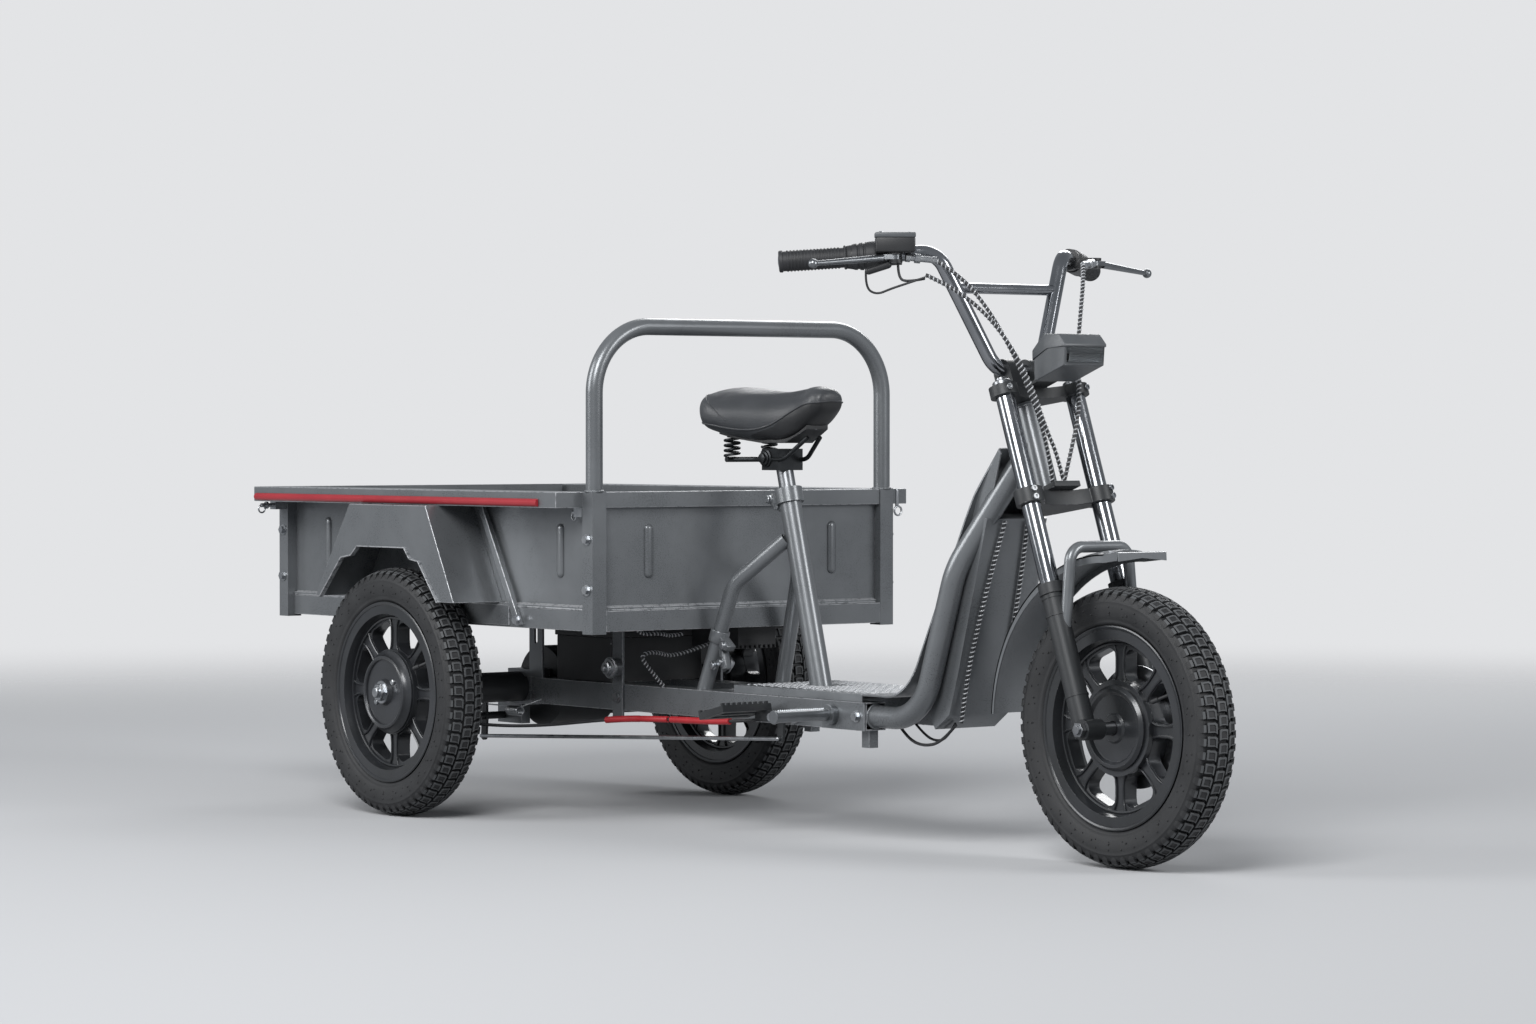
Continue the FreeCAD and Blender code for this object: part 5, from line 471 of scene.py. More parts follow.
def lathe(outline: Outline, steps: int, closed: bool = True) -> bpy.types.Mesh:
    """Turns an outline about the Y axis.

    Args:
        outline: places along Y and radii, in millimetres.
        steps: faces round the axis.
        closed: whether the outline's end joins its start.

    Returns:
        The mesh, about the origin, in metres.
    """
    shape = bmesh.new()
    turns = [math.tau * step / steps for step in range(steps)]
    rings = [[shape.verts.new(polar(radius, turn, y)) for y, radius in outline] for turn in turns]
    last = len(outline) if closed else len(outline) - 1
    for ring, after in zip(rings, rings[1:] + rings[:1]):
        for index in range(last):
            follow = (index + 1) % len(outline)
            shape.faces.new((ring[index], ring[follow], after[follow], after[index]))
    bmesh.ops.remove_doubles(shape, verts=shape.verts, dist=POLE_MERGE)
    return from_bmesh(shape)


def joined(meshes: list[bpy.types.Mesh]) -> bpy.types.Mesh:
    """Joins meshes into one.

    Args:
        meshes: what is joined, and removed.

    Returns:
        The joined mesh.
    """
    shape = bmesh.new()
    for mesh in meshes:
        shape.from_mesh(mesh)
        bpy.data.meshes.remove(mesh)
    return from_bmesh(shape, recalculate=False)


def moved(mesh: bpy.types.Mesh, matrix: Matrix) -> bpy.types.Mesh:
    """Moves a mesh's points and gives it back."""
    mesh.transform(matrix)
    return mesh


def turned_to(way: Vector) -> Matrix:
    """The turn that lays the Y axis along a direction."""
    return ACROSS.rotation_difference(way).to_matrix().to_4x4()


def set_at(spot: Vector, way: Vector) -> Matrix:
    """The move that takes the origin to a spot and lays the Y axis along a direction."""
    return Matrix.Translation(spot) @ turned_to(way)


def turned(outline: Outline, steps: int, spot: Vector, way: Vector, closed: bool = False,
           degrees: float = SHARP) -> bpy.types.Mesh:
    """Turns an outline about an axis, shades it and sets it in place.

    Args:
        outline: places along the axis and radii, in millimetres.
        steps: faces round the axis.
        spot: where the axis starts, in metres.
        way: the direction of the axis.
        closed: whether the outline's end joins its start.
        degrees: the angle past which an edge stays sharp.

    Returns:
        The mesh in place.
    """
    return moved(smooth(lathe(outline, steps, closed), degrees), set_at(spot, way))


def capsule(radius: float, length: float) -> bpy.types.Mesh:
    """A round-ended bar along the Y axis.

    Args:
        radius: its radius, in millimetres.
        length: its length over the ends, in millimetres.

    Returns:
        The mesh, about the origin.
    """
    outline = []
    for step in range(7):
        turn = math.pi / 2 * step / 6
        outline.append((-length / 2 + radius - radius * math.cos(turn), radius * math.sin(turn)))
    outline += [(-y, r) for y, r in reversed(outline)]
    return smooth(lathe(outline, 20, closed=False), 60)


def plate(centre: Vector, size: tuple[float, float, float], pitch: float = 0.0,
          rounding: float = 0.22) -> bpy.types.Mesh:
    """A flat bar with rounded edges.

    Args:
        centre: its middle, in metres.
        size: its length, width and height, in millimetres.
        pitch: its turn about the Y axis, in degrees.
        rounding: the radius of its edges, as a share of its thinnest side.

    Returns:
        The mesh in place.
    """
    shape = bmesh.new()
    bmesh.ops.create_cube(shape, size=1.0)
    bmesh.ops.scale(shape, vec=[side * MM for side in size], verts=shape.verts)
    bmesh.ops.bevel(shape, geom=list(shape.edges), offset=rounding * min(size) * MM, segments=3, profile=0.5,
                    affect="EDGES")
    turn = Matrix.Translation(centre) @ Matrix.Rotation(math.radians(pitch), 4, "Y")
    return moved(smooth(from_bmesh(shape)), turn)


def dress(name: str, meshes: list[bpy.types.Mesh], finish: Finish, body: str, slot: str) -> None:
    """Makes one piece of meshes and fits it.

    Args:
        name: the piece's name.
        meshes: what it is made of, already in place.
        finish: the surface that it gets.
        body: the body that it rides on.
        slot: the record's material slot.
    """
    mesh = joined(meshes) if len(meshes) > 1 else meshes[0]
    fit(new_object(name, mesh, finish), body, slot)


def line_object(name: str, spots: Sequence[Vector], kind: str, order: int, resolution: int,
                closed: bool = False) -> bpy.types.Object:
    """Draws a line through points.

    Args:
        name: the object's name.
        spots: the points, in metres.
        kind: the kind of spline.
        order: the spline's order.
        resolution: steps from point to point.
        closed: whether the end joins the start.

    Returns:
        The curve object.
    """
    curve = bpy.data.curves.new(name, "CURVE")
    curve.dimensions = "3D"
    curve.resolution_u = resolution
    spline = curve.splines.new(kind)
    spline.points.add(len(spots) - 1)
    for point, spot in zip(spline.points, spots):
        point.co = (*spot, 1.0)
    spline.order_u = order
    spline.use_endpoint_u = True
    spline.use_cyclic_u = closed
    return linked(name, curve)


def fork_point(along: float, ahead: float, side: float) -> Vector:
    """Gives a point measured from the foot of the fork legs.

    Args:
        along: distance up along the legs, in millimetres.
        ahead: distance ahead of their line, in millimetres.
        side: distance to the left of the middle, in millimetres.

    Returns:
        The point in the row frame.
    """
    lean, rise = math.sin(FORK_RAKE), math.cos(FORK_RAKE)
    x = WHEELBASE - FORK_OFFSET * rise - along * lean + ahead * rise
    z = AXLE_Z - FORK_OFFSET * lean + along * rise + ahead * lean
    return place(x, side, z)


def grip_line(side: int) -> tuple[Vector, Vector]:
    """Gives the outer end of a grip and the direction from it along the grip.

    Args:
        side: -1 for the right, 1 for the left.

    Returns:
        The end, in metres, and the direction, of length one.
    """
    end = fork_point(869, -163, side * 340)
    return end, (fork_point(832, -14, side * 138) - end).normalized()


class ShapeTree:
    """A Geometry Nodes tree that is built once and makes plain meshes of many shapes."""

    def __init__(self, name: str, sockets: dict[str, str]) -> None:
        """Starts the tree.

        Args:
            name: the tree's name.
            sockets: the names and kinds of its inputs, apart from the material.
        """
        self.tree = bpy.data.node_groups.new(name, "GeometryNodeTree")
        self.ids = {}
        interface = self.tree.interface
        for socket, kind in (sockets | {"Material": "Material"}).items():
            made = interface.new_socket(name=socket, in_out="INPUT", socket_type="NodeSocket" + kind)
            self.ids[socket] = made.identifier
        interface.new_socket(name="Result", in_out="OUTPUT", socket_type="NodeSocketGeometry")
        self.given = add_node(self.tree, "NodeGroupInput").node.outputs

    def close(self, geometry: bpy.types.NodeSocket) -> None:
        """Ends the tree with a real mesh that wears the given material.

        Args:
            geometry: what the tree has made.
        """
        real = add_node(self.tree, "GeometryNodeRealizeInstances", {0: geometry})
        dressed = add_node(self.tree, "GeometryNodeSetMaterial",
                           {"Geometry": real, "Material": self.given["Material"]})
        add_node(self.tree, "NodeGroupOutput", {0: dressed})

    def made_of(self, shape: bpy.types.Mesh, finish: Finish, values: dict) -> bpy.types.Mesh:
        """Runs the tree on a shape.

        Args:
            shape: the mesh that goes in.
            finish: the surface of what comes out.
            values: the other inputs, by name.

        Returns:
            A plain mesh.
        """
        holder = new_object("tree_holder", shape, finish)
        modifier = holder.modifiers.new("tree", "NODES")
        modifier.node_group = self.tree
        for name, value in (values | {"Material": finish.material()}).items():
            modifier[self.ids[name]] = value
        made = evaluated(holder)
        bpy.data.objects.remove(holder)
        return made


class Repeater(ShapeTree):
    """Sets copies of one small shape round or along an axis."""

    def __init__(self) -> None:
        """Builds the tree once."""
        super().__init__("copies_about_an_axis", {"Shape": "Geometry", "Count": "Int", "Axis": "Vector",
                                                  "Centre": "Vector", "Turn": "Float", "Step": "Float"})
        tree, given = self.tree, self.given
        index = add_node(tree, "GeometryNodeInputIndex")
        turn = add_node(tree, "ShaderNodeMath", {0: index, 1: given["Turn"]}, operation="MULTIPLY")
        step = add_node(tree, "ShaderNodeMath", {0: index, 1: given["Step"]}, operation="MULTIPLY")
        along = add_node(tree, "ShaderNodeVectorMath", {0: given["Axis"], "Scale": step}, operation="SCALE")
        spot = add_node(tree, "ShaderNodeVectorMath", {0: given["Centre"], 1: along}, operation="ADD")
        points = add_node(tree, "GeometryNodePoints", {"Count": given["Count"], "Position": spot})
        facing = add_node(tree, "FunctionNodeAxisAngleToRotation", {"Axis": given["Axis"], "Angle": turn})
        self.close(add_node(tree, "GeometryNodeInstanceOnPoints",
                            {"Points": points, "Instance": given["Shape"], "Rotation": facing}))

    def copies(self, shape: bpy.types.Mesh, count: int, finish: Finish, axis: Vector = ACROSS,
               centre: Vector = ORIGIN, step: float | None = None) -> bpy.types.Mesh:
        """Sets copies evenly round an axis, or a step apart along it.

        Args:
            shape: the small shape, about the origin.
            count: how many copies.
            finish: the surface of the copies.
            axis: the direction of the axis, of length one.
            centre: a point of the axis, in metres.
            step: the distance from copy to copy in millimetres, or nothing for a ring.

        Returns:
            The mesh of all copies.
        """
        turn = math.radians(360 / count) if step is None else 0.0
        return self.made_of(shape, finish, {"Count": count, "Axis": tuple(axis), "Centre": tuple(centre),
                                            "Turn": turn, "Step": (step or 0.0) * MM})


class Spiral(ShapeTree):
    """Winds a thin band round a cable's line."""

    turn_steps: int = 14
    band_sides: int = 7

    def __init__(self) -> None:
        """Builds the tree once."""
        super().__init__("band_round_a_line", {"Line": "Geometry", "Radius": "Float", "Pitch": "Float",
                                               "Band": "Float", "Spacing": "Float"})
        tree, given = self.tree, self.given
        line = add_node(tree, "GeometryNodeMeshToCurve", {"Mesh": given["Line"]})
        fine = add_node(tree, "GeometryNodeResampleCurve", {"Curve": line, "Length": given["Spacing"]},
                        mode="LENGTH")
        length = add_node(tree, "GeometryNodeSplineParameter", out="Length")
        turns = add_node(tree, "ShaderNodeMath", {0: length, 1: given["Pitch"]}, operation="DIVIDE")
        angle = add_node(tree, "ShaderNodeMath", {0: turns, 1: math.tau}, operation="MULTIPLY")
        normal = add_node(tree, "GeometryNodeInputNormal")
        tangent = add_node(tree, "GeometryNodeInputTangent")
        spoke = add_node(tree, "ShaderNodeVectorRotate", {"Vector": normal, "Axis": tangent, "Angle": angle})
        offset = add_node(tree, "ShaderNodeVectorMath", {0: spoke, "Scale": given["Radius"]},
                          operation="SCALE")
        wound = add_node(tree, "GeometryNodeSetPosition", {"Geometry": fine, "Offset": offset})
        ring = add_node(tree, "GeometryNodeCurvePrimitiveCircle",
                        {"Resolution": self.band_sides, "Radius": given["Band"]})
        tube = add_node(tree, "GeometryNodeCurveToMesh",
                        {"Curve": wound, "Profile Curve": ring, "Fill Caps": True})
        self.close(add_node(tree, "GeometryNodeSetShadeSmooth", {"Geometry": tube}))

    def winding(self, line: bpy.types.Mesh, radius: float, pitch: float, band: float,
                finish: Finish) -> bpy.types.Mesh:
        """Winds a band round a line.

        Args:
            line: a mesh of edges along the cable.
            radius: the distance of the band from the line, in metres.
            pitch: the distance from turn to turn, in metres.
            band: the radius of the band itself, in metres.
            finish: the band's surface.

        Returns:
            The mesh of the winding.
        """
        return self.made_of(line, finish, {"Radius": radius, "Pitch": pitch, "Band": band,
                                           "Spacing": pitch / self.turn_steps})


@dataclass
class Studio:
    """The camera, a pale floor that fades into the background, and soft light."""

    eye: tuple[float, float, float] = (6.12745, -4.82, 0.706)
    heading: float = math.radians(38.05)
    dip: float = math.radians(1.06)
    lens: float = 103.125
    sensor: float = 36.0
    far: float = 60.0
    floor_radius: float = 9.0
    floor_tone: str = "#AEAFB1"
    fade: tuple[float, float] = (2.2, 7.5)
    pale: str = "#E3E4E6"
    light_tone: str = "#DDE2E8"
    light_strength: float = 0.42
    aim: tuple[float, float, float] = (0.0, 0.0, 0.45)
    lamps: tuple[tuple[str, tuple[float, float, float], float, float], ...] = (
        ("key_light", (2.6, -3.4, 3.4), 2.2, 190.0), ("fill_light", (-1.8, -4.0, 2.2), 2.4, 110.0),
        ("rim_light", (-2.4, 3.2, 3.2), 2.4, 105.0), ("front_light", (4.4, 1.8, 2.2), 1.6, 80.0))

    def build(self) -> None:
        """Sets up the view and everything that isn't part of the tricycle."""
        scene = bpy.context.scene
        scene.view_settings.view_transform = "Standard"
        data = bpy.data.cameras.new("photo_camera")
        data.lens = self.lens
        data.sensor_width = self.sensor
        data.sensor_fit = "HORIZONTAL"
        data.clip_end = self.far
        level = math.cos(self.dip)
        look = Vector((-math.cos(self.heading) * level, math.sin(self.heading) * level, -math.sin(self.dip)))
        scene.camera = self.hung("photo_camera", data, self.eye, look)
        self.floor()
        self.world()
        for name, spot, size, power in self.lamps:
            lamp = bpy.data.lights.new(name, "AREA")
            lamp.size = size
            lamp.energy = power
            self.hung(name, lamp, spot, Vector(self.aim) - Vector(spot))

    def hung(self, name: str, data: bpy.types.ID, spot: tuple[float, float, float],
             look: Vector) -> bpy.types.Object:
        """Hangs the camera or a soft box.

        Args:
            name: its name.
            data: what hangs there.
            spot: its place, in metres.
            look: the direction that it faces.

        Returns:
            The object.
        """
        made = linked(name, data)
        made.location = spot
        made.rotation_euler = look.to_track_quat("-Z", "Y").to_euler()
        return made

    def floor(self) -> None:
        """Lays the floor disc, whose edge fades out."""
        shape = bmesh.new()
        bmesh.ops.create_circle(shape, cap_ends=True, segments=96, radius=self.floor_radius)
        floor = linked("floor", from_bmesh(shape, recalculate=False))
        material = bpy.data.materials.new("pale_studio_floor")
        material.use_nodes = True
        tree = material.node_tree
        tree.nodes.clear()
        coords = add_node(tree, "ShaderNodeTexCoord", out="Object")
        reach = add_node(tree, "ShaderNodeVectorMath", {0: coords}, "Value", operation="LENGTH")
        limits = {"Value": reach, "From Min": self.fade[0], "From Max": self.fade[1]}
        fade = add_node(tree, "ShaderNodeMapRange", limits, interpolation_type="SMOOTHERSTEP")
        matt = add_node(tree, "ShaderNodeBsdfDiffuse", {"Color": linear(self.floor_tone), "Roughness": 0.6})
        away = add_node(tree, "ShaderNodeBsdfTransparent")
        mixed = add_node(tree, "ShaderNodeMixShader", {0: fade, 1: matt, 2: away})
        add_node(tree, "ShaderNodeOutputMaterial", {0: mixed})
        floor.data.materials.append(material)

    def world(self) -> None:
        """Gives soft light from all round, and a pale background to the eye and through the lens."""
        world = bpy.data.worlds.new("studio")
        bpy.context.scene.world = world
        world.use_nodes = True
        tree = world.node_tree
        tree.nodes.clear()
        path = add_node(tree, "ShaderNodeLightPath").node.outputs
        seen = add_node(tree, "ShaderNodeMath", {0: path["Is Camera Ray"], 1: path["Is Transmission Ray"]},
                        operation="MAXIMUM")
        light = add_node(tree, "ShaderNodeBackground", {"Color": linear(self.light_tone),
                                                        "Strength": self.light_strength})
        shown = add_node(tree, "ShaderNodeBackground", {"Color": linear(self.pale), "Strength": 1.0})
        mixed = add_node(tree, "ShaderNodeMixShader", {0: seen, 1: light, 2: shown})
        add_node(tree, "ShaderNodeOutputWorld", {0: mixed})


@dataclass
class Cable:
    """One cable or conduit along a route, with a spiral wrap where it has one."""

    name: str
    radius: float
    length: float
    body: str
    route: Route
    nodes: tuple[str, ...] = ()
    wrap_pitch: float = 0.0
    band: float = 1.2
    slot: str = "black_rubber"

    def build(self, spiral: Spiral) -> None:
        """Draws the cable on one smooth line and winds its wrap on it.

        Args:
            spiral: the tree that winds bands.
        """
        piece = line_object(self.name, [place(*spot) for spot in self.route], "NURBS", 3, 10)
        curve = piece.data
        core = self.radius
        if self.wrap_pitch:
            core -= self.band
            # The wrap wears the pale binding, whose colour is painted highlight
            wrap = spiral.winding(evaluated(piece), core * MM, self.wrap_pitch * MM, self.band * MM, PALE_LIT_BINDING)
            fit(new_object(self.name + "_wrap", wrap, PALE_LIT_BINDING), self.body, "black_plastic")
        curve.bevel_depth = core * MM
        curve.bevel_resolution = 4
        curve.use_fill_caps = True
        curve.materials.append(FINISHES[self.slot].material())
        fit(piece, self.body, self.slot, *self.nodes)


CABLES = (
    Cable("throttle_cable", 4.2, 430, "steering", (
        (1262, -164, 986), (1296, -140, 962), (1330, -112, 912), (1356, -86, 850), (1376, -66, 790),
        (1384, -44, 732), (1388, -26, 676), (1388, -16, 620.5)), ("control_cables",), 8.0),
    Cable("front_brake_cable", 4.2, 430, "steering", (
        (1268, -186, 960), (1310, -166, 940), (1352, -130, 898), (1382, -96, 838), (1396, -66, 772),
        (1400, -42, 710), (1404, -20, 666), (1402, -6, 626.5)), ("control_cables",), 8.0),
    Cable("rear_brake_cable", 4.2, 426, "steering", (
        (1262, 164, 986), (1292, 138, 956), (1318, 108, 900), (1340, 82, 838), (1366, 62, 784),
        (1384, 44, 728), (1386, 26, 672), (1382, 14, 619)), ("control_cables",), 8.0),
    Cable("right_shield_conduit", 4.2, 352, "frame", (
        (1286.3, -30, 556), (1261.8, -40, 470), (1237.4, -46, 384), (1212.5, -50, 296), (1192, -44, 218)),
        ("shield_conduits",), 8.0),
    Cable("left_shield_conduit", 4.2, 303, "frame", (
        (1285.3, 20, 552), (1264.8, 27, 480), (1243.2, 31, 404), (1222.6, 34, 330), (1202.2, 42, 262)),
        ("shield_conduits",), 8.0),
    Cable("drum_brake_cable", 3.0, 796, "frame", (
        (770, -113, 206), (700, -119, 199), (620, -126, 194), (540, -126, 192), (450, -128, 190),
        (360, -134, 186), (280, -152, 178), (200, -184, 168), (130, -226, 164), (70, -274, 168),
        (30, -315, 178)), ("brake_cable",)),
    Cable("lever_switch_lead", 1.9, 133, "steering", (
        (1206, -262, 968), (1199, -258, 940), (1206, -240, 928), (1226, -225, 938), (1247, -210, 946),
        (1268, -188, 956))),
    Cable("lever_hose", 2.2, 68, "steering", (
        (1230, -214, 980), (1228, -212, 958), (1240, -206, 948), (1266, -187, 954))),
    Cable("low_wiring", 4.0, 247, "frame", (
        (436, -100, 246), (434, -128, 276), (430, -150, 304), (434, -118, 310), (428, -84, 300),
        (434, -50, 306), (440, -10, 318), (446, 24, 330)), (), 7.0),
    Cable("high_wiring", 4.0, 142, "frame", (
        (470, -200, 388), (468, -192, 362), (464, -170, 342), (474, -140, 345), (466, -105, 338),
        (470, -84, 342)), (), 7.0),
    Cable("front_cable_loop", 2.6, 169, "frame", (
        (1032, -52, 214), (1062, -54, 186), (1104, -52, 174), (1148, -48, 184), (1178, -44, 214))),
    Cable("rear_cable_loop", 2.2, 154, "frame", (
        (1036, -20, 214), (1076, -26, 190), (1112, -30, 182), (1146, -36, 190), (1172, -40, 216))),
)


@dataclass
class Bodywork:
    """The CAD solids, each with its finish, and rounded edges where light catches them."""

    rounding: tuple[tuple[str, float], ...] = (
        ("frame_beams", 1.5), ("frame_fittings", 1.2), ("down_tubes", 0.8), ("head_tube", 0.8),
        ("seat_tube", 0.8), ("leg_shield_cover", 1.0), ("leg_shield", 1.2), ("cargo_base_frame", 1.6),
        ("cargo_floor", 0.8), ("box_panels", 1.2), ("corner_posts", 1.8), ("guard_hoop", 0.8),
        ("top_rails", 1.6), ("rear_mudguards", 1.4), ("box_hangers", 1.0), ("tailgate", 1.0),
        ("front_mudguard", 0.8), ("fender_hoop", 0.8), ("lower_crown", 1.6), ("upper_crown", 1.4),
        ("fork_sliders", 1.0), ("right_hand_lever", 0.8), ("left_hand_lever", 0.8), ("brake_pedal", 0.8),
        ("power_pack", 1.5), ("bar_controls", 2.0), ("saddle_base", 1.0), ("headlight_housing", 1.6),
        ("handlebar", 0.6), ("stanchions", 0.6), ("seat_post", 0.6), ("front_axle", 0.6),
        ("saddle_frame", 0.5), ("fasteners", 0.5), ("foot_pegs", 1.2), ("foot_platform", 0.8),
        ("brake_rod", 0.4), ("brake_cross_shaft", 0.6), ("side_strips", 0.8), ("brake_disc", 0.4),
        ("left_grip", 0.8), ("throttle_grip", 0.8), ("horn_button", 0.5), ("front_wheel", 1.6),
        ("rear_right_wheel", 1.6), ("rear_left_wheel", 1.6), ("axle_housing", 1.0), ("drive_motor", 1.5))
    flat_angle: float = math.radians(0.6)
    edge_angle: float = math.radians(38)

    def build(self) -> None:
        """Dresses every solid and rounds the edges of those that show."""
        for node, solid in frame["nodes"].items():
            solid.data.materials.clear()
            solid.data.materials.append(self.finish_of(node).material())
        for node, width in self.rounding:
            self.rounded(node, width)

    def finish_of(self, node: str) -> Finish:
        """Gives a node's finish, which follows its slot except on a few that look unlike the rest of it."""
        return NODE_FINISH.get(node, FINISHES[NODE_SLOT[node]])

    def rounded(self, node: str, width: float) -> None:
        """Stands a copy with rounded edges in for a solid.

        Args:
            node: the solid's name.
            width: the width of the rounding, in millimetres.
        """
        finish = self.finish_of(node)
        shape = solid_copy(node)
        bmesh.ops.dissolve_limit(shape, angle_limit=self.flat_angle, verts=shape.verts, edges=shape.edges)
        piece = new_object(node + "_finished", from_bmesh(shape, recalculate=False), finish)
        # The rounded edges get the pale edge material: partly wear, partly painted highlight
        piece.data.materials.append(finish.edge().material())
        bevel = piece.modifiers.new("rounding", "BEVEL")
        bevel.width = width * MM
        bevel.segments = 2
        bevel.limit_method = "ANGLE"
        bevel.angle_limit = self.edge_angle
        bevel.material = 1
        bevel.use_clamp_overlap = True
        piece.data = smooth(baked(piece))
        even = piece.modifiers.new("even_shading", "WEIGHTED_NORMAL")
        even.keep_sharp = True
        piece.data = baked(piece)
        fit(piece, NODE_BODY[node], NODE_SLOT[node], node)


@dataclass
class Tyre:
    """One block-tread tyre about its wheel's centre."""

    node: str
    body: str
    centre: tuple[float, float]
    pitches: int = 64
    crown_r: float = 227.5
    arch_r: float = 68.3
    arch_half: float = 25.0
    depth: float = 6.5
    # Columns of blocks: distance from the middle, half width and shift as a share of a pitch
    columns: Route = ((0.0, 9.4, 0.0), (-21.6, 9.0, 0.5), (21.6, 9.0, 0.5))
    block_share: float = 0.38
    block_lean: float = 1.6
    block_bend: float = 0.55
    bow: tuple[float, float] = (1.8, 1.4)
    # Points down a shoulder lug: distance from the middle, radius and half length round the tyre
    lug: Route = ((31.6, 219.8, 5.8), (34.9, 217.3, 6.4), (36.9, 212.0, 6.4), (37.4, 207.4, 3.2))
    lug_root: float = 3.6
    wall: Outline = ((26.5, 156.0), (27.2, 164.2), (29.0, 165.2), (31.0, 167.6), (33.3, 169.4), (34.2, 172.0),
                     (33.9, 174.0), (35.2, 176.5), (36.6, 181.0), (37.8, 187.0), (38.5, 193.0), (38.6, 198.0),
                     (38.2, 202.6), (38.4, 203.4), (38.3, 204.6), (37.6, 205.4), (36.9, 208.0), (35.4, 212.0),
                     (33.2, 214.4))
    pip: Outline = ((-0.6, 0.0), (-0.6, 1.1), (1.0, 0.8), (1.6, 0.0))
    pip_count: int = 36
    pip_y: float = 37.2
    # Rings of pips: radius and angle of the first one
    pip_rings: Outline = ((183.0, 0.0), (191.0, 2.3))

    @property
    def pitch(self) -> float:
        """The distance from block to block round the tyre, in millimetres."""
        return math.tau * self.crown_r / self.pitches

    def spot(self, across: float, around: float, height: float) -> tuple[float, float, float]:
        """Maps a place on the tread to a point about the wheel's centre.

        Args:
            across: distance along the tread's arch from its middle, in millimetres.
            around: distance round the tyre, in millimetres.
            height: height above the tread's surface, in millimetres.

        Returns:
            The point in metres.
        """
        lean = across / self.arch_r
        radius = self.crown_r - self.arch_r + (self.arch_r + height) * math.cos(lean)
        return polar(radius, around / self.crown_r, (self.arch_r + height) * math.sin(lean))

    def tread_block(self, shape: bmesh.types.BMesh, across: float, half: float, shift: float) -> None:
        """Adds one block with bent ends, a drawn-in top and a sunk panel.

        Args:
            shape: the bmesh that gets the block.
            across: the middle of its column, in millimetres.
            half: half its width.
            shift: its place round the tyre, as a share of a pitch.
        """
        long = self.block_share * self.pitch
        lean = 0.0 if across == 0 else math.copysign(self.block_lean, across)
        bend = self.block_bend * half
        near, far = -long - self.bow[0], long - self.bow[1]
        outline = ((-half, -long + lean), (-bend, near), (bend, near), (half, -long - lean),
                   (half, long - lean), (bend, far), (-bend, far), (-half, long + lean))
        levels = ((1.0, -self.depth - 0.6), (0.97, -0.7), (0.90, 0.0), (0.62, 0.0), (0.54, -1.3))
        start = shift * self.pitch
        rings = []
        for share, height in levels:
            spots = [self.spot(across + share * s, start + share * t, height) for s, t in outline]
            rings.append([shape.verts.new(spot) for spot in spots])
        bridge(shape, rings)

    def shoulder_lug(self, shape: bmesh.types.BMesh, side: int, shift: float) -> None:
        """Adds one lug that runs from the tread's edge down the side wall.

        Args:
            shape: the bmesh that gets the lug.
            side: -1 for the right, 1 for the left.
            shift: its place round the tyre, as a share of a pitch.
        """
        rings = []
        for inset in (0.0, self.lug_root):
            ring = []
            for end, run in ((-1, self.lug), (1, self.lug[::-1])):
                for y, radius, half in run:
                    turn = (shift * self.pitch + end * half) / self.crown_r
                    ring.append(shape.verts.new(polar(radius - 0.6 * inset, turn, side * (y - inset))))
            rings.append(ring)
        bridge(shape, rings, caps=False)
        last = len(rings[0]) - 1
        for ring in rings:
            for index in range(len(self.lug) - 1):
                shape.faces.new((ring[index], ring[index + 1], ring[last - 1 - index], ring[last - index]))

    def carcass_outline(self) -> Outline:
        """Gives the section of the casing: side walls with ridges and a sunk crown.

        Returns:
            Places along the axle and radii, in millimetres.
        """
        middle_r, floor_r = self.crown_r - self.arch_r, self.arch_r - self.depth
        leans = [math.radians(self.arch_half * (1 - step / 4)) for step in range(9)]
        arch = [(floor_r * math.sin(lean), middle_r + floor_r * math.cos(lean)) for lean in leans]
        return [*self.wall, *arch, *((-y, radius) for y, radius in reversed(self.wall))]

    def build(self, repeater: Repeater) -> None:
        """Makes the tyre and sets it in place of its solid.

        Args:
            repeater: the tree that sets copies round the axle.
        """
        pitch_shape = bmesh.new()
        for column in self.columns:
            self.tread_block(pitch_shape, *column)
        for side, shift in ((-1, 0.5), (1, 0.0)):
            self.shoulder_lug(pitch_shape, side, shift)
        blocks = repeater.copies(from_bmesh(pitch_shape), self.pitches, TYRE)
        pips = [self.pip_ring(repeater, side, *ring) for side in SIDES for ring in self.pip_rings]
        casing = smooth(lathe(self.carcass_outline(), 128), 40)
        mesh = joined([casing, blocks] + pips)
        piece = new_object(self.node + "_treaded", mesh, TYRE)
        # Tops of the tread blocks get the paler rubber: partly road scuffing, partly painted highlight
        mesh.materials.append(SCUFFED_AND_LIT.material())
        for face in mesh.polygons:
            face.material_index = 1 if self.on_top(face.center) else 0
        moved(mesh, Matrix.Translation(place(*self.centre, AXLE_Z)))
        fit(piece, self.body, "tyre_rubber", self.node)

    def on_top(self, spot: Vector) -> bool:
        """Tells whether a point about the wheel's centre lies on the tops of the tread blocks."""
        rise = math.hypot(spot.x, spot.z) / MM - self.crown_r + self.arch_r
        return math.hypot(spot.y / MM, rise) > self.arch_r - 0.5

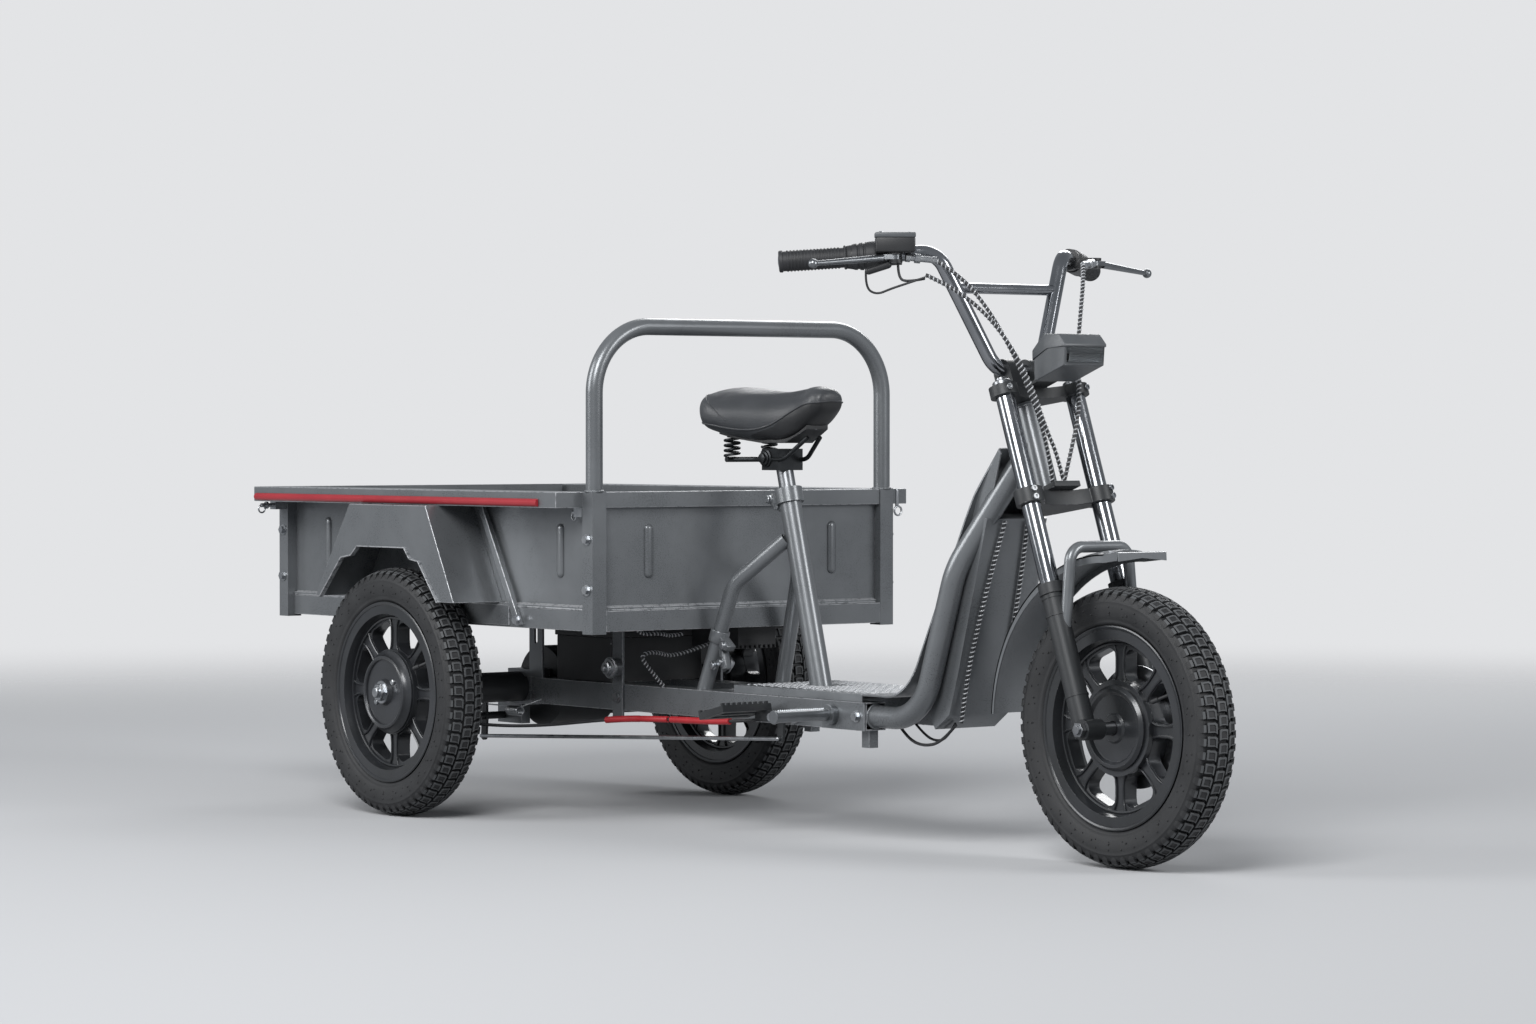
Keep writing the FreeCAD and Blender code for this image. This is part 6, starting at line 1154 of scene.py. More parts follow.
    def pip_ring(self, repeater: Repeater, side: int, radius: float, start: float) -> bpy.types.Mesh:
        """Sets a ring of small moulding pips on a side wall.

        Args:
            repeater: the tree that sets copies round the axle.
            side: -1 for the right, 1 for the left.
            radius: the ring's radius, in millimetres.
            start: the first pip's angle, in degrees.

        Returns:
            The mesh of the ring, about the wheel's centre.
        """
        outward = Matrix.Diagonal((1, side, 1, 1)) @ Matrix.Translation((0, self.pip_y * MM, radius * MM))
        pip = lathe(self.pip, 6, closed=False)
        pip = moved(pip, Matrix.Rotation(math.radians(start), 4, "Y") @ outward)
        if side < 0:
            pip.flip_normals()
        return repeater.copies(pip, self.pip_count, TYRE)


@dataclass
class Saddle:
    """The stuffed saddle cover with its piping and tail seam."""

    # Where the padding is thickest: place along the saddle, reach and rise
    fuller: Route = ((532, 52, 9.5), (780, 46, 9.0))
    # Points of the seams on the left half: place along the saddle, half width and height
    seam: Route = ((516, 62, 730), (545, 104, 718), (590, 106, 706), (640, 84, 697), (690, 60, 712),
                   (728, 50, 741), (756, 42, 753), (790, 28, 756))
    tail_seam: Route = ((614, 108, 722), (592, 106, 743), (556, 102, 762), (530, 74, 775), (520, 30, 778))
    tail: tuple[float, float, float] = (500, 0, 734)
    nose: tuple[float, float, float] = (812, 0, 757)
    nose_limit: tuple[float, float, float] = (830, 0, 757)
    nose_from: int = 3
    piping_r: float = 1.7
    tail_seam_r: float = 0.9
    seam_lift: float = 0.4
    swell_mm: float = 6.0
    shrink_mm: float = 3.0
    voxel_mm: float = 5.0
    pressure: float = 4.0
    frames: int = 20
    smoothing: int = 14

    def build(self) -> None:
        """Blows the cover up with cloth and sews its seams."""
        cover = new_object("saddle_cover", from_bmesh(solid_copy("saddle_cushion")), LEATHERETTE)
        remesh = cover.modifiers.new("remesh", "REMESH")
        remesh.mode = "VOXEL"
        remesh.voxel_size = self.voxel_mm * MM
        cover.data = baked(cover)
        self.fill_out(cover.data)
        self.stuff(cover)
        soften = cover.modifiers.new("smooth", "SMOOTH")
        soften.iterations = self.smoothing
        subdivide = cover.modifiers.new("subdivide", "SUBSURF")
        subdivide.levels = subdivide.render_levels = 1
        cover.data = baked(cover)
        cover.data.shade_smooth()
        fit(cover, "saddle", "saddle_skin", "saddle_cushion")
        cover.data.materials.append(PLASTIC.material())
        for face in cover.data.polygons:
            face.material_index = 1 if self.under_nose(face.center) else 0
        tree = BVHTree.FromPolygons([vert.co.copy() for vert in cover.data.vertices],
                                    [tuple(face.vertices) for face in cover.data.polygons])
        right, left = self.halves(self.seam)
        self.piping("saddle_piping", tree, [self.tail, *right, self.nose, *left], self.piping_r, True)
        right, left = self.halves(self.tail_seam)
        self.piping("saddle_tail_seam", tree, right + left, self.tail_seam_r, False)

    def halves(self, line: Route) -> tuple[list, list]:
        """Gives a seam's points on the right half, and on the left half in the opposite order."""
        return [(x, -half, z) for x, half, z in line], list(reversed(line))

    def normals(self, mesh: bpy.types.Mesh) -> list[Vector]:
        """Gives copies of a mesh's normals at its points."""
        return [normal.vector.copy() for normal in mesh.vertex_normals]

    def fill_out(self, mesh: bpy.types.Mesh) -> None:
        """Raises the tail and the nose, where the padding is thickest.

        Args:
            mesh: the cover's mesh.
        """
        for vert, normal in zip(mesh.vertices, self.normals(mesh)):
            for x, reach, lift in self.fuller:
                share = max(0.0, 1 - abs(vert.co.x / MM + MIDDLE_X - x) / reach)
                ease = share * share * (3 - 2 * share)
                vert.co += normal * lift * MM * ease * (0.3 + 0.7 * max(normal.z, 0.0))

    def under_nose(self, spot: Vector) -> bool:
        """Tells whether a point lies on the bare pan under the nose, below the seam.

        Args:
            spot: the point in the row frame.

        Returns:
            Whether it does.
        """
        x, z = spot.x / MM + MIDDLE_X, spot.z / MM
        line = self.seam[self.nose_from:] + (self.nose_limit,)
        for (start, _, low), (stop, _, high) in zip(line, line[1:]):
            if start <= x < stop:
                return z < low + (high - low) * (x - start) / (stop - start)
        return False

    def piping(self, name: str, tree: BVHTree, line: list[tuple[float, float, float]], radius: float,
               closed: bool) -> None:
        """Sews a corded seam on the cover.

        Args:
            name: the seam's name.
            tree: the cover's faces.
            line: points near the cover, in millimetres.
            radius: the cord's radius, in millimetres.
            closed: whether the seam runs all round.
        """
        guide = self.tube("seam_guide", [place(*spot) for spot in line], "NURBS", 0.0, closed)
        spots = []
        for vert in guide.vertices:
            nearest, normal, _, _ = tree.find_nearest(vert.co)
            spots.append(nearest + normal * self.seam_lift * MM)
        bpy.data.meshes.remove(guide)
        cord = self.tube(name, spots, "POLY", radius * MM, closed)
        cord.shade_smooth()
        dress(name, [cord], LEATHERETTE, "saddle", "saddle_skin")

    def tube(self, name: str, spots: list[Vector], kind: str, radius: float, closed: bool) -> bpy.types.Mesh:
        """Draws a line or a tube through points.

        Args:
            name: the mesh's name.
            spots: the points, in metres.
            kind: the kind of spline.
            radius: the tube's radius, or nothing for a bare line.
            closed: whether the end joins the start.

        Returns:
            The mesh.
        """
        holder = line_object(name, spots, kind, 4, 12, closed)
        holder.data.bevel_depth = radius
        holder.data.bevel_resolution = 2
        mesh = evaluated(holder)
        bpy.data.objects.remove(holder)
        return mesh

    def stuff(self, cover: bpy.types.Object) -> None:
        """Draws the cover in, swells it with cloth pressure, and holds it near its pattern.

        Args:
            cover: the cover.
        """
        rest = [vert.co.copy() for vert in cover.data.vertices]
        for vert, normal in zip(cover.data.vertices, self.normals(cover.data)):
            vert.co -= normal * self.shrink_mm * MM
        cloth = cover.modifiers.new("cloth", "CLOTH")
        cloth.settings.use_pressure = True
        cloth.settings.uniform_pressure_force = self.pressure
        cloth.settings.effector_weights.gravity = 0.0
        scene = bpy.context.scene
        for number in range(1, self.frames + 1):
            scene.frame_set(number)
        swollen = baked(cover)
        scene.frame_set(1)
        limit = self.swell_mm * MM
        for vert, blown, spot in zip(cover.data.vertices, swollen.vertices, rest):
            away = blown.co - spot
            vert.co = spot + (away if away.length <= limit else away * (limit / away.length))
        bpy.data.meshes.remove(swollen)


@dataclass
class WheelTrim:
    """Relief, side-wall nibs, valve and bright fasteners of one cast wheel."""

    body: str
    centre: tuple[float, float]
    outward: int
    rear: bool
    spokes: int = 8
    rim_lip: Outline = ((30.4, 158.5), (32.6, 160.2), (33.4, 163.2), (32.6, 165.4), (30.4, 164.4))
    rim_step: Outline = ((12.0, 133.0), (16.4, 134.0), (16.8, 137.0), (12.0, 141.0))
    cover_edge: Outline = ((35.5, 59.0), (37.8, 60.2), (39.0, 63.0), (38.0, 66.2), (35.5, 67.6))
    # A spoke's half width by radius, and the section of the ridge along its edge
    spoke_line: Outline = ((76.0, 13.0), (84.0, 9.6), (96.0, 8.2), (112.0, 8.2), (124.0, 9.8), (133.0, 14.0))
    ridge: Outline = ((-2.2, 11.0), (-1.7, 14.6), (-0.2, 15.4), (1.3, 14.6), (1.9, 11.0))
    # Rings of nibs: how many, radius and distance from the wheel's middle
    nib_rings: Route = ((40, 195.75, 38.4), (28, 186.5, 37.9))
    valve: Outline = ((0, 0), (0, 4.2), (9, 4.0), (10, 2.8), (26, 2.6), (27, 4.0), (38, 4.0), (39.5, 2.8),
                      (39.5, 0))
    valve_turn: float = math.radians(64)
    valve_lean: float = 0.55
    nut_face: float = 41.0
    washer: Outline = ((-0.4, 0), (-0.4, 21.0), (1.4, 20.6), (1.4, 0))
    nut: Outline = ((0, 0), (0, 17.7), (8, 17.7), (9.4, 15.4), (9.4, 0))
    shaft_end: Outline = ((9, 10.3), (14, 10.3), (15.4, 8.4), (15.8, 4.0), (15.8, 0))
    screw: Outline = ((33.8, 0), (33.8, 5.6), (36.4, 5.4), (37.6, 3.6), (37.6, 0))
    screw_r: float = 33.0

    def build(self, repeater: Repeater) -> None:
        """Adds what the casting, the tyre's side and the fasteners show.

        Args:
            repeater: the tree that sets copies round the axle.
        """
        home = Matrix.Translation(place(*self.centre, AXLE_Z))
        rings = [(self.rim_lip, side) for side in SIDES]
        if self.rear:
            rings.append((self.cover_edge, self.outward))
        rings += [(self.rim_step, side) for side in SIDES]
        relief = [repeater.copies(self.spoke_ridges(), self.spokes, CASTING)]
        for outline, side in rings:
            relief.append(smooth(lathe([(side * y, radius) for y, radius in outline], 96)))
        dress(self.body + "_relief", [moved(joined(relief), home)], CASTING, self.body, "black_casting")
        nibs = []
        for count, radius, out in self.nib_rings:
            for side in SIDES:
                nib = moved(capsule(1.5, 4.0), Matrix.Translation((0, side * out * MM, radius * MM)))
                nibs.append(repeater.copies(nib, count, TYRE))
        dress(self.body + "_nibs", [moved(joined(nibs), home)], TYRE, self.body, "tyre_rubber")
        lean = Vector((0, self.valve_lean * self.outward, -1)).normalized()
        spot = set_at(Vector((0, 16 * MM * self.outward, 141 * MM)), lean)
        valve = smooth(lathe(self.valve, 14, closed=False))
        valve = moved(valve, home @ Matrix.Rotation(self.valve_turn, 4, "Y") @ spot)
        dress(self.body + "_valve", [valve], RUBBER, self.body, "black_rubber")
        if self.rear:
            self.axle_end(home @ turned_to(ACROSS * self.outward))

    def spoke_ridges(self) -> bpy.types.Mesh:
        """Makes the raised borders of one spoke on both faces, flared at hub and rim.

        Returns:
            The mesh, about the wheel's centre.
        """
        shape = bmesh.new()
        for face in SIDES:
            for edge in SIDES:
                rings = []
                for radius, half in self.spoke_line:
                    spots = [(edge * (half + a) * MM, face * b * MM, radius * MM) for a, b in self.ridge]
                    rings.append([shape.verts.new(spot) for spot in spots])
                bridge(shape, rings)
        return smooth(from_bmesh(shape), 50)

    def axle_end(self, home: Matrix) -> None:
        """Adds the plated hub nut, washer, shaft end and two cover screws.

        Args:
            home: the wheel's place, with the Y axis outwards.
        """
        stack = []
        outlines = ((self.washer, 32, SHARP), (self.nut, 6, 20), (self.shaft_end, 24, 40))
        for outline, steps, degrees in outlines:
            section = [(self.nut_face + y, radius) for y, radius in outline]
            stack.append(smooth(lathe(section, steps, closed=False), degrees))
        dress(self.body + "_axle_nut", [moved(joined(stack), home)], ZINC, self.body, "zinc_plate")
        screws = []
        for turn in (35, 215):
            spot = Matrix.Rotation(math.radians(turn), 4, "Y") @ Matrix.Translation((0, 0, self.screw_r * MM))
            screws.append(moved(smooth(lathe(self.screw, 12, closed=False)), home @ spot))
        dress(self.body + "_cover_screws", screws, ZINC, self.body, "zinc_plate")


@dataclass
class TreadPlate:
    """Raised marks on the foot platform."""

    top: float = 260.0
    step: float = 23.0
    rows: int = 9
    row_gap: float = 22.0
    # Where rows of marks start, and how many there are: in a clear row, and in one that the seat tube breaks
    clear_runs: Outline = ((670.0, 15),)
    broken_runs: Outline = ((670.0, 3), (808.0, 9))
    broken_half: float = 32.0
    edge: float = 100.0
    flatness: float = 0.62

    def build(self, repeater: Repeater) -> None:
        """Sets rows of crossed marks, clear of the seat tube.

        Args:
            repeater: the tree that sets copies along the platform.
        """
        meshes = []
        half_gap = self.row_gap / 2
        flat = Matrix.Diagonal((1, 1, self.flatness, 1))
        for row in range(self.rows):
            y = (row - (self.rows - 1) / 2) * self.row_gap
            for start, count in self.broken_runs if abs(y) < self.broken_half else self.clear_runs:
                for offset, turn in ((0.0, 45.0), (self.step / 2, -45.0)):
                    shift = half_gap if turn < 0 and abs(y + half_gap) < self.edge else 0.0
                    mark = moved(capsule(2.6, 17.0), Matrix.Rotation(math.radians(turn), 4, "Z") @ flat)
                    centre = place(start + offset, y + shift, self.top)
                    meshes.append(repeater.copies(mark, count, RUBBED_AND_LIT_MARKS, FORWARD, centre, self.step))
        # The marks wear the paler finish: partly rubbed by shoes, partly painted highlight
        dress("platform_marks", meshes, RUBBED_AND_LIT_MARKS, "frame", "tread_plate")


@dataclass
class PressedRibs:
    """Pill-shaped pressings on the box panels."""

    z: float = 494.0
    length: float = 96.0
    width: float = 19.0
    proud: float = 6.4
    side_x: tuple[float, float] = (-335.0, 427.0)
    side_y: float = 320.0
    front_x: float = 534.0
    front_y: float = 207.0

    def build(self) -> None:
        """Adds two pressings to the right, left and front panels."""
        pills = []
        for x in self.side_x:
            pills += [(place(x, side * self.side_y, self.z), (self.width / 2, self.proud)) for side in SIDES]
        for side in SIDES:
            pills.append((place(self.front_x, side * self.front_y, self.z), (self.proud, self.width / 2)))
        meshes = []
        for spot, (half_x, half_y) in pills:
            flat = Matrix.Diagonal((2 * half_x / self.width, 2 * half_y / self.width, 1, 1))
            pill = capsule(self.width / 2, self.length)
            meshes.append(moved(pill, Matrix.Translation(spot) @ flat @ turned_to(UP)))
        dress("panel_pressings", meshes, GREY_PAINT, "frame", "grey_paint")


@dataclass
class GripRibs:
    """Ribs, collars, end caps and plugs of the grips, and teeth of the pegs."""

    rib: Outline = ((-1.7, 16.2), (-1.2, 17.6), (1.2, 17.6), (1.7, 16.2))
    rib_count: int = 16
    rib_step: float = 5.6
    rib_start: float = 8.0
    collar: Outline = ((100.5, 16.0), (101.0, 19.2), (103.0, 20.0), (105.0, 19.2), (105.5, 16.0))
    cap: Outline = ((-6.6, 0), (-6.6, 15.6), (-5.4, 17.9), (-1.0, 18.3), (0.4, 16.4))
    plug: Outline = ((-5.8, 0), (-7.6, 0.1), (-7.8, 4.0), (-7.0, 9.6), (-6.2, 12.0), (-5.8, 12.0))
    peg: tuple[float, float, float] = (935.0, 134.0, 232.8)
    tooth_count: int = 24
    tooth_step: float = 4.2

    def build(self, repeater: Repeater) -> None:
        """Adds ribs to both grips and teeth to both pegs.

        Args:
            repeater: the tree that sets copies along an axis.
        """
        for side, body, name in ((-1, "throttle_grip", "right_grip_ribs"), (1, "steering", "left_grip_ribs")):
            end, inward = grip_line(side)
            ring = moved(smooth(lathe(self.rib, 28)), turned_to(inward))
            start = end + inward * self.rib_start * MM
            ribs = repeater.copies(ring, self.rib_count, RUBBER, inward, start, self.rib_step)
            collar = turned(self.collar, 32, end, inward, closed=True)
            cap = turned(self.cap, 32, end, inward)
            dress(f"{body}_end_plug", [turned(self.plug, 32, end, inward)], LEVER_ALLOY, body, "plain_steel")
            dress(name, [ribs, collar, cap], RUBBER, body, "black_rubber")
        x, y, z = self.peg
        for side, name in ((-1, "right_peg_teeth"), (1, "left_peg_teeth")):
            tooth = bmesh.new()
            bmesh.ops.create_cone(tooth, cap_ends=True, segments=4, radius1=2.3 * MM, radius2=0.6 * MM,
                                  depth=3.0 * MM)
            teeth = repeater.copies(from_bmesh(tooth), self.tooth_count, PEG_METAL, ACROSS * side,
                                    place(x, side * y, z), self.tooth_step)
            dress(name, [teeth], PEG_METAL, "frame", "black_rubber")


@dataclass
class WeldBeads:
    """Rippled beads where tubes are welded on."""

    # The hoop's foot and the down tube's end on the left, each with the radius of its bead
    hoop: tuple[float, float, float] = (535.0, 325.0, 600.0)
    hoop_r: float = 15.4
    down_tube: tuple[float, float, float] = (1021.4, 88.0, 222.0)
    down_tube_r: float = 19.4
    scale_gap: float = 3.2

    def build(self, repeater: Repeater) -> None:
        """Lays a ring of small scales round each joint.

        Args:
            repeater: the tree that sets copies round an axis.
        """
        meshes = []
        joints = ((self.hoop, UP, self.hoop_r), (self.down_tube, FORWARD, self.down_tube_r))
        for (x, y, z), axis, radius in joints:
            across = axis.orthogonal().normalized()
            count = int(math.tau * radius / self.scale_gap)
            for side in SIDES:
                scale = moved(capsule(2.4, 6.4), set_at(across * radius * MM, axis.cross(across)))
                meshes.append(repeater.copies(scale, count, GREY_PAINT, axis, place(x, side * y, z)))
        dress("weld_beads", meshes, GREY_PAINT, "frame", "grey_paint")


@dataclass
class ForkTrim:
    """Caps, bolts and rings on the fork crowns and legs."""

    cap: Outline = ((0, 0), (-1.0, 16.4), (3.0, 16.2), (4.6, 14.6), (4.6, 9.6), (9.6, 9.2), (10.2, 8.0),
                    (10.2, 0))
    cap_at: float = 595.0
    bolt: Outline = ((0, 0), (0, 5.2), (5.0, 5.2), (5.8, 4.4), (5.8, 2.6), (3.4, 2.4), (3.4, 0))
    bolts_at: tuple[float, ...] = (392.0, 406.0, 582.0)
    bolt_ahead: float = 21.5
    bolt_y: float = 84.0
    bolt_splay: float = 0.25
    ring: Outline = ((-2.0, 18.0), (-1.6, 19.6), (1.6, 19.6), (2.0, 18.0))
    rings_at: tuple[float, ...] = (60.0, 196.0, 226.0)

    def build(self) -> None:
        """Adds plated leg caps and pinch bolts, and rings on the sliders and seals."""
        foot = fork_point(0, 0, 0)
        along = (fork_point(100, 0, 0) - foot).normalized()
        ahead = (fork_point(0, 100, 0) - foot).normalized()
        caps, bolts, rings = [], [], []
        for side in SIDES:
            leg = side * LEG_Y
            caps.append(turned(self.cap, 32, fork_point(self.cap_at, 0, leg), along))
            out = (ahead + ACROSS * self.bolt_splay * side).normalized()
            for at in self.bolts_at:
                bolts.append(turned(self.bolt, 12, fork_point(at, self.bolt_ahead, side * self.bolt_y), out))
            for at in self.rings_at:
                rings.append(turned(self.ring, 32, fork_point(at, 0, leg), along, closed=True))
        dress("leg_caps", caps, STEEL, "steering", "plain_steel")
        dress("crown_bolts", bolts, ZINC, "steering", "zinc_plate")
        dress("slider_rings", rings, DARK_PAINT, "fork_lower", "dark_paint")


@dataclass
class SmallFittings:
    """Fittings of the bars, headlight, seat, box panels, rear mudguards, hangers and brake cable."""

    # The headlight's lid from the side, measured from the front axle
    lid: Outline = ((-97.4, 842.0), (-97.4, 847.0), (-113.4, 863.6), (-150.6, 863.6), (-178.2, 836.8),
                    (-177.8, 820.0), (-142.0, 842.0))
    lid_half: float = 45.6
    arch: Outline = ((198.0, 398.0), (137.0, 470.0), (109.0, 474.0), (91.0, 494.0), (-65.0, 494.0),
                     (-86.0, 477.0), (-120.0, 472.0), (-193.0, 398.0))
    arch_out: float = 427.0
    reservoir_lid: tuple[float, float, float] = (64.0, 38.0, 6.0)
    reservoir_screw: Outline = ((-2, 0), (-2, 4.0), (1.6, 4.0), (2.8, 2.6), (2.8, 0))
    bell: Outline = ((104, 17.0), (106, 18.8), (113, 19.8), (119, 21.6), (122, 21.8), (123.2, 20.6),
                     (126, 20.6), (127, 22.2), (132, 22.8), (133.2, 21.6), (136, 21.6), (137, 23.0),
                     (148, 24.2), (156, 23.6), (159, 21.8), (160, 18.0))
    # The ledge of the panels: slope in degrees, width and thickness
    ledge: tuple[float, float, float] = (51.0, 10.4, 2.2)
    ledge_z: float = 395.0
    band: Outline = ((-11, 13.6), (-11, 16.6), (-9.6, 17.4), (9.6, 17.4), (11, 16.6), (11, 13.6))
    clamp_nut: Outline = ((-1, 0), (-1, 15.5), (2, 16), (3, 13), (6, 12.6), (6.8, 9), (11, 8.6), (12, 5),
                          (12, 0))
    seat_bolt: Outline = ((-4, 0), (-4, 6.6), (0, 8.2), (1.2, 8.2), (1.6, 6.4), (6.0, 6.2), (7.0, 5.0),
                          (7.0, 0))
    seat_bolts: Route = ((600, -90, 326), (590, -88, 296), (578, -96, 290), (630, -11, 584), (655, -11, 572))
    hanger_bolt: Outline = ((-2, 0), (-2, 19.5), (1.4, 19.5), (2, 16.4), (4, 16), (4.6, 11.8), (11, 11.4),
                            (12, 9), (12, 5.6), (17, 5.4), (18, 4), (18, 0))

    def build(self) -> None:
        """Adds the fittings one after another."""
        self.reservoir()
        self.arch_lips()
        self.tie_ring()
        self.ledges()
        self.throttle_bell()
        self.adjusters()
        self.headlight_lid()
        self.seat_clamps()
        self.hanger_bolts()
        self.sleeve()

    def throttle_bell(self) -> None:
        """Adds the bell-shaped housing with rings at the throttle's inner end."""
        bell = turned(self.bell, 40, *grip_line(-1), closed=True, degrees=40)
        dress("throttle_bell", [bell], RUBBER, "steering", "black_rubber")

    def adjusters(self) -> None:
        """Adds a plated adjuster where each upper cable leaves its lever, and the lever's switch."""
        meshes = []
        for side in SIDES:
            start, stop = place(1240, side * 206, 989), place(1266, side * 161, 984)
            run = (stop - start).length / MM
            outline = ((0, 0), (0, 7.4), (7, 7.4), (8, 5.2), (14, 5.2), (15, 7.8), (24, 7.8), (25, 5.0),
                       (run - 8, 5.0), (run - 7, 6.4), (run - 1, 6.0), (run, 4.4), (run, 0))
            meshes.append(turned(outline, 18, start, stop - start))
        dress("cable_adjusters", meshes, ZINC, "steering", "zinc_plate")
        switch = moved(capsule(6.5, 46.0), set_at(place(1216, -244, 972), Vector((17, 30, 11))))
        dress("lever_switch", [switch], PLASTIC, "steering", "black_plastic")

    def headlight_lid(self) -> None:
        """Lays a lid over the headlight, a little proud of its shell."""
        shape = bmesh.new()
        sides = []
        for side in SIDES:
            spots = [place(WHEELBASE + x, side * self.lid_half, z) for x, z in self.lid]
            sides.append([shape.verts.new(spot) for spot in spots])
        bridge(shape, sides, caps=False)
        for ring in sides:
            shape.faces.new(ring)
        bmesh.ops.bevel(shape, geom=list(shape.edges), offset=1.6 * MM, segments=2, profile=0.5,
                        affect="EDGES")
        dress("headlight_lid", [smooth(from_bmesh(shape))], LAMP_SHELL, "steering", "black_plastic")

    def reservoir(self) -> None:
        """Lays a moulded shell over the brake fluid reservoir, and a lid with two screws."""
        spots = [vert.co for vert in frame["nodes"]["bar_controls"].data.vertices if vert.co.y < 0]
        top = max(spot.z for spot in spots)
        corners = [spot for spot in spots if spot.z > top - MM / 2]
        centre = sum(corners, Vector()) / len(corners)
        length, depth, height = self.reservoir_lid
        edges = [spot - corners[0] for spot in corners]
        along = next(edge for edge in edges if abs(edge.length - length * MM) < MM)
        turn = Matrix.Translation(centre) @ Matrix.Rotation(math.atan2(along.y, along.x), 4, "Z")
        shell = plate(place(MIDDLE_X, 0, -18.75), (length + 1, depth + 1, 25.5), rounding=0.13)
        dress("reservoir_shell", [moved(shell, turn)], PLASTIC, "steering", "black_plastic")
        cap = plate(place(MIDDLE_X, 0, -height / 2), (length + 2.4, depth + 2.4, height + 2.4))
        dress("reservoir_cap", [moved(cap, turn)], LAMP_SHELL, "steering", "black_plastic")
        screws = []
        for side in SIDES:
            spot = set_at(Vector((side * 24 * MM, side * 11 * MM, 0)), UP)
            screws.append(moved(smooth(lathe(self.reservoir_screw, 14, closed=False)), turn @ spot))
        dress("reservoir_screws", screws, ZINC, "steering", "zinc_plate")

    def tie_ring(self) -> None:
        """Hangs a pin and a ring at the front end of the left rail."""
        turns = [math.tau * step / 12 for step in range(12)]
        wire = [(1.9 * math.cos(turn), 8.4 + 1.9 * math.sin(turn)) for turn in turns]
        pin = moved(capsule(3.4, 34.0), set_at(place(552.5, 347, 583), UP))
        ring = turned(wire, 28, place(553, 349, 559), FORWARD, closed=True, degrees=60)
        dress("tie_ring", [pin, ring], ZINC, "frame", "zinc_plate")

    def ledges(self) -> None:
        """Lays a sloping ledge along the foot of the front and side panels."""
        slope, width, sheet = self.ledge
        strips = [plate(place(537.4, 0, self.ledge_z), (width, 612.0, sheet), slope)]
        for side in SIDES:
            turn = Matrix.Rotation(math.radians(-side * slope), 4, "X")
            spot = Matrix.Translation(place(37.5, side * 323.4, self.ledge_z))
            strips.append(moved(plate(ORIGIN, (965.0, width, sheet)), spot @ turn))
        # The ledges wear the paint's pale edge finish: partly wear, partly painted highlight from light above
        dress("panel_ledges", strips, GREY_PAINT.edge(), "frame", "grey_paint")

    def arch_lips(self) -> None:
        """Turns the edge of each rear mudguard's arch outwards."""
        strips = []
        for side in SIDES:
            for start, stop in zip(self.arch, self.arch[1:]):
                middle = place((start[0] + stop[0]) / 2, side * self.arch_out, (start[1] + stop[1]) / 2)
                pitch = -math.degrees(math.atan2(stop[1] - start[1], stop[0] - start[0]))
                strips.append(plate(middle, (math.dist(start, stop) + 1.6, 9.0, 2.4), pitch))
        # The lips wear the paint's pale edge finish: partly wear, partly painted highlight along the folded
        # edge
        dress("arch_lips", strips, GREY_PAINT.edge(), "frame", "grey_paint")

    def seat_clamps(self) -> None:
        """Adds the band and ear on the right brace, the ears of the seat clamp, and their bolts."""
        high, low = place(605, -72, 434), place(540, -88, 243.5)
        along = (high - low).normalized()
        band = turned(self.band, 32, low + along * 104 * MM, along, closed=True)
        ear = plate(place(594, -80, 330), (34, 20, 12), 38)
        tail = plate(place(590, -80, 302), (12, 16, 40), -14)
        clamp = plate(place(645, 0, 577), (48, 22, 18), 24)
        dress("seat_brackets", [band, ear, tail, clamp], GREY_PAINT, "frame", "grey_paint")
        nuts = [turned(self.clamp_nut, 20, place(642, side * 28, 657), ACROSS * side) for side in SIDES]
        dress("saddle_clamp_nuts", nuts, BLACKED, "saddle", "plain_steel")
        heads = [turned(self.seat_bolt, 12, place(*spot), -ACROSS) for spot in self.seat_bolts]
        dress("seat_bolts", heads, ZINC, "frame", "zinc_plate")

    def hanger_bolts(self) -> None:
        """Adds the large bolt with washers at the foot of each front hanger."""
        bolts = [turned(self.hanger_bolt, 24, place(316, side * 132, 276), ACROSS * side) for side in SIDES]
        dress("hanger_bolts", bolts, ZINC, "frame", "zinc_plate")

    def sleeve(self) -> None:
        """Draws the red sleeve back along the brake cable as far as the hanger."""
        start, stop = place(384, -132.2, 187.3), place(486, -127.4, 190.8)
        run = (stop - start).length / MM
        outline = ((0, 3.0), (0, 5.2), (1, 5.7), (run - 1, 5.7), (run, 5.2), (run, 3.0))
        tube = turned(outline, 20, start, stop - start, closed=True)
        dress("sleeve_tail", [tube], RED_SLEEVE, "frame", "red_sleeve")


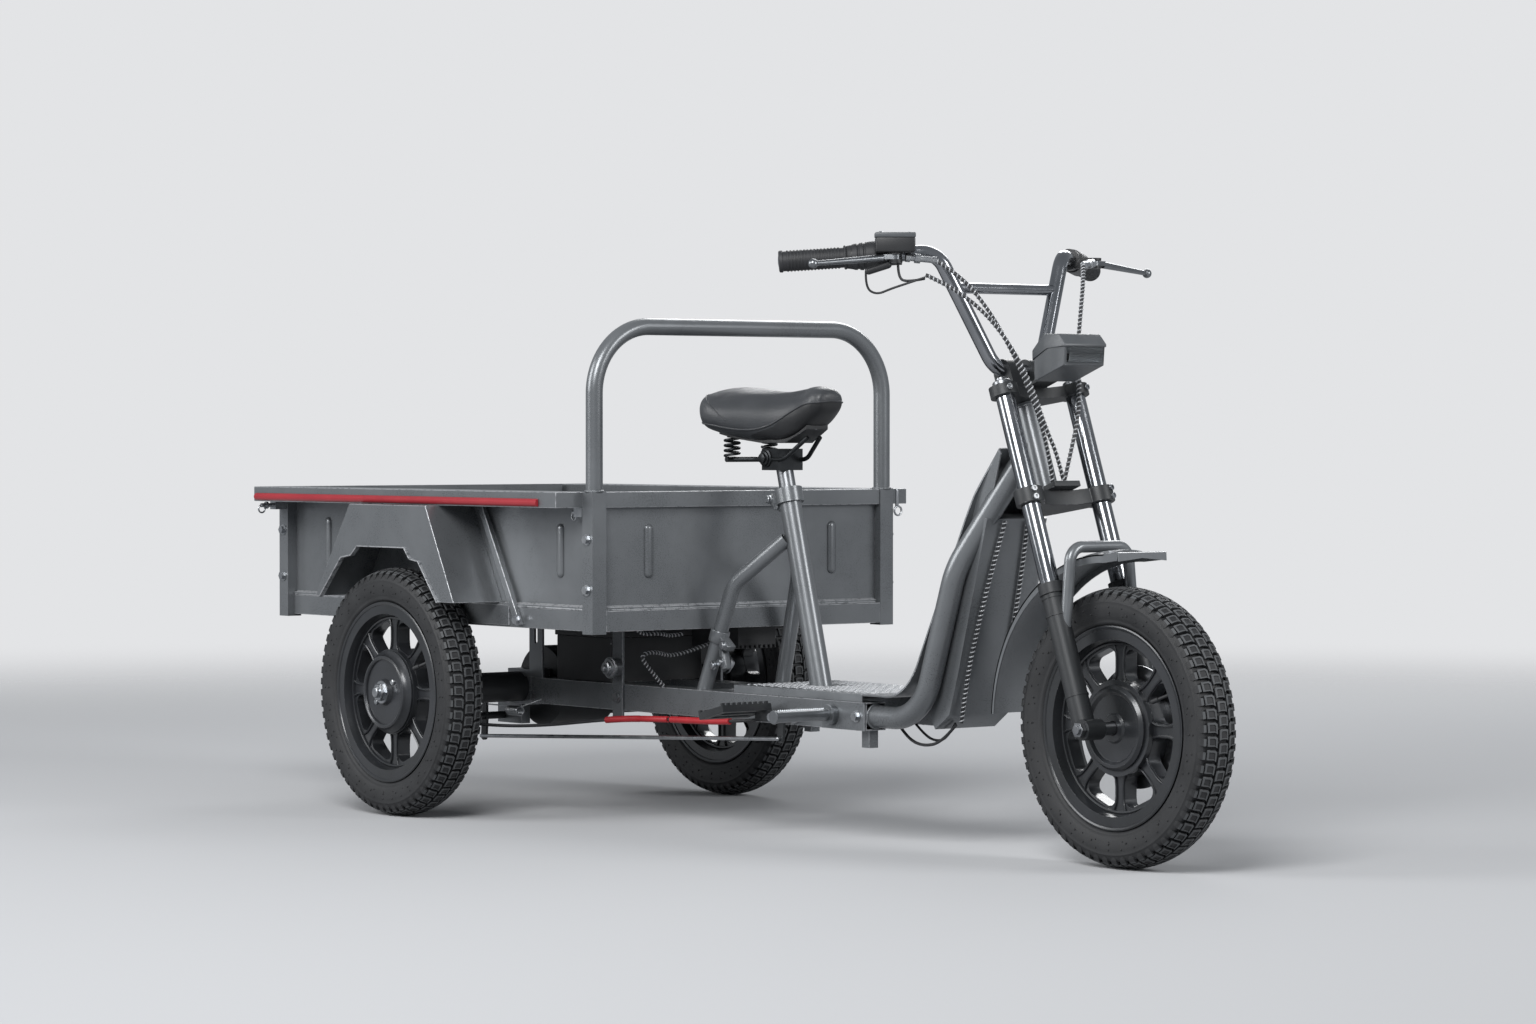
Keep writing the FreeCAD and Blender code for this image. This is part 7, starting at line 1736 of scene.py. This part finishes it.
@dataclass
class MudguardFlange:
    """The turned-down edges and front lip of the front mudguard."""

    node: str = "front_mudguard"
    narrowest: float = 44.5
    sheet: float = 2.2
    depths: tuple[float, float] = (6.0, 14.0)
    lip: float = 15.0
    lip_arch: float = 5.0
    lip_steps: int = 6
    bin_degrees: float = 3.0

    def edge_line(self) -> list[Vector]:
        """Finds the sheet's outer right edge.

        Returns:
            Its points about the axle, from the front tip to the rear.
        """
        centre = place(WHEELBASE, 0, AXLE_Z)
        found: dict[int, tuple[tuple[float, float], Vector]] = {}
        for vert in frame["nodes"][self.node].data.vertices:
            away = vert.co - centre
            turn = round(math.degrees(math.atan2(away.z, away.x)) / self.bin_degrees)
            rank = (round(away.y, 4), -math.hypot(away.x, away.z))
            if away.y < -self.narrowest * MM and (turn not in found or rank < found[turn][0]):
                found[turn] = (rank, away)
        return [found[turn][1] for turn in sorted(found)]

    def build(self) -> None:
        """Folds both edges down and turns the tip over."""
        centre = place(WHEELBASE, 0, AXLE_Z)
        line = self.edge_line()
        rear, front = self.depths
        shape = bmesh.new()
        for side in SIDES:
            rings = []
            for index, away in enumerate(line):
                drop = (front + (rear - front) * index / (len(line) - 1)) * MM
                shrink = 1 - drop / math.hypot(away.x, away.z)
                outer, inner = -side * away.y, -side * (away.y + self.sheet * MM)
                section = ((1, outer), (1, inner), (shrink, inner), (shrink, outer))
                spots = [Vector((away.x * size, wall, away.z * size)) for size, wall in section]
                rings.append([centre + spot for spot in spots])
            self.strip(shape, rings)
        tip = centre + line[0]
        rings = []
        for step in range(2 * self.lip_steps + 1):
            share = step / self.lip_steps - 1
            low = (self.lip - self.lip_arch * (1 - abs(share))) * MM
            section = ((-0.6, 0.0), (2.4, -1.2 * MM), (3.0, -low), (0.8, -low))
            y = share * tip.y
            rings.append([Vector((tip.x + ahead * MM, y, tip.z + down)) for ahead, down in section])
        self.strip(shape, rings)
        mesh = smooth(from_bmesh(shape))
        dress("mudguard_flange", [mesh], GREY_PAINT, NODE_BODY[self.node], "grey_paint")

    def strip(self, shape: bmesh.types.BMesh, rings: list[list[Vector]]) -> None:
        """Adds a closed bar through a row of sections in metres."""
        bridge(shape, [[shape.verts.new(spot) for spot in ring] for ring in rings])


def main() -> None:
    """Builds the studio and dresses the tricycle, sub-assembly by sub-assembly."""
    logging.basicConfig(level=logging.INFO)
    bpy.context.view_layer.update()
    Studio().build()
    repeater, spiral = Repeater(), Spiral()
    Bodywork().build()
    for cable in CABLES:
        cable.build(spiral)
    for node, body, centre in (("front_tyre", "front_wheel", (WHEELBASE, 0.0)),
                               ("rear_right_tyre", "rear_right_wheel", (0.0, -HALF_TRACK)),
                               ("rear_left_tyre", "rear_left_wheel", (0.0, HALF_TRACK))):
        Tyre(node, body, centre).build(repeater)
        WheelTrim(body, centre, 1 if centre[1] > 0 else -1, centre[0] == 0.0).build(repeater)
    Saddle().build()
    TreadPlate().build(repeater)
    PressedRibs().build()
    GripRibs().build(repeater)
    WeldBeads().build(repeater)
    ForkTrim().build()
    SmallFittings().build()
    MudguardFlange().build()


if __name__ == "__main__":
    main()
